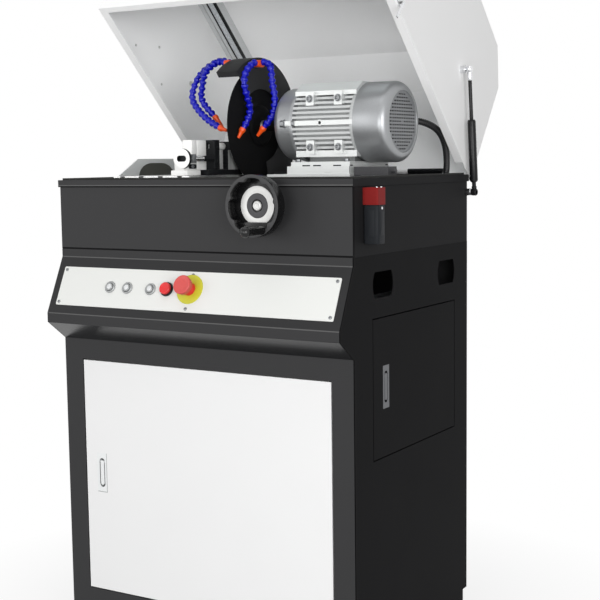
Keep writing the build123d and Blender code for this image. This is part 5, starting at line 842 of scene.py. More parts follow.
@dataclass
class Cabinet:
    """The dark sheet-metal cabinet on its levelling feet."""

    machine: Machine
    pad_radius: float = 0.024
    pad_crown: float = 0.0144
    pad_height: float = 0.010
    stud_radius: float = 0.008
    nut_radius: float = 0.014
    nut_height: float = 0.008
    gap: float = 0.005
    gap_proud: float = 0.0002
    undercut: float = 0.0399
    lip: float = 0.0202
    slope: float = 0.1169
    fold: float = 0.0011

    def __post_init__(self) -> None:
        """Finds the heights of the console's lip and of the two folds of its slope."""
        self.lip_z = Span.of("console_shell").low.z + self.undercut
        self.fold_z = self.lip_z + self.lip
        self.top_z = self.fold_z + self.slope

    def build(self) -> None:
        """Dresses the panels and makes the feet."""
        # Painted shade: the base frame and the right side take the darker charcoal.
        for node in ("base_frame", "cabinet_right_side"):
            self.machine.dress(node, CHARCOAL_SHADED_SIDE)
        for node in ("cabinet_left_side", "cabinet_back", "cabinet_front_frame"):
            self.machine.dress(node, CHARCOAL)
        self.console_shell()
        self.corner_gap()
        self.feet()

    def console_shell(self) -> None:
        """Dresses the console's shell: a painted highlight along each of its two folds, its slope painted
        darker as shade, and a glossier underside painted darker as shade.
        """
        # The underside below the lip takes the darker paint as shade.
        under = Zone.between(UNDERSIDE_SHADE, high=(None, None, self.lip_z - self.fold))
        # The slope between the two folds is painted darker as shade.
        slope = Zone.between(CHARCOAL_SLOPE_SHADE, (None, None, self.fold_z), (None, None, self.top_z))
        folds = (self.fold_z, self.top_z)
        bands = tuple(((None, None, z - self.fold), (None, None, z + self.fold)) for z in folds)
        # The bands are painted highlights along the two folds of the slope.
        self.machine.dress("console_shell", CHARCOAL, (under, slope, Zone(FOLD_HIGHLIGHT, bands)))

    def corner_gap(self) -> None:
        """A near-black strip of painted shadow, standing for the shade in the gap where the front sheets meet
        the right side's sheet.
        """
        side, shell = Span.of("cabinet_right_side"), Span.of("console_shell")
        front = Span.of("cabinet_front_frame").low
        edge = [(front.y, front.z), (front.y, shell.low.z), (side.low.y, self.lip_z),
                (side.low.y, self.fold_z), (front.y, self.top_z), (front.y, shell.high.z)]
        inner = [(y + self.gap, z) for y, z in reversed(edge)]
        made = Shape().prism(edge + inner, X * (side.high.x - LAP), Y, Z,
                             LAP + self.gap_proud, soften=0)
        made.done("corner_gap", "cabinet", FLANGE_BLACK_AND_SHADOW, "guard_black")

    def feet(self) -> None:
        """Rubber pads under steel studs with lock nuts."""
        box = Span.of("levelling_feet")
        top, r, h = box.size.z, self.pad_radius, self.pad_height
        pads, studs = Shape(), Shape()
        for x in (box.low.x + r, box.high.x - r):
            for y in (box.low.y + r, box.high.y - r):
                foot = Vector((x, y, 0))
                pads.turn([(0, 0), (0, r), (h / 2, r), (h, self.pad_crown), (h, 0)], foot, Z, soften=0.001)
                studs.rod(foot, Z, self.stud_radius, top, start=h)
                studs.hexagon(foot + Z * (top - self.nut_height), Z, self.nut_radius, self.nut_height)
        pads.done("foot_pads", "cabinet", RUBBER, "rubber_black", replaces="levelling_feet")
        studs.done("foot_studs", "cabinet", BRIGHT, "bright_steel")


@dataclass
class Console:
    """The sloped console: a white plate with its screws, push buttons and stop button."""

    machine: Machine
    plate_thickness: float = 0.0015
    screw_radius: float = 0.0036
    screw_inset: float = 0.0075
    silver: tuple[str, ...] = ("silver_button_1", "silver_button_2", "silver_button_3")
    silver_bezel: Profile = ((0, 8.8), (0, 12.5), (2.7, 12.5), (4, 11.3), (4, 9.7), (2.4, 8.8), (0, 8.8))
    silver_cap: Profile = ((-20, 0), (-20, 8.4), (5.8, 8.4), (7, 7.4), (7, 6.1), (5.8, 5.8), (5.8, 0))
    lens: Profile = ((5, 0), (5, 5.6), (6.2, 5.6), (6.8, 4.2), (7, 2), (7, 0))
    red_bezel: Profile = (
        (0, 8.8), (0, 14.8), (3.6, 14.8), (5, 13.8), (5, 12.7), (1, 12.7), (1, 8.8), (0, 8.8))
    red_cap: Profile = (
        (-20, 0), (-20, 8.4), (4.8, 8.4), (4.8, 12.4), (10.6, 12.4), (11.8, 11.2), (11.8, 9.6), (11.3, 9),
        (11.3, 0))
    disc: Profile = ((0, 7.4), (0, 31), (1.4, 31), (2, 30.4), (2, 7.4), (0, 7.4))
    collar: Profile = ((2, 7.4), (2, 14), (4, 13.8), (12.5, 12.8), (14, 12), (14, 7.4), (2, 7.4))
    stop_head: Profile = (
        (-20, 0), (-20, 7), (18.3, 7), (18.3, 17.2), (19.8, 18.6), (26.5, 19.4), (29.2, 20), (30.8, 19.7),
        (31.8, 18.6), (31.8, 16.2), (31.4, 15.4), (31.8, 9), (32, 0))

    def __post_init__(self) -> None:
        """Reads the slope from the way the buttons travel."""
        self.out = -self.machine.axis("silver_button_1_press")
        self.up = self.out.cross(X)
        self.face = Span.of("console_plate").mid + self.out * self.plate_thickness / 2

    def seat(self, node: str) -> Vector:
        """Where a control's axis leaves the white plate."""
        middle = Span.of(node).mid
        return middle + self.out * (self.face - middle).dot(self.out)

    def turned(self, node: str, profile: Profile, soften: float, steps: int = 48) -> Shape:
        """A part of a control, turned about the control's axis."""
        return Shape().turn(mm(profile), self.seat(node), self.out, soften, steps)

    def build(self) -> None:
        """Dresses the plate and makes the controls."""
        self.machine.dress("console_plate", PLATE_WHITE, edge=0.0004)
        self.screws()
        self.silver_buttons()
        self.red_button()
        self.stop_button()

    def screws(self) -> None:
        """Six screws round the plate."""
        plate = Span.of("console_plate")
        half_x = plate.size.x / 2 - self.screw_inset
        half_s = plate.size.z / self.up.z / 2 - self.screw_inset
        made = Shape()
        for x in (-half_x, 0, half_x):
            for s in (-half_s, half_s):
                made.screw(self.face + X * x + self.up * s, self.out, self.screw_radius)
        made.done("console_screws", "cabinet", BOLT_GREY, "chrome_trim")

    def silver_buttons(self) -> None:
        """Three silver push buttons with milky lenses."""
        bezels = Shape()
        for number, node in enumerate(self.silver, 1):
            bezels.turn(mm(self.silver_bezel), self.seat(node), self.out, soften=0.0003)
            body = f"button_{number}"
            cap = self.turned(node, self.silver_cap, soften=0.0003)
            cap.done(f"{node}_cap", body, BUTTON_SILVER, "chrome_trim", replaces=node)
            lens = self.turned(node, self.lens, soften=0.0002)
            lens.done(f"{node}_lens", body, MILK, "chrome_trim")
        bezels.done("silver_bezels", "cabinet", BUTTON_SILVER, "chrome_trim", replaces="button_bezels")

    def red_button(self) -> None:
        """The red push button, a head on a stem in a dark bezel."""
        bezel = self.turned("red_button", self.red_bezel, soften=0.0004)
        bezel.done("red_button_bezel", "cabinet", GLOSS_BLACK_AND_SHADE, "strut_black")
        cap = self.turned("red_button", self.red_cap, soften=0.0003)
        cap.done("red_button_cap", "button_red", RED, "signal_red", replaces="red_button")

    def stop_button(self) -> None:
        """The emergency stop: a plain yellow disc, a red collar and a red mushroom head."""
        node = "emergency_stop_cap"
        disc = self.turned(node, self.disc, soften=0.0002, steps=64)
        disc.done("stop_disc", "cabinet", YELLOW, "signal_yellow", replaces="emergency_stop_base")
        collar = self.turned(node, self.collar, soften=0.0004)
        collar.done("stop_collar", "cabinet", RED, "signal_red")
        head = self.turned(node, self.stop_head, soften=0.0003, steps=64)
        head.done("stop_head", "stop_cap", STOP_RED, "signal_red", replaces=node)


@dataclass
class Doors:
    """The white front door and the dark side door, each with a flush handle."""

    machine: Machine
    tray: Pair = (0.0131, 0.0431)
    recess: Pair = (0.0076, 0.0322)
    lip: float = 0.0012
    # Width of the grey line of painted shadow along the front tray's right and bottom edges.
    edge: float = 0.0014

    def build(self) -> None:
        """Dresses both doors and their handles."""
        self.machine.dress("front_door", WHITE, self.front_zones(), edge=0.0005)
        # Painted shade: the side door takes the darker charcoal, like the right side.
        self.machine.dress("side_door", CHARCOAL_SHADED_SIDE, self.side_zones(), edge=0.0005)
        self.machine.dress("front_latch", TRAY, edge=0.0006)
        # Painted shade: the side latch takes the tray painted dark.
        self.machine.dress("side_latch", SIDE_TRAY_SHADE, edge=0.0006)

    def front_zones(self) -> list[Zone]:
        """The front door's tray.

        Returns:
            A grey line of painted shadow along the tray's right and bottom edges, the bright tray within it,
            and its recess painted grey as shade.
        """
        at, face = Span.of("front_latch").mid, Span.of("front_door").low.y
        (w, h), (inner_w, inner_h), line = self.tray, self.recess, self.edge
        # Painted shadow: the grey box shows only as a line at the tray's right and bottom edges, where the
        # bright tray stops short; the recess is painted grey as shade.
        return [Zone.between(PVC_AND_SHADE, (at.x - w, None, at.z - h), (at.x + w, None, at.z + h)),
                Zone.between(TRAY, (at.x - w, None, at.z - h + line), (at.x + w - line, None, at.z + h)),
                Zone.between(PVC_AND_SHADE, (at.x - inner_w, face + self.lip, at.z - inner_h),
                             (at.x + inner_w, None, at.z + inner_h))]

    def side_zones(self) -> list[Zone]:
        """The side door's tray.

        Returns:
            The tray, painted dark as shade, and its recess, painted black as shade.
        """
        at, face = Span.of("side_latch").mid, Span.of("side_door").high.x
        (w, h), (inner_w, inner_h) = self.tray, self.recess
        # Painted shade: the tray painted dark, and its recess painted black.
        return [Zone.between(SIDE_TRAY_SHADE, (None, at.y - w, at.z - h), (None, at.y + w, at.z + h)),
                Zone.between(GLOSS_BLACK_AND_SHADE, (None, at.y - inner_w, at.z - inner_h),
                             (face - self.lip, at.y + inner_w, at.z + inner_h))]


@dataclass
class Basin:
    """The tub with its rim, T-slot table, slide rails, feed screw and side port."""

    machine: Machine
    drain_inset: float = 0.070
    drain_back: float = 0.1115
    drain_reach: float = 0.032
    drain_sunk: float = 0.0021
    skin: float = 0.0012
    hem: float = 0.0022
    joint: float = 0.0036
    seam: float = 0.006
    seal: float = 0.0039
    curtain: float = 0.0016
    port_side: float = 0.071
    port_below: float = 0.040
    port_above: float = 0.010
    lap: float = 0.003
    arch: float = 0.048
    arch_step: int = 6
    fillet: float = 0.0018
    fillet_sunk: float = 0.0001
    thread_pitch: float = 0.004
    thread_depth: float = 0.0014
    thread: tuple[float, ...] = (0.0006, 0.0018, 0.0026, 0.0038)
    plain_front: float = 0.11
    plain_back: float = 0.02

    def build(self) -> None:
        """Dresses the basin's nodes and makes the threaded feed screw."""
        self.tub()
        self.rim()
        for node in ("tslot_table", "slide_rails"):
            self.machine.dress(node, BRIGHT_Y)
        self.machine.dress("feed_bearings", JAW_BLACK_AND_SHADE)
        self.port()
        self.feed_screw()

    def tub(self) -> None:
        """Dresses the tub: a near-black line of painted shadow in the joint above the console, its right wall
        painted darker as shade with a near-black line of painted shadow in the seam at its front edge, and
        the drain.
        """
        tub, sill = Span.of("tub_shell"), Span.of("console_shell").high.z
        side = tub.high.x - self.skin
        x = Span.of("cabinet_left_side").low.x + self.drain_inset
        y = Span.of("cabinet_back").high.y - self.drain_back
        reach, depth = self.drain_reach, Span.of("slide_rails").low.z - self.drain_sunk
        self.machine.dress("tub_shell", CHARCOAL_TUB, (
            # Painted shadow: a near-black line in the joint just above the console.
            Zone.between(FLANGE_BLACK_AND_SHADOW, (None, None, sill), (side, tub.low.y + self.hem, sill + self.joint)),
            # Painted shade: the right wall is painted darker.
            Zone.between(TUB_SHADED_SIDE, (side, None, None)),
            # Painted shadow: a near-black strip in the seam at the right wall's front edge.
            Zone.between(FLANGE_BLACK_AND_SHADOW, (side, None, None), (None, tub.low.y + self.seam, None)),
            Zone.between(PVC_AND_SHADE, (x - reach, y - reach, None), (x + reach, y + reach, depth))))

    def rim(self) -> None:
        """Dresses the rim: a painted highlight along its lower fold over a near-black line of painted shadow
        in front, its right end painted darker as shade, and the rubber seal.
        """
        rim = Span.of("rim_band")
        front, joint_z = rim.low.y + self.hem, rim.low.z + self.hem
        self.machine.dress("rim_band", CHARCOAL_TUB, (
            # Painted highlight along the lower fold, and below it a near-black line of painted shadow where
            # the tub shades the gap.
            Zone.between(FOLD_HIGHLIGHT, (None, None, joint_z), (None, front, joint_z + self.hem)),
            Zone.between(FLANGE_BLACK_AND_SHADOW, high=(None, front, joint_z)),
            # Painted shade: the right end is painted darker.
            Zone.between(TUB_SHADED_SIDE, (rim.high.x - self.skin, None, None)),
            Zone.between(RUBBER, (None, None, rim.high.z - self.seal))))

    def port(self) -> None:
        """Dresses the side port and its curtain, and adds fillets that make its opening a flat arch."""
        port = Span.of("side_port_plate")
        low, high = self.port_opening(port, self.lap)
        curtain = Zone.between(CURTAIN, (None, *low), (port.low.x + self.curtain, *high))
        self.machine.dress("side_port_plate", PORT_GREY, (curtain,), edge=0.0003)
        (left, base), (right, top) = self.port_opening(port)
        middle, half = (left + right) / 2, (right - left) / 2
        turns = [math.radians(a) for a in range(0, 90, self.arch_step)]
        made = Shape()
        for side in BOTH:
            arc = [(middle + side * (half - self.arch * (1 - math.cos(t))), base + (top - base) * math.sin(t))
                   for t in turns]
            corner = [(middle + side * (half - self.arch), top), (middle + side * half, top)]
            back = X * (port.high.x - self.fillet_sunk - self.fillet)
            made.prism([*corner, *arc], back, Y, Z, self.fillet, soften=0)
        made.done("port_fillets", "cabinet", PORT_GREY, "bright_steel")

    def port_opening(self, port: Span, margin: float = 0) -> tuple[Pair, Pair]:
        """The side port's opening.

        Args:
            port: The port plate's box.
            margin: How far beyond the opening the answer reaches.

        Returns:
            The Y and Z of its lower corner and of its upper corner.
        """
        side = self.port_side - margin
        return ((port.low.y + side, port.high.z - self.port_below - margin),
                (port.high.y - side, port.high.z - self.port_above + margin))

    def feed_screw(self) -> None:
        """A trapezoidal thread between two plain ends."""
        box = Span.of("feed_screw")
        radius, length = box.size.x / 2, box.size.y
        root = radius - self.thread_depth
        profile = [(0, 0), (0, radius), (self.plain_front, radius)]
        for i in range(int((length - self.plain_front - self.plain_back) / self.thread_pitch)):
            at = self.plain_front + i * self.thread_pitch
            profile += [(at + step, r) for step, r in zip(self.thread, (root, root, radius, radius))]
        profile += [(length, radius), (length, 0)]
        made = Shape().turn(profile, Vector((box.mid.x, box.low.y, box.mid.z)), Y, soften=0, steps=32)
        made.done("threaded_feed_screw", "handwheel_body", BRIGHT, "bright_steel", replaces="feed_screw")


@dataclass
class Vise:
    """The quick vise on the table, with grooved jaw plates."""

    machine: Machine
    base_thickness: float = 0.011
    jaw_length: float = 0.044
    plate_thickness: float = 0.012
    plate_height: float = 0.042
    groove_pitch: float = 0.007
    groove_start: float = 0.6
    groove: Profile = ((0, 0), (0.5, 0.9), (1.3, 0.9), (1.8, 0))
    grip: float = 0.0012
    cheek: float = 0.030
    foot_width: float = 0.042
    block_width: float = 0.024
    block_room: float = 0.002
    lug_length: float = 0.012
    lug_height: float = 0.018
    lug_margins: Triple = (0.0005, 0.001, 0.002)
    rod_radius: float = 0.0075
    rod_rise: float = 0.05
    rod_side: float = 0.013
    rod_inside: float = 0.0005
    rod_room: float = 0.0004
    neck_length: float = 0.031
    neck_drop: float = 0.0005
    jaw_screws: Pair = (0.017, 0.014)
    notch: float = 0.030
    notch_rise: float = 0.010
    notch_overlap: float = 0.003
    slot_half: Pair = (0.0150, 0.0054)
    slot_place: Triple = (0.0004, 0.031, 0.0078)
    slot_wall: float = 0.0012
    hub_depth: float = 0.008
    hub_back: float = 0.002
    hub_share: float = 0.87
    hub_slot: Pair = (0.0118, 0.0061)
    hub_face: float = 0.0014
    collar_radius: float = 0.0075
    collar: float = 0.004
    screw_pitch: float = 0.003
    screw_thread: Profile = ((0, 5.8), (1.4, 5.2), (2.8, 5.8))
    screw_plain: float = 0.006
    screw_reach: float = 0.004
    nose: float = 0.004

    def build(self) -> None:
        """Makes the four groups of the vise."""
        self.rear_jaw()
        self.moving_jaw()
        self.front_block()
        self.clamp_screw()

    def jaw_plate(self, low: Vector, high: Vector, face: int) -> Shape:
        """A hardened plate with level grooves across its gripping face.

        Args:
            low: its lowest corner.
            high: its highest corner.
            face: one where it grips towards +Y, minus one towards -Y.

        Returns:
            The plate.
        """
        grip, back = (high.y, low.y) if face > 0 else (low.y, high.y)
        outline = [(back, low.z), (grip, low.z)]
        for i in range(int((high.z - low.z) / self.groove_pitch)):
            at = low.z + (i + self.groove_start) * self.groove_pitch
            outline += [(grip - face * depth, at + rise) for rise, depth in mm(self.groove)]
        outline += [(grip, high.z), (back, high.z)]
        return Shape().prism(outline, X * low.x, Y, Z, high.x - low.x, soften=0.0001)

    def rod_start(self) -> Vector:
        """Where the guide rod ends, just inside the moving jaw."""
        block, jaw = Span.of("vise_front_block").low, Span.of("vise_moving_jaw").high
        return Vector((block.x + self.foot_width / 2 + self.rod_side,
                       jaw.y - self.plate_thickness - self.rod_inside,
                       block.z + self.base_thickness + self.rod_rise))

    def rear_jaw(self) -> None:
        """The fixed jaw on its base."""
        box = Span.of("vise_body")
        base_z = box.low.z + self.base_thickness
        plate_z = base_z + self.plate_height
        jaw_y = box.high.y - self.jaw_length
        grip_y = jaw_y - self.plate_thickness
        casting = Shape().slab(box.low, (box.high.x, box.high.y, base_z), soften=0.0012)
        casting.slab((box.low.x, jaw_y, base_z - LAP), box.high, soften=0.0016)
        cheek = Zone.between(PLATE_STEEL, (None, None, base_z), (None, jaw_y + self.cheek, plate_z))
        casting.done("vise_casting", "cabinet", JAW_BLACK_AND_SHADE, "guard_black", (cheek,), replaces="vise_body")
        plate = self.jaw_plate(Vector((box.low.x, grip_y, base_z)), Vector((box.high.x, jaw_y, plate_z)), -1)
        grip = Zone.between(JAW_BLACK_AND_SHADE, high=(None, grip_y + self.grip, None))
        plate.done("rear_jaw_plate", "cabinet", PLATE_STEEL, "bright_steel", (grip,))

    def moving_jaw(self) -> None:
        """The sliding jaw with its plate and the screws in its side."""
        box = Span.of("vise_moving_jaw")
        mid = box.mid
        jaw_y = box.high.y - self.plate_thickness
        neck_y = box.low.y + self.neck_length
        rod = self.rod_start()
        bore = [(z + rod.z - mid.z, x + rod.x - mid.x) for z, x in ring(64, self.rod_radius + self.rod_room)]
        block = Shape().prism(box_ring(64, box.size.z / 2, box.size.x / 2), Vector((mid.x, neck_y, mid.z)),
                              Z, X, jaw_y - neck_y, soften=0.001, hole=bore)
        block.done("sliding_jaw_block", "vise_jaw", JAW_BLACK_AND_SHADE, "guard_black", replaces="vise_moving_jaw")
        middle, half = Span.of("vise_front_block").low.x + self.foot_width / 2, self.block_width / 2
        neck = Shape().slab((middle - half, box.low.y, box.low.z),
                            (middle + half, neck_y + LAP, box.high.z - self.neck_drop), soften=0.0012)
        neck.done("sliding_jaw_neck", "vise_jaw", NICKEL, "bright_steel")
        plate = self.jaw_plate(Vector((box.low.x, jaw_y, box.low.z + LAP)),
                               Vector((box.high.x, box.high.y, box.low.z + self.plate_height)), 1)
        plate.done("sliding_jaw_plate", "vise_jaw", PLATE_STEEL, "bright_steel")
        screws = Shape()
        above, below = self.jaw_screws
        for z in (box.high.z - above, box.low.z + below):
            at = Vector((box.high.x - LAP / 2, (neck_y + jaw_y) / 2, z))
            screws.socket_bolt(at, X, radius=0.0032)
        screws.done("sliding_jaw_screws", "vise_jaw", JAW_BLACK_AND_SHADE, "guard_black")

    def front_block(self) -> None:
        """The bright nut block with its lug, guide rod and bolt slot."""
        box = Span.of("vise_front_block")
        middle, half = box.low.x + self.foot_width / 2, self.block_width / 2
        face_x = middle + half
        foot_z = box.low.z + self.base_thickness
        back_y = Span.of("vise_moving_jaw").low.y - self.block_room
        screw_z = self.machine.point("vise_screw_turn").z
        split = screw_z + self.notch_rise
        lug_y = box.low.y + self.lug_length
        made = Shape().slab(box.low, (middle + self.foot_width / 2, back_y, foot_z), soften=0.001)
        made.slab((middle - half, box.low.y, foot_z - LAP), (face_x, back_y, split), soften=0.0016)
        made.slab((middle - half, box.low.y + self.notch, split - self.notch_overlap),
                  (face_x, back_y, box.high.z), soften=0.0016)
        made.slab((middle, box.low.y, screw_z - self.lug_height / 2),
                  (box.high.x, lug_y, screw_z + self.lug_height / 2), soften=0.0012)
        rod = self.rod_start()
        made.rod(rod, Y, self.rod_radius, box.high.y - rod.y)
        off_block, past_lug, off_foot = self.lug_margins
        lug = Zone.between(BOLT_GREY, (face_x + off_block, None, foot_z + off_foot),
                           (None, lug_y + past_lug, None))
        made.done("vise_nut_block", "cabinet", NICKEL, "bright_steel", (lug,), replaces="vise_front_block")
        self.bolt_slot(Vector((face_x, box.low.y, foot_z)))

    def bolt_slot(self, corner: Vector) -> None:
        """The lipped slot in the nut block's side, with its bolt; its floor is painted black as shade.

        Args:
            corner: where the block's side meets its front and its foot.
        """
        sunk, back, rise = self.slot_place
        place = corner + Vector((-sunk, back, rise))
        inner = [half - self.slot_wall for half in self.slot_half]
        lip = Shape().prism(oblong(48, *self.slot_half), place, Z, Y, -LAP, soften=0.0002,
                            hole=oblong(48, *inner))
        lip.done("bolt_slot_lip", "cabinet", SATIN, "bright_steel")
        # Painted shade: the slot's floor is painted black.
        well = Shape().prism(oblong(32, *inner), place, Z, Y, -LAP * 0.6, soften=0)
        well.done("bolt_slot_well", "cabinet", JAW_BLACK_AND_SHADE, "guard_black")
        bolt = Shape().socket_bolt(place, X, radius=0.0034)
        bolt.done("vise_bolt", "cabinet", BOLT_GREY, "bright_steel")

    def clamp_screw(self) -> None:
        """The clamp screw and its hub with an oval bar hole; behind its thin front face the hub is painted
        black as shade.
        """
        box, jaw_y = Span.of("vise_screw"), Span.of("vise_moving_jaw").low.y
        centre = self.machine.point("vise_screw_turn")
        front = Vector((centre.x, box.low.y, centre.z))
        radius, back = box.size.x / 2 * self.hub_share, self.hub_back
        hub = Shape().prism(ring(64, radius), front, Z, X, self.hub_depth, soften=0.0009,
                            hole=oblong(64, *self.hub_slot))
        hub.turn([(0, 0), (0, radius), (back, radius - LAP), (back, 0)],
                 front + Y * self.hub_depth, Y, soften=0.0003, steps=64)
        # Painted shade: behind its thin front face the hub is painted black, on its rim and in its oval hole.
        sides = Zone.between(JAW_BLACK_AND_SHADE, (None, front.y + self.hub_face, None))
        hub.done("clamp_hub", "vise_screw_body", NICKEL, "bright_steel", (sides,), replaces="vise_screw")
        start, end = self.hub_depth + back, jaw_y + self.neck_length + self.screw_reach - box.low.y
        at = start + self.collar
        rod = [(start, 0), (start, self.collar_radius), (at, self.collar_radius)]
        while at < end - self.screw_plain:
            rod += [(at + along, radius) for along, radius in mm(self.screw_thread)]
            at += self.screw_pitch
        rod += [(end, rod[-1][1]), (end, 0)]
        screw = Shape().turn(rod, front, Y, soften=0, steps=28)
        nose = Zone.between(JAW_BLACK_AND_SHADE, (None, jaw_y - self.nose, None))
        screw.done("clamp_thread", "vise_screw_body", BRIGHT_Y, "dark_steel", (nose,))


@dataclass
class Handwheel:
    """The dished feed handwheel with its revolving handle."""

    machine: Machine
    radius: float = 0.060
    rim: float = 0.0065
    rim_length: float = 0.025
    lobe: float = 0.0046
    dish: float = 0.0235
    web: float = 0.008
    web_edge: Pair = (0.002, 0.004)
    hub_radius: float = 0.018
    bore: float = 0.004
    plate_radii: Pair = (0.024, 0.038)
    plate_thickness: float = 0.002
    hub_disc: Profile = ((1, 12.6), (1, 24), (-2.2, 24), (-3, 23), (-3, 12.6), (1, 12.6))
    hub_nut: Profile = ((1, 0), (1, 9.2), (-3.6, 9.2), (-5, 7.6), (-5, 5.2), (-3.6, 4.6), (-3.6, 0))
    face: float = 0.0011
    boss: float = 0.0085
    chord: float = 0.0318
    chord_steps: int = 24
    pin_length: float = 0.060
    grip: Profile = ((0, 3.5), (0, 7.8), (4, 8.2), (10, 7.2), (30, 7.8), (44, 7.6))
    ball: float = 0.011
    ball_start: float = 40.0
    ball_sweep: float = 140.0
    ball_steps: int = 8

    def segment(self) -> list[Pair]:
        """The outline of the thick part below the hub, where the handle's pin is held.

        Returns:
            A round stretch; its ends are joined by the chord.
        """
        reach = self.radius - self.rim + LAP
        half = math.acos(self.chord / reach)
        turns = [math.pi - half + 2 * half * i / self.chord_steps for i in range(self.chord_steps + 1)]
        return [(reach * math.cos(turn), reach * math.sin(turn)) for turn in turns]

    def build(self) -> None:
        """Makes the wheel, its bright hub plate and its handle."""
        box = Span.of("handwheel")
        axis = self.machine.point("handwheel_turn")
        front = Vector((axis.x, box.low.y + self.pin_length, axis.z))
        web = front + Y * self.dish
        self.wheel(front, web, box.high.y - web.y)
        plate = Shape().tube(web, Y, self.plate_radii, (0, -self.plate_thickness), soften=0.0004, steps=64)
        plate.done("hub_plate", "handwheel_body", HUB_STEEL, "bright_steel")
        disc = Shape().turn(mm(self.hub_disc), web, Y, soften=0.0002, steps=64)
        disc.done("hub_disc", "handwheel_body", DISC_GREY, "dark_steel")
        nut = Shape().turn(mm(self.hub_nut), web, Y, soften=0.0003)
        nut.done("hub_nut", "handwheel_body", HUB_STEEL, "bright_steel")
        self.handle()

    def wheel(self, front: Vector, web: Vector, reach: float) -> None:
        """The rim with its finger lobes, the web and the hub behind it.

        Args:
            front: the middle of the rim's front.
            web: the middle of the web's front.
            reach: how far the hub goes back from there.
        """
        r, bore, hub, (near, far) = self.radius, self.bore, self.hub_radius, self.web_edge
        inner = ring(140, r - self.rim, wobble=self.lobe, lobes=7, phase=math.radians(-22))
        wheel = Shape().prism(ring(140, r), front, Z, X, self.rim_length, soften=0.0011, hole=inner)
        wheel.turn([(0, bore), (0, r - near), (self.web, r - far), (self.web, hub), (reach, hub),
                    (reach, bore), (0, bore)], web, Y, soften=0.0008, steps=64)
        wheel.prism(self.segment(), web - Y * self.boss, Z, X, self.boss + LAP, soften=0.0012)
        # The rim's front face is mid grey, lighter than the black wheel.
        face = Zone.between(RIM_GREY, high=(None, front.y + self.face, None))
        wheel.done("handwheel_casting", "handwheel_body", PHENOLIC, "handwheel_black", (face,),
                   replaces="handwheel")

    def handle(self) -> None:
        """A tapered grip that ends in a ball, on its pin."""
        box = Span.of("handwheel_handle")
        root, length = Vector((box.mid.x, box.high.y, box.mid.z)), box.size.y
        grip = mm(self.grip)
        for i in range(self.ball_steps + 1):
            turn = math.radians(self.ball_start + self.ball_sweep * i / self.ball_steps)
            grip.append((length - self.ball - self.ball * math.cos(turn), self.ball * math.sin(turn)))
        made = Shape().turn(grip, root, -Y, soften=0)
        made.done("revolving_grip", "handle_body", PHENOLIC, "handwheel_black", replaces="handwheel_handle")
        pin = Shape().rod(root + Y * LAP / 2, -Y, radius=0.003, end=0.05)
        pin.done("handle_pin", "handwheel_body", BRIGHT, "bright_steel")


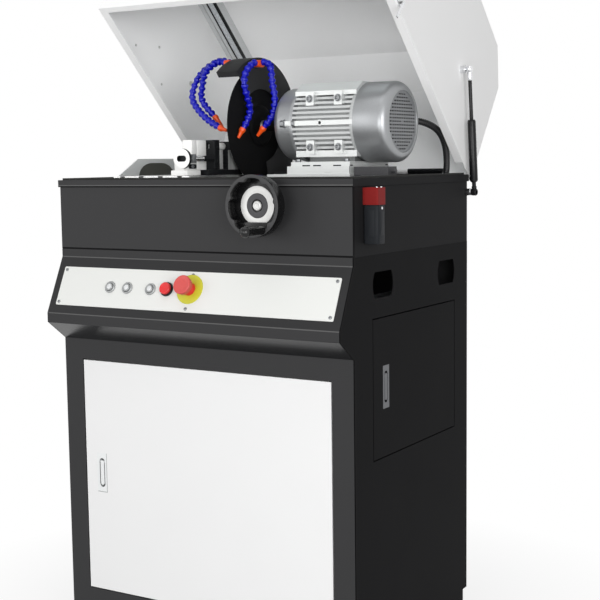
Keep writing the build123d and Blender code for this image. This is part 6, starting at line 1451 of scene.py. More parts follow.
@dataclass
class Motor:
    """The finned motor on its milled bed, with the carriage under it."""

    machine: Machine
    shield_radius: float = 0.077
    shield_dome: Profile = ((0, 14), (3, 7.5), (8, 3), (16, 0))
    flange_radius: float = 0.080
    flange: float = 0.010
    boss_radius: float = 0.030
    boss_length: float = 0.008
    boss_flare: float = 0.004
    bore: float = 0.0125
    side_lug_height: float = 0.012
    side_lug_length: float = 0.019
    side_lug_margins: Triple = (0.003, 0.002, 0.002)
    cover_radius: float = 0.0835
    cover_round: float = 0.018
    cover_wall: float = 0.002
    cover_wall_end: float = 0.0018
    recess_radius: float = 0.064
    recess_margin: float = 0.002
    recess: float = 0.0028
    recess_hem: Triple = (0.0012, 0.0004, 0.0006)
    grille_radius: float = 0.0575
    grille_hub: float = 0.004
    row_pitch: float = 0.007
    row_slot: float = 0.003
    dash_pitch: float = 0.0105
    dash: float = 0.0075
    lug_xs: Pair = (0.1395, 0.207)
    lug_face: float = 0.074
    lug_rise: float = 0.050
    lug_reach: Triple = (0.0096, 0.066, 0.066)
    lug_foot: float = 0.034
    rib_face: float = 0.082
    rib_half: float = 0.0052
    rib_root: float = 0.0801
    rib_start: float = 0.107
    rib_hole: float = 0.168
    rib_boss: Profile = ((-1, 3), (-1, 6.6), (0.8, 6.6), (0.8, 3.4), (-1, 3))
    rail_rise: float = 0.0565
    pad_depth: float = 0.0145
    frame_end: float = 0.008
    foot_thickness: float = 0.009
    foot_skin: float = 0.0004
    foot_bolts_x: Pair = (0.112, 0.228)
    foot_bolts_y: float = 0.077
    slot: Triple = (0.0006, 0.0125, 0.0026)
    saddle_end: float = 0.2502
    foot_end: float = 0.2507
    nut_drop: float = 0.0125
    shield_bolt_in: float = 0.0075
    shield_washer: Pair = (0.0098, 0.0014)
    shield_nut_in: float = 0.003

    def __post_init__(self) -> None:
        """Finds the spindle axis."""
        self.axis = self.machine.point("spindle_spin")

    def at(self, x: float, y: float = 0.0, z: float = 0.0) -> Vector:
        """A point given from the spindle axis."""
        return Vector((x, self.axis.y + y, self.axis.z + z))

    def block(self, x: Pair, y: Pair, z: Pair, side: int) -> tuple[Triple, Triple]:
        """The lowest and highest corner of a block, from its spans beside the spindle axis and its side."""
        near, far = sorted(side * face for face in y)
        return tuple(self.at(x[0], near, z[0])), tuple(self.at(x[1], far, z[1]))

    def build(self) -> None:
        """Dresses the frame and makes the shield, cover and bolts."""
        self.machine.dress("motor_frame", MOTOR_FRAME, (*self.foot_zones(), self.milled_faces()))
        self.machine.dress("motor_terminal_box", MOTOR, edge=0.0012)
        lock = Zone.between(DISC_GREY, (self.saddle_end, None, None))
        nut = Zone.between(BRASS, high=(None, None, Span.of("slide_rails").high.z - self.nut_drop))
        self.machine.dress("carriage", MILLED, (lock, nut), edge=0.0009)
        self.end_shield()
        self.fan_cover()
        self.grille()
        self.bolts()

    def milled_faces(self) -> Zone:
        """The pads above and below, the side ribs and the bolt lugs of the frame.

        Returns:
            Their zone.
        """
        end = Span.of("motor_frame").high.x - self.frame_end
        low = self.axis.z - self.rail_rise
        boxes: list[tuple[Corner, Corner]] = [
            ((None, None, self.axis.z + self.rail_rise), (end, None, None)),
            ((None, None, low - self.pad_depth), (end, None, low)),
        ]
        half, root, top = self.lug_reach
        for side in BOTH:
            boxes.append(self.block((self.rib_start, end), (self.rib_root, self.rib_face + LAP),
                                    (-self.rib_half, self.rib_half), side))
            face = (root, self.lug_face + LAP)
            for x in self.lug_xs:
                for height in ((-top, -self.lug_foot), (self.lug_foot, top)):
                    boxes.append(self.block((x - half, x + half), face, height, side))
        return Zone(MILLED, tuple(boxes))

    def foot_zones(self) -> list[Zone]:
        """The grey web above the foot, the milled foot, its end and the shadow in its slots.

        Returns:
            Their zones.
        """
        low, high = Span.of("motor_frame").low, Span.of("motor_frame").high
        top = low.z + self.foot_thickness + self.foot_skin
        pads = self.axis.z - self.rail_rise - self.pad_depth
        near, far, rise = self.slot
        slots = (((None, low.y + near, None), (None, low.y + far, low.z + rise)),
                 ((None, high.y - far, None), (None, high.y - near, low.z + rise)))
        return [Zone.between(WEB_GREY, (None, None, top), (None, None, pads)),
                Zone.between(MILLED, high=(self.foot_end, None, top)),
                Zone.between(DISC_GREY, (self.foot_end, None, None), (None, None, top)),
                # Painted shadow in the foot's slots.
                Zone(GLOSS_BLACK_AND_SHADE, slots)]

    def end_shield(self) -> None:
        """The turned drive-end shield with a bolt lug on each side."""
        box = Span.of("motor_end_shield")
        end, length = box.high.x, box.size.x
        r, bore, flange = self.shield_radius, self.bore, self.flange_radius
        dome = [(self.boss_length + along, r - below) for along, below in mm(self.shield_dome)]
        boss, shoulder = self.boss_radius, length - self.flange
        profile = [(0, bore), (0, boss), (self.boss_length, boss + self.boss_flare), *dome, (shoulder, r),
                   (shoulder, flange), (length, flange), (length, bore), (0, bore)]
        made = Shape().turn(profile, self.at(box.low.x), X, soften=0.0008, steps=96)
        start, half = end - self.side_lug_length, self.side_lug_height / 2
        front, back, root = self.side_lug_margins
        height = (-half, half)
        skins = []
        for side in BOTH:
            lug = self.block((start, end), (r - LAP * 10, self.rib_face), height, side)
            made.slab(*lug, soften=0.001)
            face = (r - root, self.rib_face + LAP)
            skins.append(self.block((start + front, end - back), face, height, side))
        made.done("drive_end_shield", "carriage_body", MOTOR, "motor_silver", (Zone(MILLED, tuple(skins)),),
                  replaces="motor_end_shield")

    def fan_cover(self) -> None:
        """A deep-drawn cover with a round shoulder and a sunk end."""
        box = Span.of("motor_fan_cover")
        length = box.size.x
        r, k, wall, lip = self.cover_radius, self.cover_round, self.cover_wall, self.recess_radius
        turns = [math.radians(a) for a in range(0, 91, 10)]
        outer = [(length - k + k * math.sin(t), r - k + k * math.cos(t)) for t in turns]
        inner = [(along - self.cover_wall_end, radius - wall) for along, radius in reversed(outer)
                 if radius - wall > lip - self.recess_margin]
        depth, draw, fold = self.recess_hem
        seat = length - self.recess - depth
        profile = [(0, r - wall), (0, r), *outer, (length, lip), (seat, lip - draw), (seat, lip + fold),
                   *inner[1:], (0, r - wall)]
        made = Shape().turn(profile, self.at(box.low.x), X, soften=0.0003, steps=96)
        made.done("fan_cover_shell", "carriage_body", MOTOR, "motor_silver", replaces="motor_fan_cover")

    def grille(self) -> None:
        """The cover's end plate, pierced by rows of short slots: a grid of cells with the slots left out."""
        part = bmesh.new()
        rows = 2 * int(self.recess_radius / self.row_pitch) + 3
        columns = 2 * int(self.recess_radius / self.dash_pitch) + 3
        bmesh.ops.create_grid(part, x_segments=2 * columns, y_segments=2 * rows, size=1.0)
        for vert in part.verts:
            column = round((vert.co.x + 1) * columns)
            row = round((vert.co.y + 1) * rows)
            vert.co = Vector((self.cell_edge(column, columns, self.dash_pitch, self.dash),
                              self.cell_edge(row, rows, self.row_pitch, self.row_slot), 0))
        gone = []
        for face in part.faces:
            middle = face.calc_center_median().length
            opened = self.grille_hub < middle < self.grille_radius and self.is_slot(face)
            if opened or middle > self.recess_radius + self.recess_margin:
                gone.append(face)
        bmesh.ops.delete(part, geom=gone, context="FACES")
        upright = Matrix(((0, 0, 1, 0), (1, 0, 0, 0), (0, 1, 0, 0), (0, 0, 0, 1)))
        place = Matrix.Translation(self.at(Span.of("motor_fan_cover").high.x - self.recess)) @ upright
        bmesh.ops.transform(part, matrix=place, verts=part.verts)
        bmesh.ops.recalc_face_normals(part, faces=part.faces)
        bmesh.ops.solidify(part, geom=part.faces[:], thickness=0.0012)
        Shape().add(part, soften=0).done("fan_grille", "carriage_body", MOTOR_FACE, "motor_silver")

    @staticmethod
    def cell_edge(number: int, count: int, pitch: float, slot: float) -> float:
        """Where a line of the grille's grid runs: even ones start a slot and odd ones end it."""
        cell = number // 2 + (slot / pitch if number % 2 else 0) - count / 2
        return cell * pitch - slot / 2 + pitch / 2

    def is_slot(self, face: bmesh.types.BMFace) -> bool:
        """Whether a cell of the grille's grid has the size of a slot."""
        wide, high = [max(v.co[i] for v in face.verts) - min(v.co[i] for v in face.verts) for i in (0, 1)]
        return abs(wide - self.dash) < 0.01 * MM and abs(high - self.row_slot) < 0.01 * MM

    def bolts(self) -> None:
        """Socket bolts on the lugs, hex bolts in shield and foot, and the plugged hole in each rib."""
        bolts, plugs, bosses = Shape(), Shape(), Shape()
        end = Span.of("motor_end_shield").high.x
        start = end - self.side_lug_length
        for side in BOTH:
            for x in self.lug_xs:
                for rise in BOTH:
                    place = self.at(x, side * self.lug_face, rise * self.lug_rise)
                    bolts.socket_bolt(place, Y * side, radius=0.0058)
            through = side * (self.rib_face - self.shield_bolt_in)
            radius, washer = self.shield_washer
            bolts.hexagon(self.at(start - washer, through), -X, radius=0.0088, height=0.0095)
            bolts.rod(self.at(start, through), X, radius, -washer)
            nut = self.at(end + LAP / 2, side * (self.rib_face - self.shield_nut_in))
            bolts.hexagon(nut, X, radius=0.0066, height=0.0065)
            hole = self.at(self.rib_hole, side * self.rib_face)
            bosses.turn(mm(self.rib_boss), hole, Y * side)
            plugs.rod(hole, Y * side, radius=0.0033, end=0.0003, soften=0)
        foot = Span.of("motor_frame").low.z + self.foot_thickness
        for x in self.foot_bolts_x:
            for side in BOTH:
                place = Vector((x, self.axis.y + side * self.foot_bolts_y, foot))
                bolts.hexagon(place, Z, radius=0.0062, height=0.006)
        bolts.done("motor_bolts", "carriage_body", BOLT_GREY, "bright_steel")
        bosses.done("rib_hole_bosses", "carriage_body", MILLED, "motor_silver")
        plugs.done("rib_hole_plugs", "carriage_body", GLOSS_BLACK_AND_SHADE, "strut_black")


@dataclass
class CuttingWheel:
    """The abrasive wheel on its spindle, under the guard."""

    machine: Machine
    shaft_radius: float = 0.012
    shaft_chamfer: float = 0.001
    flange_radius: float = 0.045
    flange: float = 0.008
    flange_edge: float = 0.004
    flange_taper: float = 0.006
    nut_radius: float = 0.017
    nut: float = 0.010
    unshaded_ring: Pair = (0.001, 0.006)
    fan_length: float = 0.026
    fan_radius: float = 0.066
    fan_hub: float = 0.022
    blade_root: float = 0.02
    blade_half: float = 0.0015
    blades: int = 8
    guard_radius: float = 0.148
    guard_wall: float = 0.002
    guard_width: float = 0.054
    hole_radius: float = 0.080
    front_angle: float = math.radians(130)
    rear_angle: float = math.radians(0)
    plate_angle: float = math.radians(-78)
    lip: float = 0.014
    bracket_wall: float = 0.006
    bracket_height: float = 0.043
    bracket_y: Pair = (0.075, 0.125)

    def __post_init__(self) -> None:
        """Finds a point of the spindle's axis, at X nought."""
        self.axis = self.machine.point("spindle_spin") * Vector((0, 1, 1))

    def build(self) -> None:
        """Makes the wheel, spindle, fan and guard."""
        self.wheel()
        self.spindle()
        self.fan()
        self.guard()

    def wheel(self) -> None:
        """A thin resin-bonded disc."""
        box = Span.of("abrasive_wheel")
        radii = (self.shaft_radius, box.size.z / 2)
        made = Shape().tube(self.axis, X, radii, (box.low.x, box.high.x), soften=0.0002, steps=128)
        made.done("cutting_wheel", "spindle_body", GRIT, "abrasive_black", replaces="abrasive_wheel")

    def spindle(self) -> None:
        """Shaft, two flanges and a nut; the steel shaft is painted near black as shade, all but one bright
        ring.
        """
        shaft, wheel = Span.of("spindle"), Span.of("abrasive_wheel")
        s, f = self.shaft_radius, self.flange_radius
        start, end, left, right = shaft.low.x, shaft.high.x, wheel.low.x, wheel.high.x
        outer_left, outer_right = left - self.flange, right + self.flange
        made = Shape().turn([
            (start, 0), (start, s - self.shaft_chamfer), (start + self.shaft_chamfer, s),
            (outer_left, s), (outer_left, f - self.flange_taper), (left - self.flange_edge, f), (left, f),
            (left, s), (right, s), (right, f), (right + self.flange_edge, f),
            (outer_right, f - self.flange_taper), (outer_right, s), (end, s), (end, 0)],
            self.axis, X, steps=64)
        made.hexagon(self.axis + X * outer_left, -X, self.nut_radius, self.nut, soften=0.0008)
        # Painted shade: the steel shaft is painted near black where the guard shades it, but for a thin ring
        # beside the outer right flange that keeps its bright steel.
        near, far = self.unshaded_ring
        unshaded = Zone.between(BRIGHT, (outer_right + near, None, None), (outer_right + far, None, None))
        made.done("spindle_shaft", "spindle_body", FLANGE_BLACK_AND_SHADOW, "bright_steel", (unshaded,), replaces="spindle")

    def fan(self) -> None:
        """The cooling fan at the spindle's far end."""
        root = self.axis + X * (Span.of("spindle").high.x - self.fan_length)
        fan = Shape().tube(root, X, (self.shaft_radius, self.fan_hub), (0, self.fan_length), soften=0.0006)
        blade = Shape().slab((0, self.blade_root, -self.blade_half),
                             (self.fan_length, self.fan_radius, self.blade_half), soften=0.0005)
        turns = (Matrix.Rotation(math.tau * i / self.blades, 4, "X") for i in range(self.blades))
        fan.stamp(blade, (Matrix.Translation(root) @ turn for turn in turns))
        fan.done("cooling_fan", "spindle_body", RUBBER, "rubber_black")

    def guard(self) -> None:
        """A bent band with a front lip, its side plate and the bracket that carries it."""
        box = Span.of("wheel_guard")
        left, right = box.low.x, box.low.x + self.guard_width
        r, wall = self.guard_radius, self.guard_wall
        front = Matrix.Rotation(self.front_angle, 3, "X") @ Y
        made = Shape()
        made.tube(self.axis, X, (r - wall, r), (left, right), soften=0.0006, steps=64,
                  angle=self.rear_angle - self.front_angle, side=front)
        made.tube(self.axis, X, (self.hole_radius, r), (right - wall, right), soften=0.0006, steps=96,
                  angle=self.plate_angle - self.front_angle, side=front)
        edge = [(0, 0), (self.lip, 0), (self.lip, wall), (0, wall)]
        made.prism(edge, self.axis + front * r + X * left, -front, -X.cross(front), self.guard_width,
                   soften=0.0005)
        near, far = self.bracket_y
        z = box.low.z
        made.slab((right, near, z), (right + self.bracket_wall, far, z + self.bracket_height), soften=0.0008)
        made.slab((right, near, z), (box.high.x, far, z + self.bracket_wall), soften=0.0008)
        made.done("guard_shell", "carriage_body", BLACK, "guard_black", replaces="wheel_guard")


@dataclass(frozen=True)
class Route:
    """The middle line of a jointed hose and its nozzle's tip: X, then back and up from the spindle, in mm."""

    points: tuple[Triple, ...]
    tip: Triple


HOSES = (
    Route((
        (-95, -20, 138.5), (-106, -20, 142.5), (-118, -20, 144.5), (-132, -21, 142), (-148, -23, 135),
        (-162, -26, 124.5), (-174, -29, 112.5), (-180, -33, 98.5), (-184, -38, 84.5), (-184, -43, 69.5),
        (-178, -48, 55.5), (-166, -53, 43.5), (-152, -58, 31.5), (-137, -62, 20.5), (-122, -66, 11.5),
        (-106, -69, 3.5), (-91, -72, -3.5)), (-70, -75, -10.5)),
    Route((
        (-95, -39, 137.5), (-104, -39, 140.5), (-115, -39, 140.5), (-127, -39, 135.5), (-138, -40, 128.5),
        (-147, -41, 119.5), (-152, -42, 108.5), (-155, -42, 95.5), (-158, -42, 81.5), (-160, -42, 67.5),
        (-155, -42, 53.5), (-146, -42, 42.5), (-136, -42, 32.5), (-125, -42, 22.5)), (-104, -42, -0.5)),
    Route((
        (-14, -44, 134.5), (-15, -57, 129.5), (-16, -71, 119.5), (-16, -81, 107.5), (-15, -86, 93.5),
        (-14, -85, 78.5), (-13, -80, 64.5), (-12, -75, 51.5), (-11, -72, 38.5), (-11, -73, 25.5),
        (-13, -77, 13.5), (-15, -82, 3.5), (-18, -88, -6.5)), (-26, -96, -27.5)),
    Route((
        (-6, -26, 136.5), (7, -27, 134.5), (17, -31, 124.5), (21, -34, 109.5), (24, -37, 94.5),
        (29, -40, 78.5), (34, -43, 62.5), (36, -46, 46.5), (35, -48, 30.5), (31, -51, 17.5), (23, -54, 5.5),
        (15, -57, -4.5)), (0, -61, -23.5)),
)
CONDUIT_SHARES: tuple[Triple, ...] = (
    (0, 0, 0), (0.45, 0.06, 0.01), (0.84, 0.34, 0.03), (1.06, 0.8, 0.11), (1.12, 1.12, 0.28),
    (1.1, 1.17, 0.55), (1, 1, 1))


@dataclass
class Line:
    """The smooth line of a cord or hose.

    Attributes:
        points: close points along it, from end to end.
    """

    points: list[Vector]

    @classmethod
    def through(cls, route: Sequence[Vector]) -> Line:
        """Draws a NURBS line along a route.

        Args:
            route: the points that it follows.

        Returns:
            The line.
        """
        data = bpy.data.curves.new("route", "CURVE")
        data.dimensions = "3D"
        data.resolution_u = 12
        spline = data.splines.new("NURBS")
        spline.points.add(len(route) - 1)
        for held, point in zip(spline.points, route):
            held.co = (*point, 1.0)
        spline.order_u = 3
        spline.use_endpoint_u = True
        holder = bpy.data.objects.new("route", data)
        mesh = bpy.data.meshes.new_from_object(holder)
        found = cls([v.co.copy() for v in mesh.vertices])
        bpy.data.objects.remove(holder)
        bpy.data.meshes.remove(mesh)
        bpy.data.curves.remove(data)
        return found

    def spans(self) -> list[float]:
        """The lengths between its points."""
        return [(b - a).length for a, b in zip(self.points, self.points[1:])]

    def places(self, count: int) -> list[Matrix]:
        """Even places along the line.

        Args:
            count: how many.

        Returns:
            Places whose Z runs along the line, the first at its start.
        """
        lengths = self.spans()
        total = sum(lengths)
        found = []
        for i in range(count):
            left = total * i / count
            span = 0
            while span < len(lengths) - 1 and left > lengths[span]:
                left -= lengths[span]
                span += 1
            way = (self.points[span + 1] - self.points[span]).normalized()
            found.append(facing(self.points[span] + way * left, way))
        return found


@dataclass
class CoolantLines:
    """The coolant pipe with its fittings, jointed hoses and nozzles, and the motor's conduit."""

    machine: Machine
    pitch: float = 0.0135
    skirt: float = 0.0077
    skirt_edge: float = 0.0009
    neck: float = 0.0053
    bore: float = 0.0036
    nozzle_collar: Profile = ((0, 2.4), (0, 6.6), (4, 7.2), (7.5, 6.8), (9, 5.6))
    nozzle_waist: Pair = (0.6, 0.0044)
    nozzle_end: Pair = (0.0032, 0.0022)
    left_fitting: Pair = (0.012, 0.034)
    right_fitting: Pair = (0.014, 0.024)
    fitting_height: float = 0.015
    fitting_drop: float = 0.003
    fitting_round: float = 0.006
    pipe_rise: float = 0.008
    pipe_radius: float = 0.007
    conduit_radius: float = 0.0075
    rib_pitch: float = 0.004
    rib: Profile = ((0, 5.8), (0.4, 6.6), (1, 7.4), (2.6, 7.4), (3.2, 6.6), (4.2, 6.4))

    def build(self) -> None:
        """Makes the hoses, nozzles, fittings and conduit."""
        hoses, nozzles = Shape(), Shape()
        bead = self.bead()
        for route in HOSES:
            line = Line.through([self.beside_spindle(point) for point in route.points])
            hoses.stamp(bead, line.places(round(sum(line.spans()) / self.pitch)))
            self.nozzle(nozzles, line.points[-1], self.beside_spindle(route.tip))
        hoses.done("jointed_hoses", "carriage_body", HOSE, "hose_blue", replaces="coolant_hoses")
        nozzles.done("hose_nozzles", "carriage_body", ORANGE, "nozzle_orange", replaces="coolant_nozzles")
        self.manifold()
        self.conduit()

    def beside_spindle(self, point: Triple) -> Vector:
        """A point of a route in the machine's frame."""
        return self.machine.point("spindle_spin") * Vector((0, 1, 1)) + Vector(point) * MM

    def bead(self) -> Shape:
        """One ball-and-socket segment of a hose.

        Returns:
            The segment, standing on the origin along Z.
        """
        s, n, p, bore = self.skirt, self.neck, self.pitch, self.bore
        profile = [(0, bore), (0, s - self.skirt_edge), (p * 0.07, s), (p * 0.2, s * 1.03), (p * 0.36, s),
                   (p * 0.48, s * 0.86), (p * 0.56, n * 1.08), (p * 0.64, n), (p * 1.12, n * 0.98),
                   (p * 1.12, bore), (0, bore)]
        return Shape().turn(profile, Vector(), Z, soften=0.0003, steps=22)

    def nozzle(self, made: Shape, root: Vector, tip: Vector) -> None:
        """Adds a tapered nozzle with a collar.

        Args:
            made: the shape that it is added to.
            root: where the hose ends.
            tip: where the nozzle ends.
        """
        length = (tip - root).length
        collar = mm(self.nozzle_collar)
        share, waist = self.nozzle_waist
        outside, inside = self.nozzle_end
        profile = [*collar, (length * share, waist), (length, outside), (length, inside), collar[0]]
        made.turn(profile, root, (tip - root).normalized(), soften=0.0003, steps=26)

    def manifold(self) -> None:
        """The cross pipe and a rounded fitting at each end."""
        box = Span.of("coolant_manifold")
        y, z, height = box.mid.y, box.low.z, self.fitting_height
        (left_length, left_width), (right_length, right_width) = self.left_fitting, self.right_fitting
        left, right = box.low.x + left_length, box.high.x - right_length
        made = Shape()
        for start, end, width, top in ((box.low.x, left, left_width, box.high.z - self.fitting_drop),
                                       (right, box.high.x, right_width, z + height)):
            made.slab((start, y - width / 2, top - height), (end, y + width / 2, top), soften=0.0008,
                      corner=self.fitting_round, axis=X)
        made.rod(Vector((left, y, z + self.pipe_rise)), X, self.pipe_radius, right - left)
        made.done("coolant_fittings", "carriage_body", ORANGE, "nozzle_orange", replaces="coolant_manifold")

    def conduit(self) -> None:
        """The ribbed sleeve from the terminal box to the floor of the tub."""
        box = Span.of("conduit")
        r = self.conduit_radius
        start = Vector((box.low.x, box.low.y + r, box.high.z - r))
        end = Vector((box.high.x - r, box.high.y - r, box.low.z))
        line = Line.through([start + (end - start) * Vector(share) for share in CONDUIT_SHARES])
        length = sum(line.spans())
        rib = Shape().turn(mm(self.rib), Vector(), Z, soften=0, steps=24)
        made = Shape().stamp(rib, line.places(int(length / self.rib_pitch)))
        piece = made.done("conduit_sleeve", "cabinet", CONDUIT, "conduit_black", replaces="conduit")
        piece.parent = None
        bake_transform(piece)


@dataclass
class Hood:
    """The white hood with its window, lamp, handle, hinge, key and gas springs.

    Attributes:
        lamp_rails: bars in mm, with sides from the left cheek, and bottom and top from the lamp's bottom.
        lamp_trough: bars of the trough, in the same way.
        lamp_strip: the light strip, in the same way.
        inside_screws: how far forwards and up of the hinge each one is, and its radius.
    """

    machine: Machine
    wall: float = 0.002
    lamp_back: float = 0.082
    lamp_length: float = 0.240
    lamp_bottom: float = 0.290
    lamp_rails: Bars = ((0, 13, 0, 30), (15.5, 26.5, -1, 30), (46.5, 50, 7, 30))
    lamp_trough: Bars = ((26.5, 29.5, -2, 30), (29.5, 46.5, 6, 30), (46.5, 50, -2, 7))
    lamp_strip: Bars = ((29.7, 46.3, -0.5, 6),)
    strip_inset: float = 0.006
    bar_radius: float = 0.008
    bar_end: float = 0.6
    bar_out: float = 0.036
    bar_rise: float = 0.045
    bar_foot: Profile = ((0, 0), (0, 11), (3, 11), (4, 7))
    overhang: float = 0.0046
    tube_start: float = 0.022
    tube_length: float = 0.136
    tube_radius: float = 0.009
    tube_bore: float = 0.0046
    foot_eye: Profile = ((-6, 0), (-6, 6.4), (-4, 7.8), (4, 7.8), (6, 6.4), (6, 0))
    rod_radius: float = 0.004
    rod_inside: float = 0.028
    rod_end: float = 0.022
    rod_cap: Profile = ((-24, 0), (-24, 5.2), (-9, 5.2), (-6, 4), (0, 4), (0, 0))
    inside_screws: tuple[Triple, ...] = (
        (0.389, 0.035, 0.0032), (0.327, 0.097, 0.0032), (0.263, 0.039, 0.0032), (0.184, 0.1265, 0.0062))
    hinge_screws: int = 6
    hinge_screw_pitch: float = 0.1
    hinge_screw: Triple = (-0.0255, 0.012, 0.003)

    def __post_init__(self) -> None:
        """Reads the hinge and how far the hood stands open."""
        joint = self.machine.joints["hood_hinge_turn"]
        self.hinge = Vector(joint["pos_m"])
        turn = math.radians(joint["range_deg"][1])
        self.ahead = Vector((0, -math.cos(turn), math.sin(turn)))
        self.above = Vector((0, math.sin(turn), math.cos(turn)))
        self.left = Span.of("hood_shell").low.x + self.wall

    def at(self, x: float, u: float, w: float) -> Vector:
        """A point of the hood, u forwards and w upwards of its hinge when shut."""
        return Vector((x, self.hinge.y, self.hinge.z)) + self.ahead * u + self.above * w

    def build(self) -> None:
        """Dresses the hood and makes its fittings."""
        self.machine.dress("hood_shell", HOOD_WHITE, edge=0.0009)
        self.machine.dress("hood_window", PANE, edge=0.0005)
        self.machine.dress("hood_hinge", JAW_BLACK_AND_SHADE, edge=0.0005)
        self.machine.dress("interlock_key", CHROME, edge=0.0004)
        for node in ("spring_lower_studs", "spring_upper_studs"):
            self.machine.dress(node, CHROME, edge=0.0008)
        self.lamp()
        self.handle()
        self.screws()
        for side in ("right", "left"):
            self.gas_spring(side)

    def bars(self, sides: Bars, inset: float = 0.0) -> Shape:
        """Straight bars that run along the hood.

        Args:
            sides: the sides of each bar, as the class says.
            inset: how far each bar stops short of the lamp's ends.

        Returns:
            The bars.
        """
        made = Shape()
        start = self.at(self.left, self.lamp_back + inset, self.lamp_bottom)
        for x0, x1, w0, w1 in sides:
            made.prism(mm(((x0, w0), (x1, w0), (x1, w1), (x0, w1))), start, X, self.above,
                       self.lamp_length - 2 * inset, soften=0.0006)
        return made

    def lamp(self) -> None:
        """Two aluminium rails and a dark trough with a speckled light strip."""
        rails = self.bars(self.lamp_rails)
        rails.done("lamp_rails", "hood", ANODISED, "lamp_aluminium", replaces="hood_lamp")
        self.bars(self.lamp_trough).done("lamp_trough", "hood", GLOSS_BLACK_AND_SHADE, "strut_black")
        self.bars(self.lamp_strip, self.strip_inset).done("lamp_strip", "hood", LED, "lamp_aluminium")

    def handle(self) -> None:
        """The grab bar across the hood's front, on two feet."""
        r, out, round_end = self.bar_radius, self.bar_out, self.bar_radius * self.bar_end
        half = Span.of("hood_handle").size.x / 2 - r
        front = self.hinge.y - Span.of("cabinet_front_frame").low.y + self.overhang
        bar = [(-half - r, 0), (-half - r, round_end), (-half - round_end, r), (half + round_end, r),
               (half + r, round_end), (half + r, 0)]
        made = Shape().turn(bar, self.at(0, front + out, self.bar_rise), X, soften=0.001)
        foot = mm(self.bar_foot)
        foot += [(out, foot[-1][1]), (out, 0)]
        for x in (-half, half):
            made.turn(foot, self.at(x, front, self.bar_rise), self.ahead, soften=0.0006)
        made.done("grab_bar", "hood", CHROME, "dark_steel", replaces="hood_handle")

    def screws(self) -> None:
        """Small screws inside the left cheek and above the hinge."""
        made = Shape()
        for u, w, radius in self.inside_screws:
            made.screw(self.at(self.left, u, w), X, radius)
        u, w, radius = self.hinge_screw
        for i in range(self.hinge_screws):
            x = (i - (self.hinge_screws - 1) / 2) * self.hinge_screw_pitch
            made.screw(self.at(x, u, w), self.ahead, radius)
        made.done("hood_screws", "hood", BRIGHT, "bright_steel")

    def gas_spring(self, side: str) -> None:
        """A gas spring between its studs, as a tube and a rod.

        Args:
            side: right or left.
        """
        foot = self.machine.point(f"gas_spring_pivot_{side}")
        way = self.machine.axis(f"gas_spring_slide_{side}")
        stud = (Span.of("spring_upper_studs").mid - foot).dot(way)
        start, end = self.tube_start, self.tube_start + self.tube_length
        r, bore = self.tube_radius, self.tube_bore
        tube_body, rod_body = f"spring_tube_{side}", f"spring_rod_{side}"
        tube = Shape().turn([(start, 0), (start, r * 0.72), (start + 0.004, r), (end - 0.004, r),
                             (end - 0.001, r * 0.86), (end, r * 0.8), (end, bore), (start + 0.006, bore),
                             (start + 0.006, 0)], foot, way, soften=0.0005)
        tube.done(f"strut_tube_{side}", tube_body, GLOSS_BLACK_AND_SHADE, "strut_black",
                  replaces=f"gas_spring_cylinder_{side}")
        socket = Shape().turn([(0.004, 0), (0.004, 0.0052), (start * 0.55, 0.0056), (start * 0.6, 0.0044),
                               (start, 0.0044), (start, 0)], foot, way)
        socket.turn(mm(self.foot_eye), foot, X, soften=0.0006)
        socket.done(f"strut_foot_{side}", tube_body, JAW_BLACK_AND_SHADE, "dark_steel")
        rod = Shape().rod(foot, way, self.rod_radius, stud - self.rod_end, end - self.rod_inside)
        rod.done(f"strut_rod_{side}", rod_body, GLOSS_BLACK_AND_SHADE, "dark_steel", replaces=f"gas_spring_rod_{side}")
        upper = foot + way * stud
        cap = Shape().turn(mm(self.rod_cap), upper, way).ball(upper, radius=0.0076)
        cap.done(f"strut_cap_{side}", rod_body, CHROME, "chrome_trim")


@dataclass
class SafetySwitch:
    """The interlock switch on the tub's right wall: a red head on a black body."""

    machine: Machine
    head_height: float = 0.033
    slot: Pair = (0.0046, 0.013)
    body_round: float = 0.006
    cover_round: float = 0.003
    cover_proud: float = 0.0006
    side_cover: Triple = (0.006, 0.016, 0.012)
    front_cover: Triple = (0.008, 0.014, 0.008)
    head_screw_inset: float = 0.006
    cover_screw_drop: float = 0.006

    def build(self) -> None:
        """Makes the head, the body with its covers and the screws."""
        box = Span.of("interlock_switch")
        low, high, mid = box.low, box.high, box.mid
        seam = high.z - self.head_height
        key_x = Span.of("interlock_key").high.x - LAP
        hole = [(x + key_x - mid.x, y) for x, y in box_ring(48, self.slot[0] / 2, self.slot[1] / 2)]
        head = Shape().prism(box_ring(48, box.size.x / 2, box.size.y / 2), Vector((mid.x, mid.y, seam)), X, Y,
                             self.head_height, soften=0.0012, hole=hole)
        head.done("switch_head", "cabinet", SWITCH_RED, "signal_red", replaces="interlock_switch")
        body = Shape().slab(low, (high.x, high.y, seam), 0.002, self.body_round, Z)
        inset, above, below = self.side_cover
        body.slab((high.x - LAP, low.y + inset, low.z + above),
                  (high.x + self.cover_proud, high.y - inset, seam - below), 0.0008, self.cover_round, X)
        inset, above, below = self.front_cover
        body.slab((low.x + inset, low.y - self.cover_proud, low.z + above),
                  (high.x - inset, low.y + LAP, seam - below), 0.0006, self.cover_round, Y)
        body.done("switch_body", "cabinet", SWITCH_BLACK, "strut_black")
        screws = Shape()
        inset = self.head_screw_inset
        for y in (low.y + inset, high.y - inset):
            screws.screw(Vector((high.x - inset, y, high.z)), Z, radius=0.0026)
        screws.screw(Vector((high.x, mid.y, seam - self.cover_screw_drop)), X, radius=0.0028)
        screws.done("switch_screws", "cabinet", CHROME, "chrome_trim")


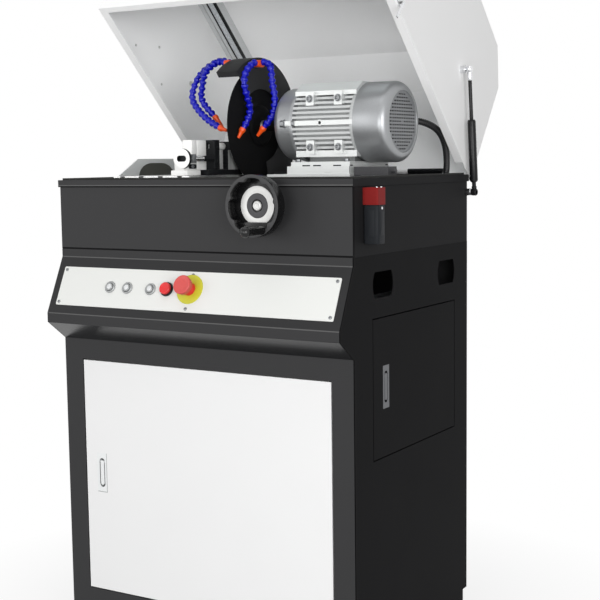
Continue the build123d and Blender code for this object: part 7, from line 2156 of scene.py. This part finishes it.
@dataclass
class Inside:
    """What stands in the cabinet: tank, pump and switchgear."""

    machine: Machine
    panel: float = 0.0021
    flange: float = 0.008
    flange_round: float = 0.010
    motor_share: float = 0.8
    groove: float = 0.004
    crown: Pair = (0.008, 0.01)
    stem_radii: Pair = (0.03, 0.026)
    bolt_share: float = 0.82

    def build(self) -> None:
        """Dresses the tank and the switchgear, and makes the pump."""
        self.machine.dress("coolant_tank", TANK, edge=0.002)
        back = Span.of("electrical_panel").low.x + self.panel
        sheet = Zone.between(GALVANISED, high=(back, None, None))
        self.machine.dress("electrical_panel", GEAR_GREY, (sheet,), edge=0.001)
        self.pump()

    def pump(self) -> None:
        """The pump's flange on the tank, its motor above and its stem below."""
        box, top = Span.of("coolant_pump"), Span.of("coolant_tank").high.z
        foot = Vector((box.mid.x, box.mid.y, top))
        rise, drop, half = box.high.z - top, top - box.low.z, box.size.x / 2
        made = Shape().slab((box.low.x, box.low.y, top), (box.high.x, box.high.y, top + self.flange), 0.001,
                            self.flange_round, Z)
        r = half * self.motor_share
        deep, (edge, taper) = r - self.groove, self.crown
        made.turn([(self.flange, 0), (self.flange, r), (rise * 0.72, r), (rise * 0.74, deep),
                   (rise * 0.78, deep), (rise * 0.8, r), (rise - edge, r), (rise, r - taper), (rise, 0)],
                  foot, Z, soften=0.001)
        wide, narrow = self.stem_radii
        stem = [(0, 0), (0, wide), (-drop * 0.9, wide), (-drop, narrow), (-drop, 0)]
        made.turn(stem, foot, Z, soften=0.001)
        reach = half * self.bolt_share
        for x in BOTH:
            for y in BOTH:
                bolt = foot + Vector((x * reach, y * reach, self.flange))
                made.hexagon(bolt, Z, radius=0.006, height=0.004)
        made.done("pump_unit", "cabinet", PUMP, "inside_grey", replaces="coolant_pump")


@dataclass
class Studio:
    """A pale floor, soft light and the photograph's camera.

    Attributes:
        lamps: the name, place, side and power of each soft box.
    """

    eye: Triple = (1.4924, -2.3132, 1.0424)
    yaw: float = 0.5474
    pitch: float = 0.1096
    roll: float = -0.0131
    lens: float = 75.307
    sensor: float = 36.0
    far: float = 60.0
    floor_radius: float = 14.0
    floor_white: float = 0.97
    sky: float = 0.39
    bounce: float = 0.3
    fade: Pair = (0.45, 1.0)
    least: float = 0.78
    aim: Triple = (0, 0, 0.9)
    lamps: tuple[tuple[str, Triple, float, float], ...] = (
        ("front", (0.4, -4.2, 0.5), 2.4, 77.0),
        ("left", (-2.6, -3.2, 1.5), 1.8, 22.0),
        ("right", (3.2, -3.0, 1.2), 2.4, 106.0),
        ("top", (0.0, -0.6, 4.2), 3.0, 27.0),
    )

    def build(self) -> None:
        """Sets the stage."""
        bpy.context.scene.view_settings.view_transform = "Standard"
        self.world()
        self.floor()
        for name, place, size, power in self.lamps:
            self.lamp(name, Vector(place), size, power)
        self.camera()

    def plain(self, graph: Graph, kind: str, level: float, **sockets: float) -> Value:
        """A shader of one grey level."""
        return graph.node(kind, {"Color": (level, level, level, 1), **sockets})

    def world(self) -> None:
        """White to the eye and in reflections, dimmer as light."""
        world = bpy.data.worlds.new("studio")
        bpy.context.scene.world = world
        world.use_nodes = True
        graph = Graph(world.node_tree)
        soft = self.plain(graph, "Background", 1, Strength=self.sky)
        white = self.plain(graph, "Background", 1, Strength=1)
        graph.node("OutputWorld", {0: graph.blended(graph.showing(), soft, white)})

    def floor(self) -> None:
        """A wide pale disc that fades to the white backdrop."""
        made = bmesh.new()
        bmesh.ops.create_circle(made, cap_ends=True, segments=96, radius=self.floor_radius)
        mesh = bpy.data.meshes.new("floor")
        made.to_mesh(mesh)
        made.free()
        floor = bpy.data.objects.new("floor", mesh)
        bpy.context.scene.collection.objects.link(floor)
        paint = bpy.data.materials.new("pale_floor")
        paint.use_nodes = True
        graph = Graph(paint.node_tree)
        far = graph.node("VectorMath", {0: graph.place()}, {"operation": "LENGTH"}, output="Value")
        share = far.stretched(*self.fade) * (1 - self.least) + self.least
        pale = self.plain(graph, "BsdfDiffuse", self.floor_white)
        white = self.plain(graph, "Emission", 1, Strength=1)
        dull = self.plain(graph, "BsdfDiffuse", self.bounce)
        shown = graph.blended(graph.showing(), dull, graph.blended(share, pale, white))
        graph.node("OutputMaterial", {0: shown})
        mesh.materials.append(paint)

    def lamp(self, name: str, place: Vector, size: float, power: float) -> None:
        """A square soft box turned to the machine.

        Args:
            name: of the lamp.
            place: where it hangs.
            size: its side.
            power: in watts.
        """
        data = bpy.data.lights.new(name, "AREA")
        data.size = size
        data.energy = power
        held = bpy.data.objects.new(name, data)
        held.location = place
        held.rotation_euler = (Vector(self.aim) - place).to_track_quat("-Z", "Y").to_euler()
        bpy.context.scene.collection.objects.link(held)

    def camera(self) -> None:
        """The camera that was fitted to the photograph."""
        ahead = math.cos(self.pitch)
        look = Vector((-math.sin(self.yaw) * ahead, math.cos(self.yaw) * ahead, -math.sin(self.pitch)))
        level = Vector((math.cos(self.yaw), math.sin(self.yaw), 0))
        right = level * math.cos(self.roll) + level.cross(look) * math.sin(self.roll)
        data = bpy.data.cameras.new("camera")
        data.lens = self.lens
        data.sensor_width = self.sensor
        data.clip_end = self.far
        held = bpy.data.objects.new("camera", data)
        held.matrix_world = Matrix((right, right.cross(look), -look)).transposed().to_4x4()
        held.location = self.eye
        bpy.context.scene.collection.objects.link(held)
        bpy.context.scene.camera = held


def main() -> None:
    """Builds the sub-assemblies in order."""
    logging.basicConfig(level=logging.INFO, format="%(message)s")
    for old in list(bpy.data.objects):
        bpy.data.objects.remove(old)
    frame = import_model()
    machine = Machine(frame["nodes"], {j["name"]: j for j in frame["joints"]})
    Studio().build()
    for part in (Cabinet, Console, Doors, Basin, Vise, Handwheel, Motor, CuttingWheel, CoolantLines, Hood,
                 SafetySwitch, Inside):
        part(machine).build()


if __name__ == "__main__":
    main()
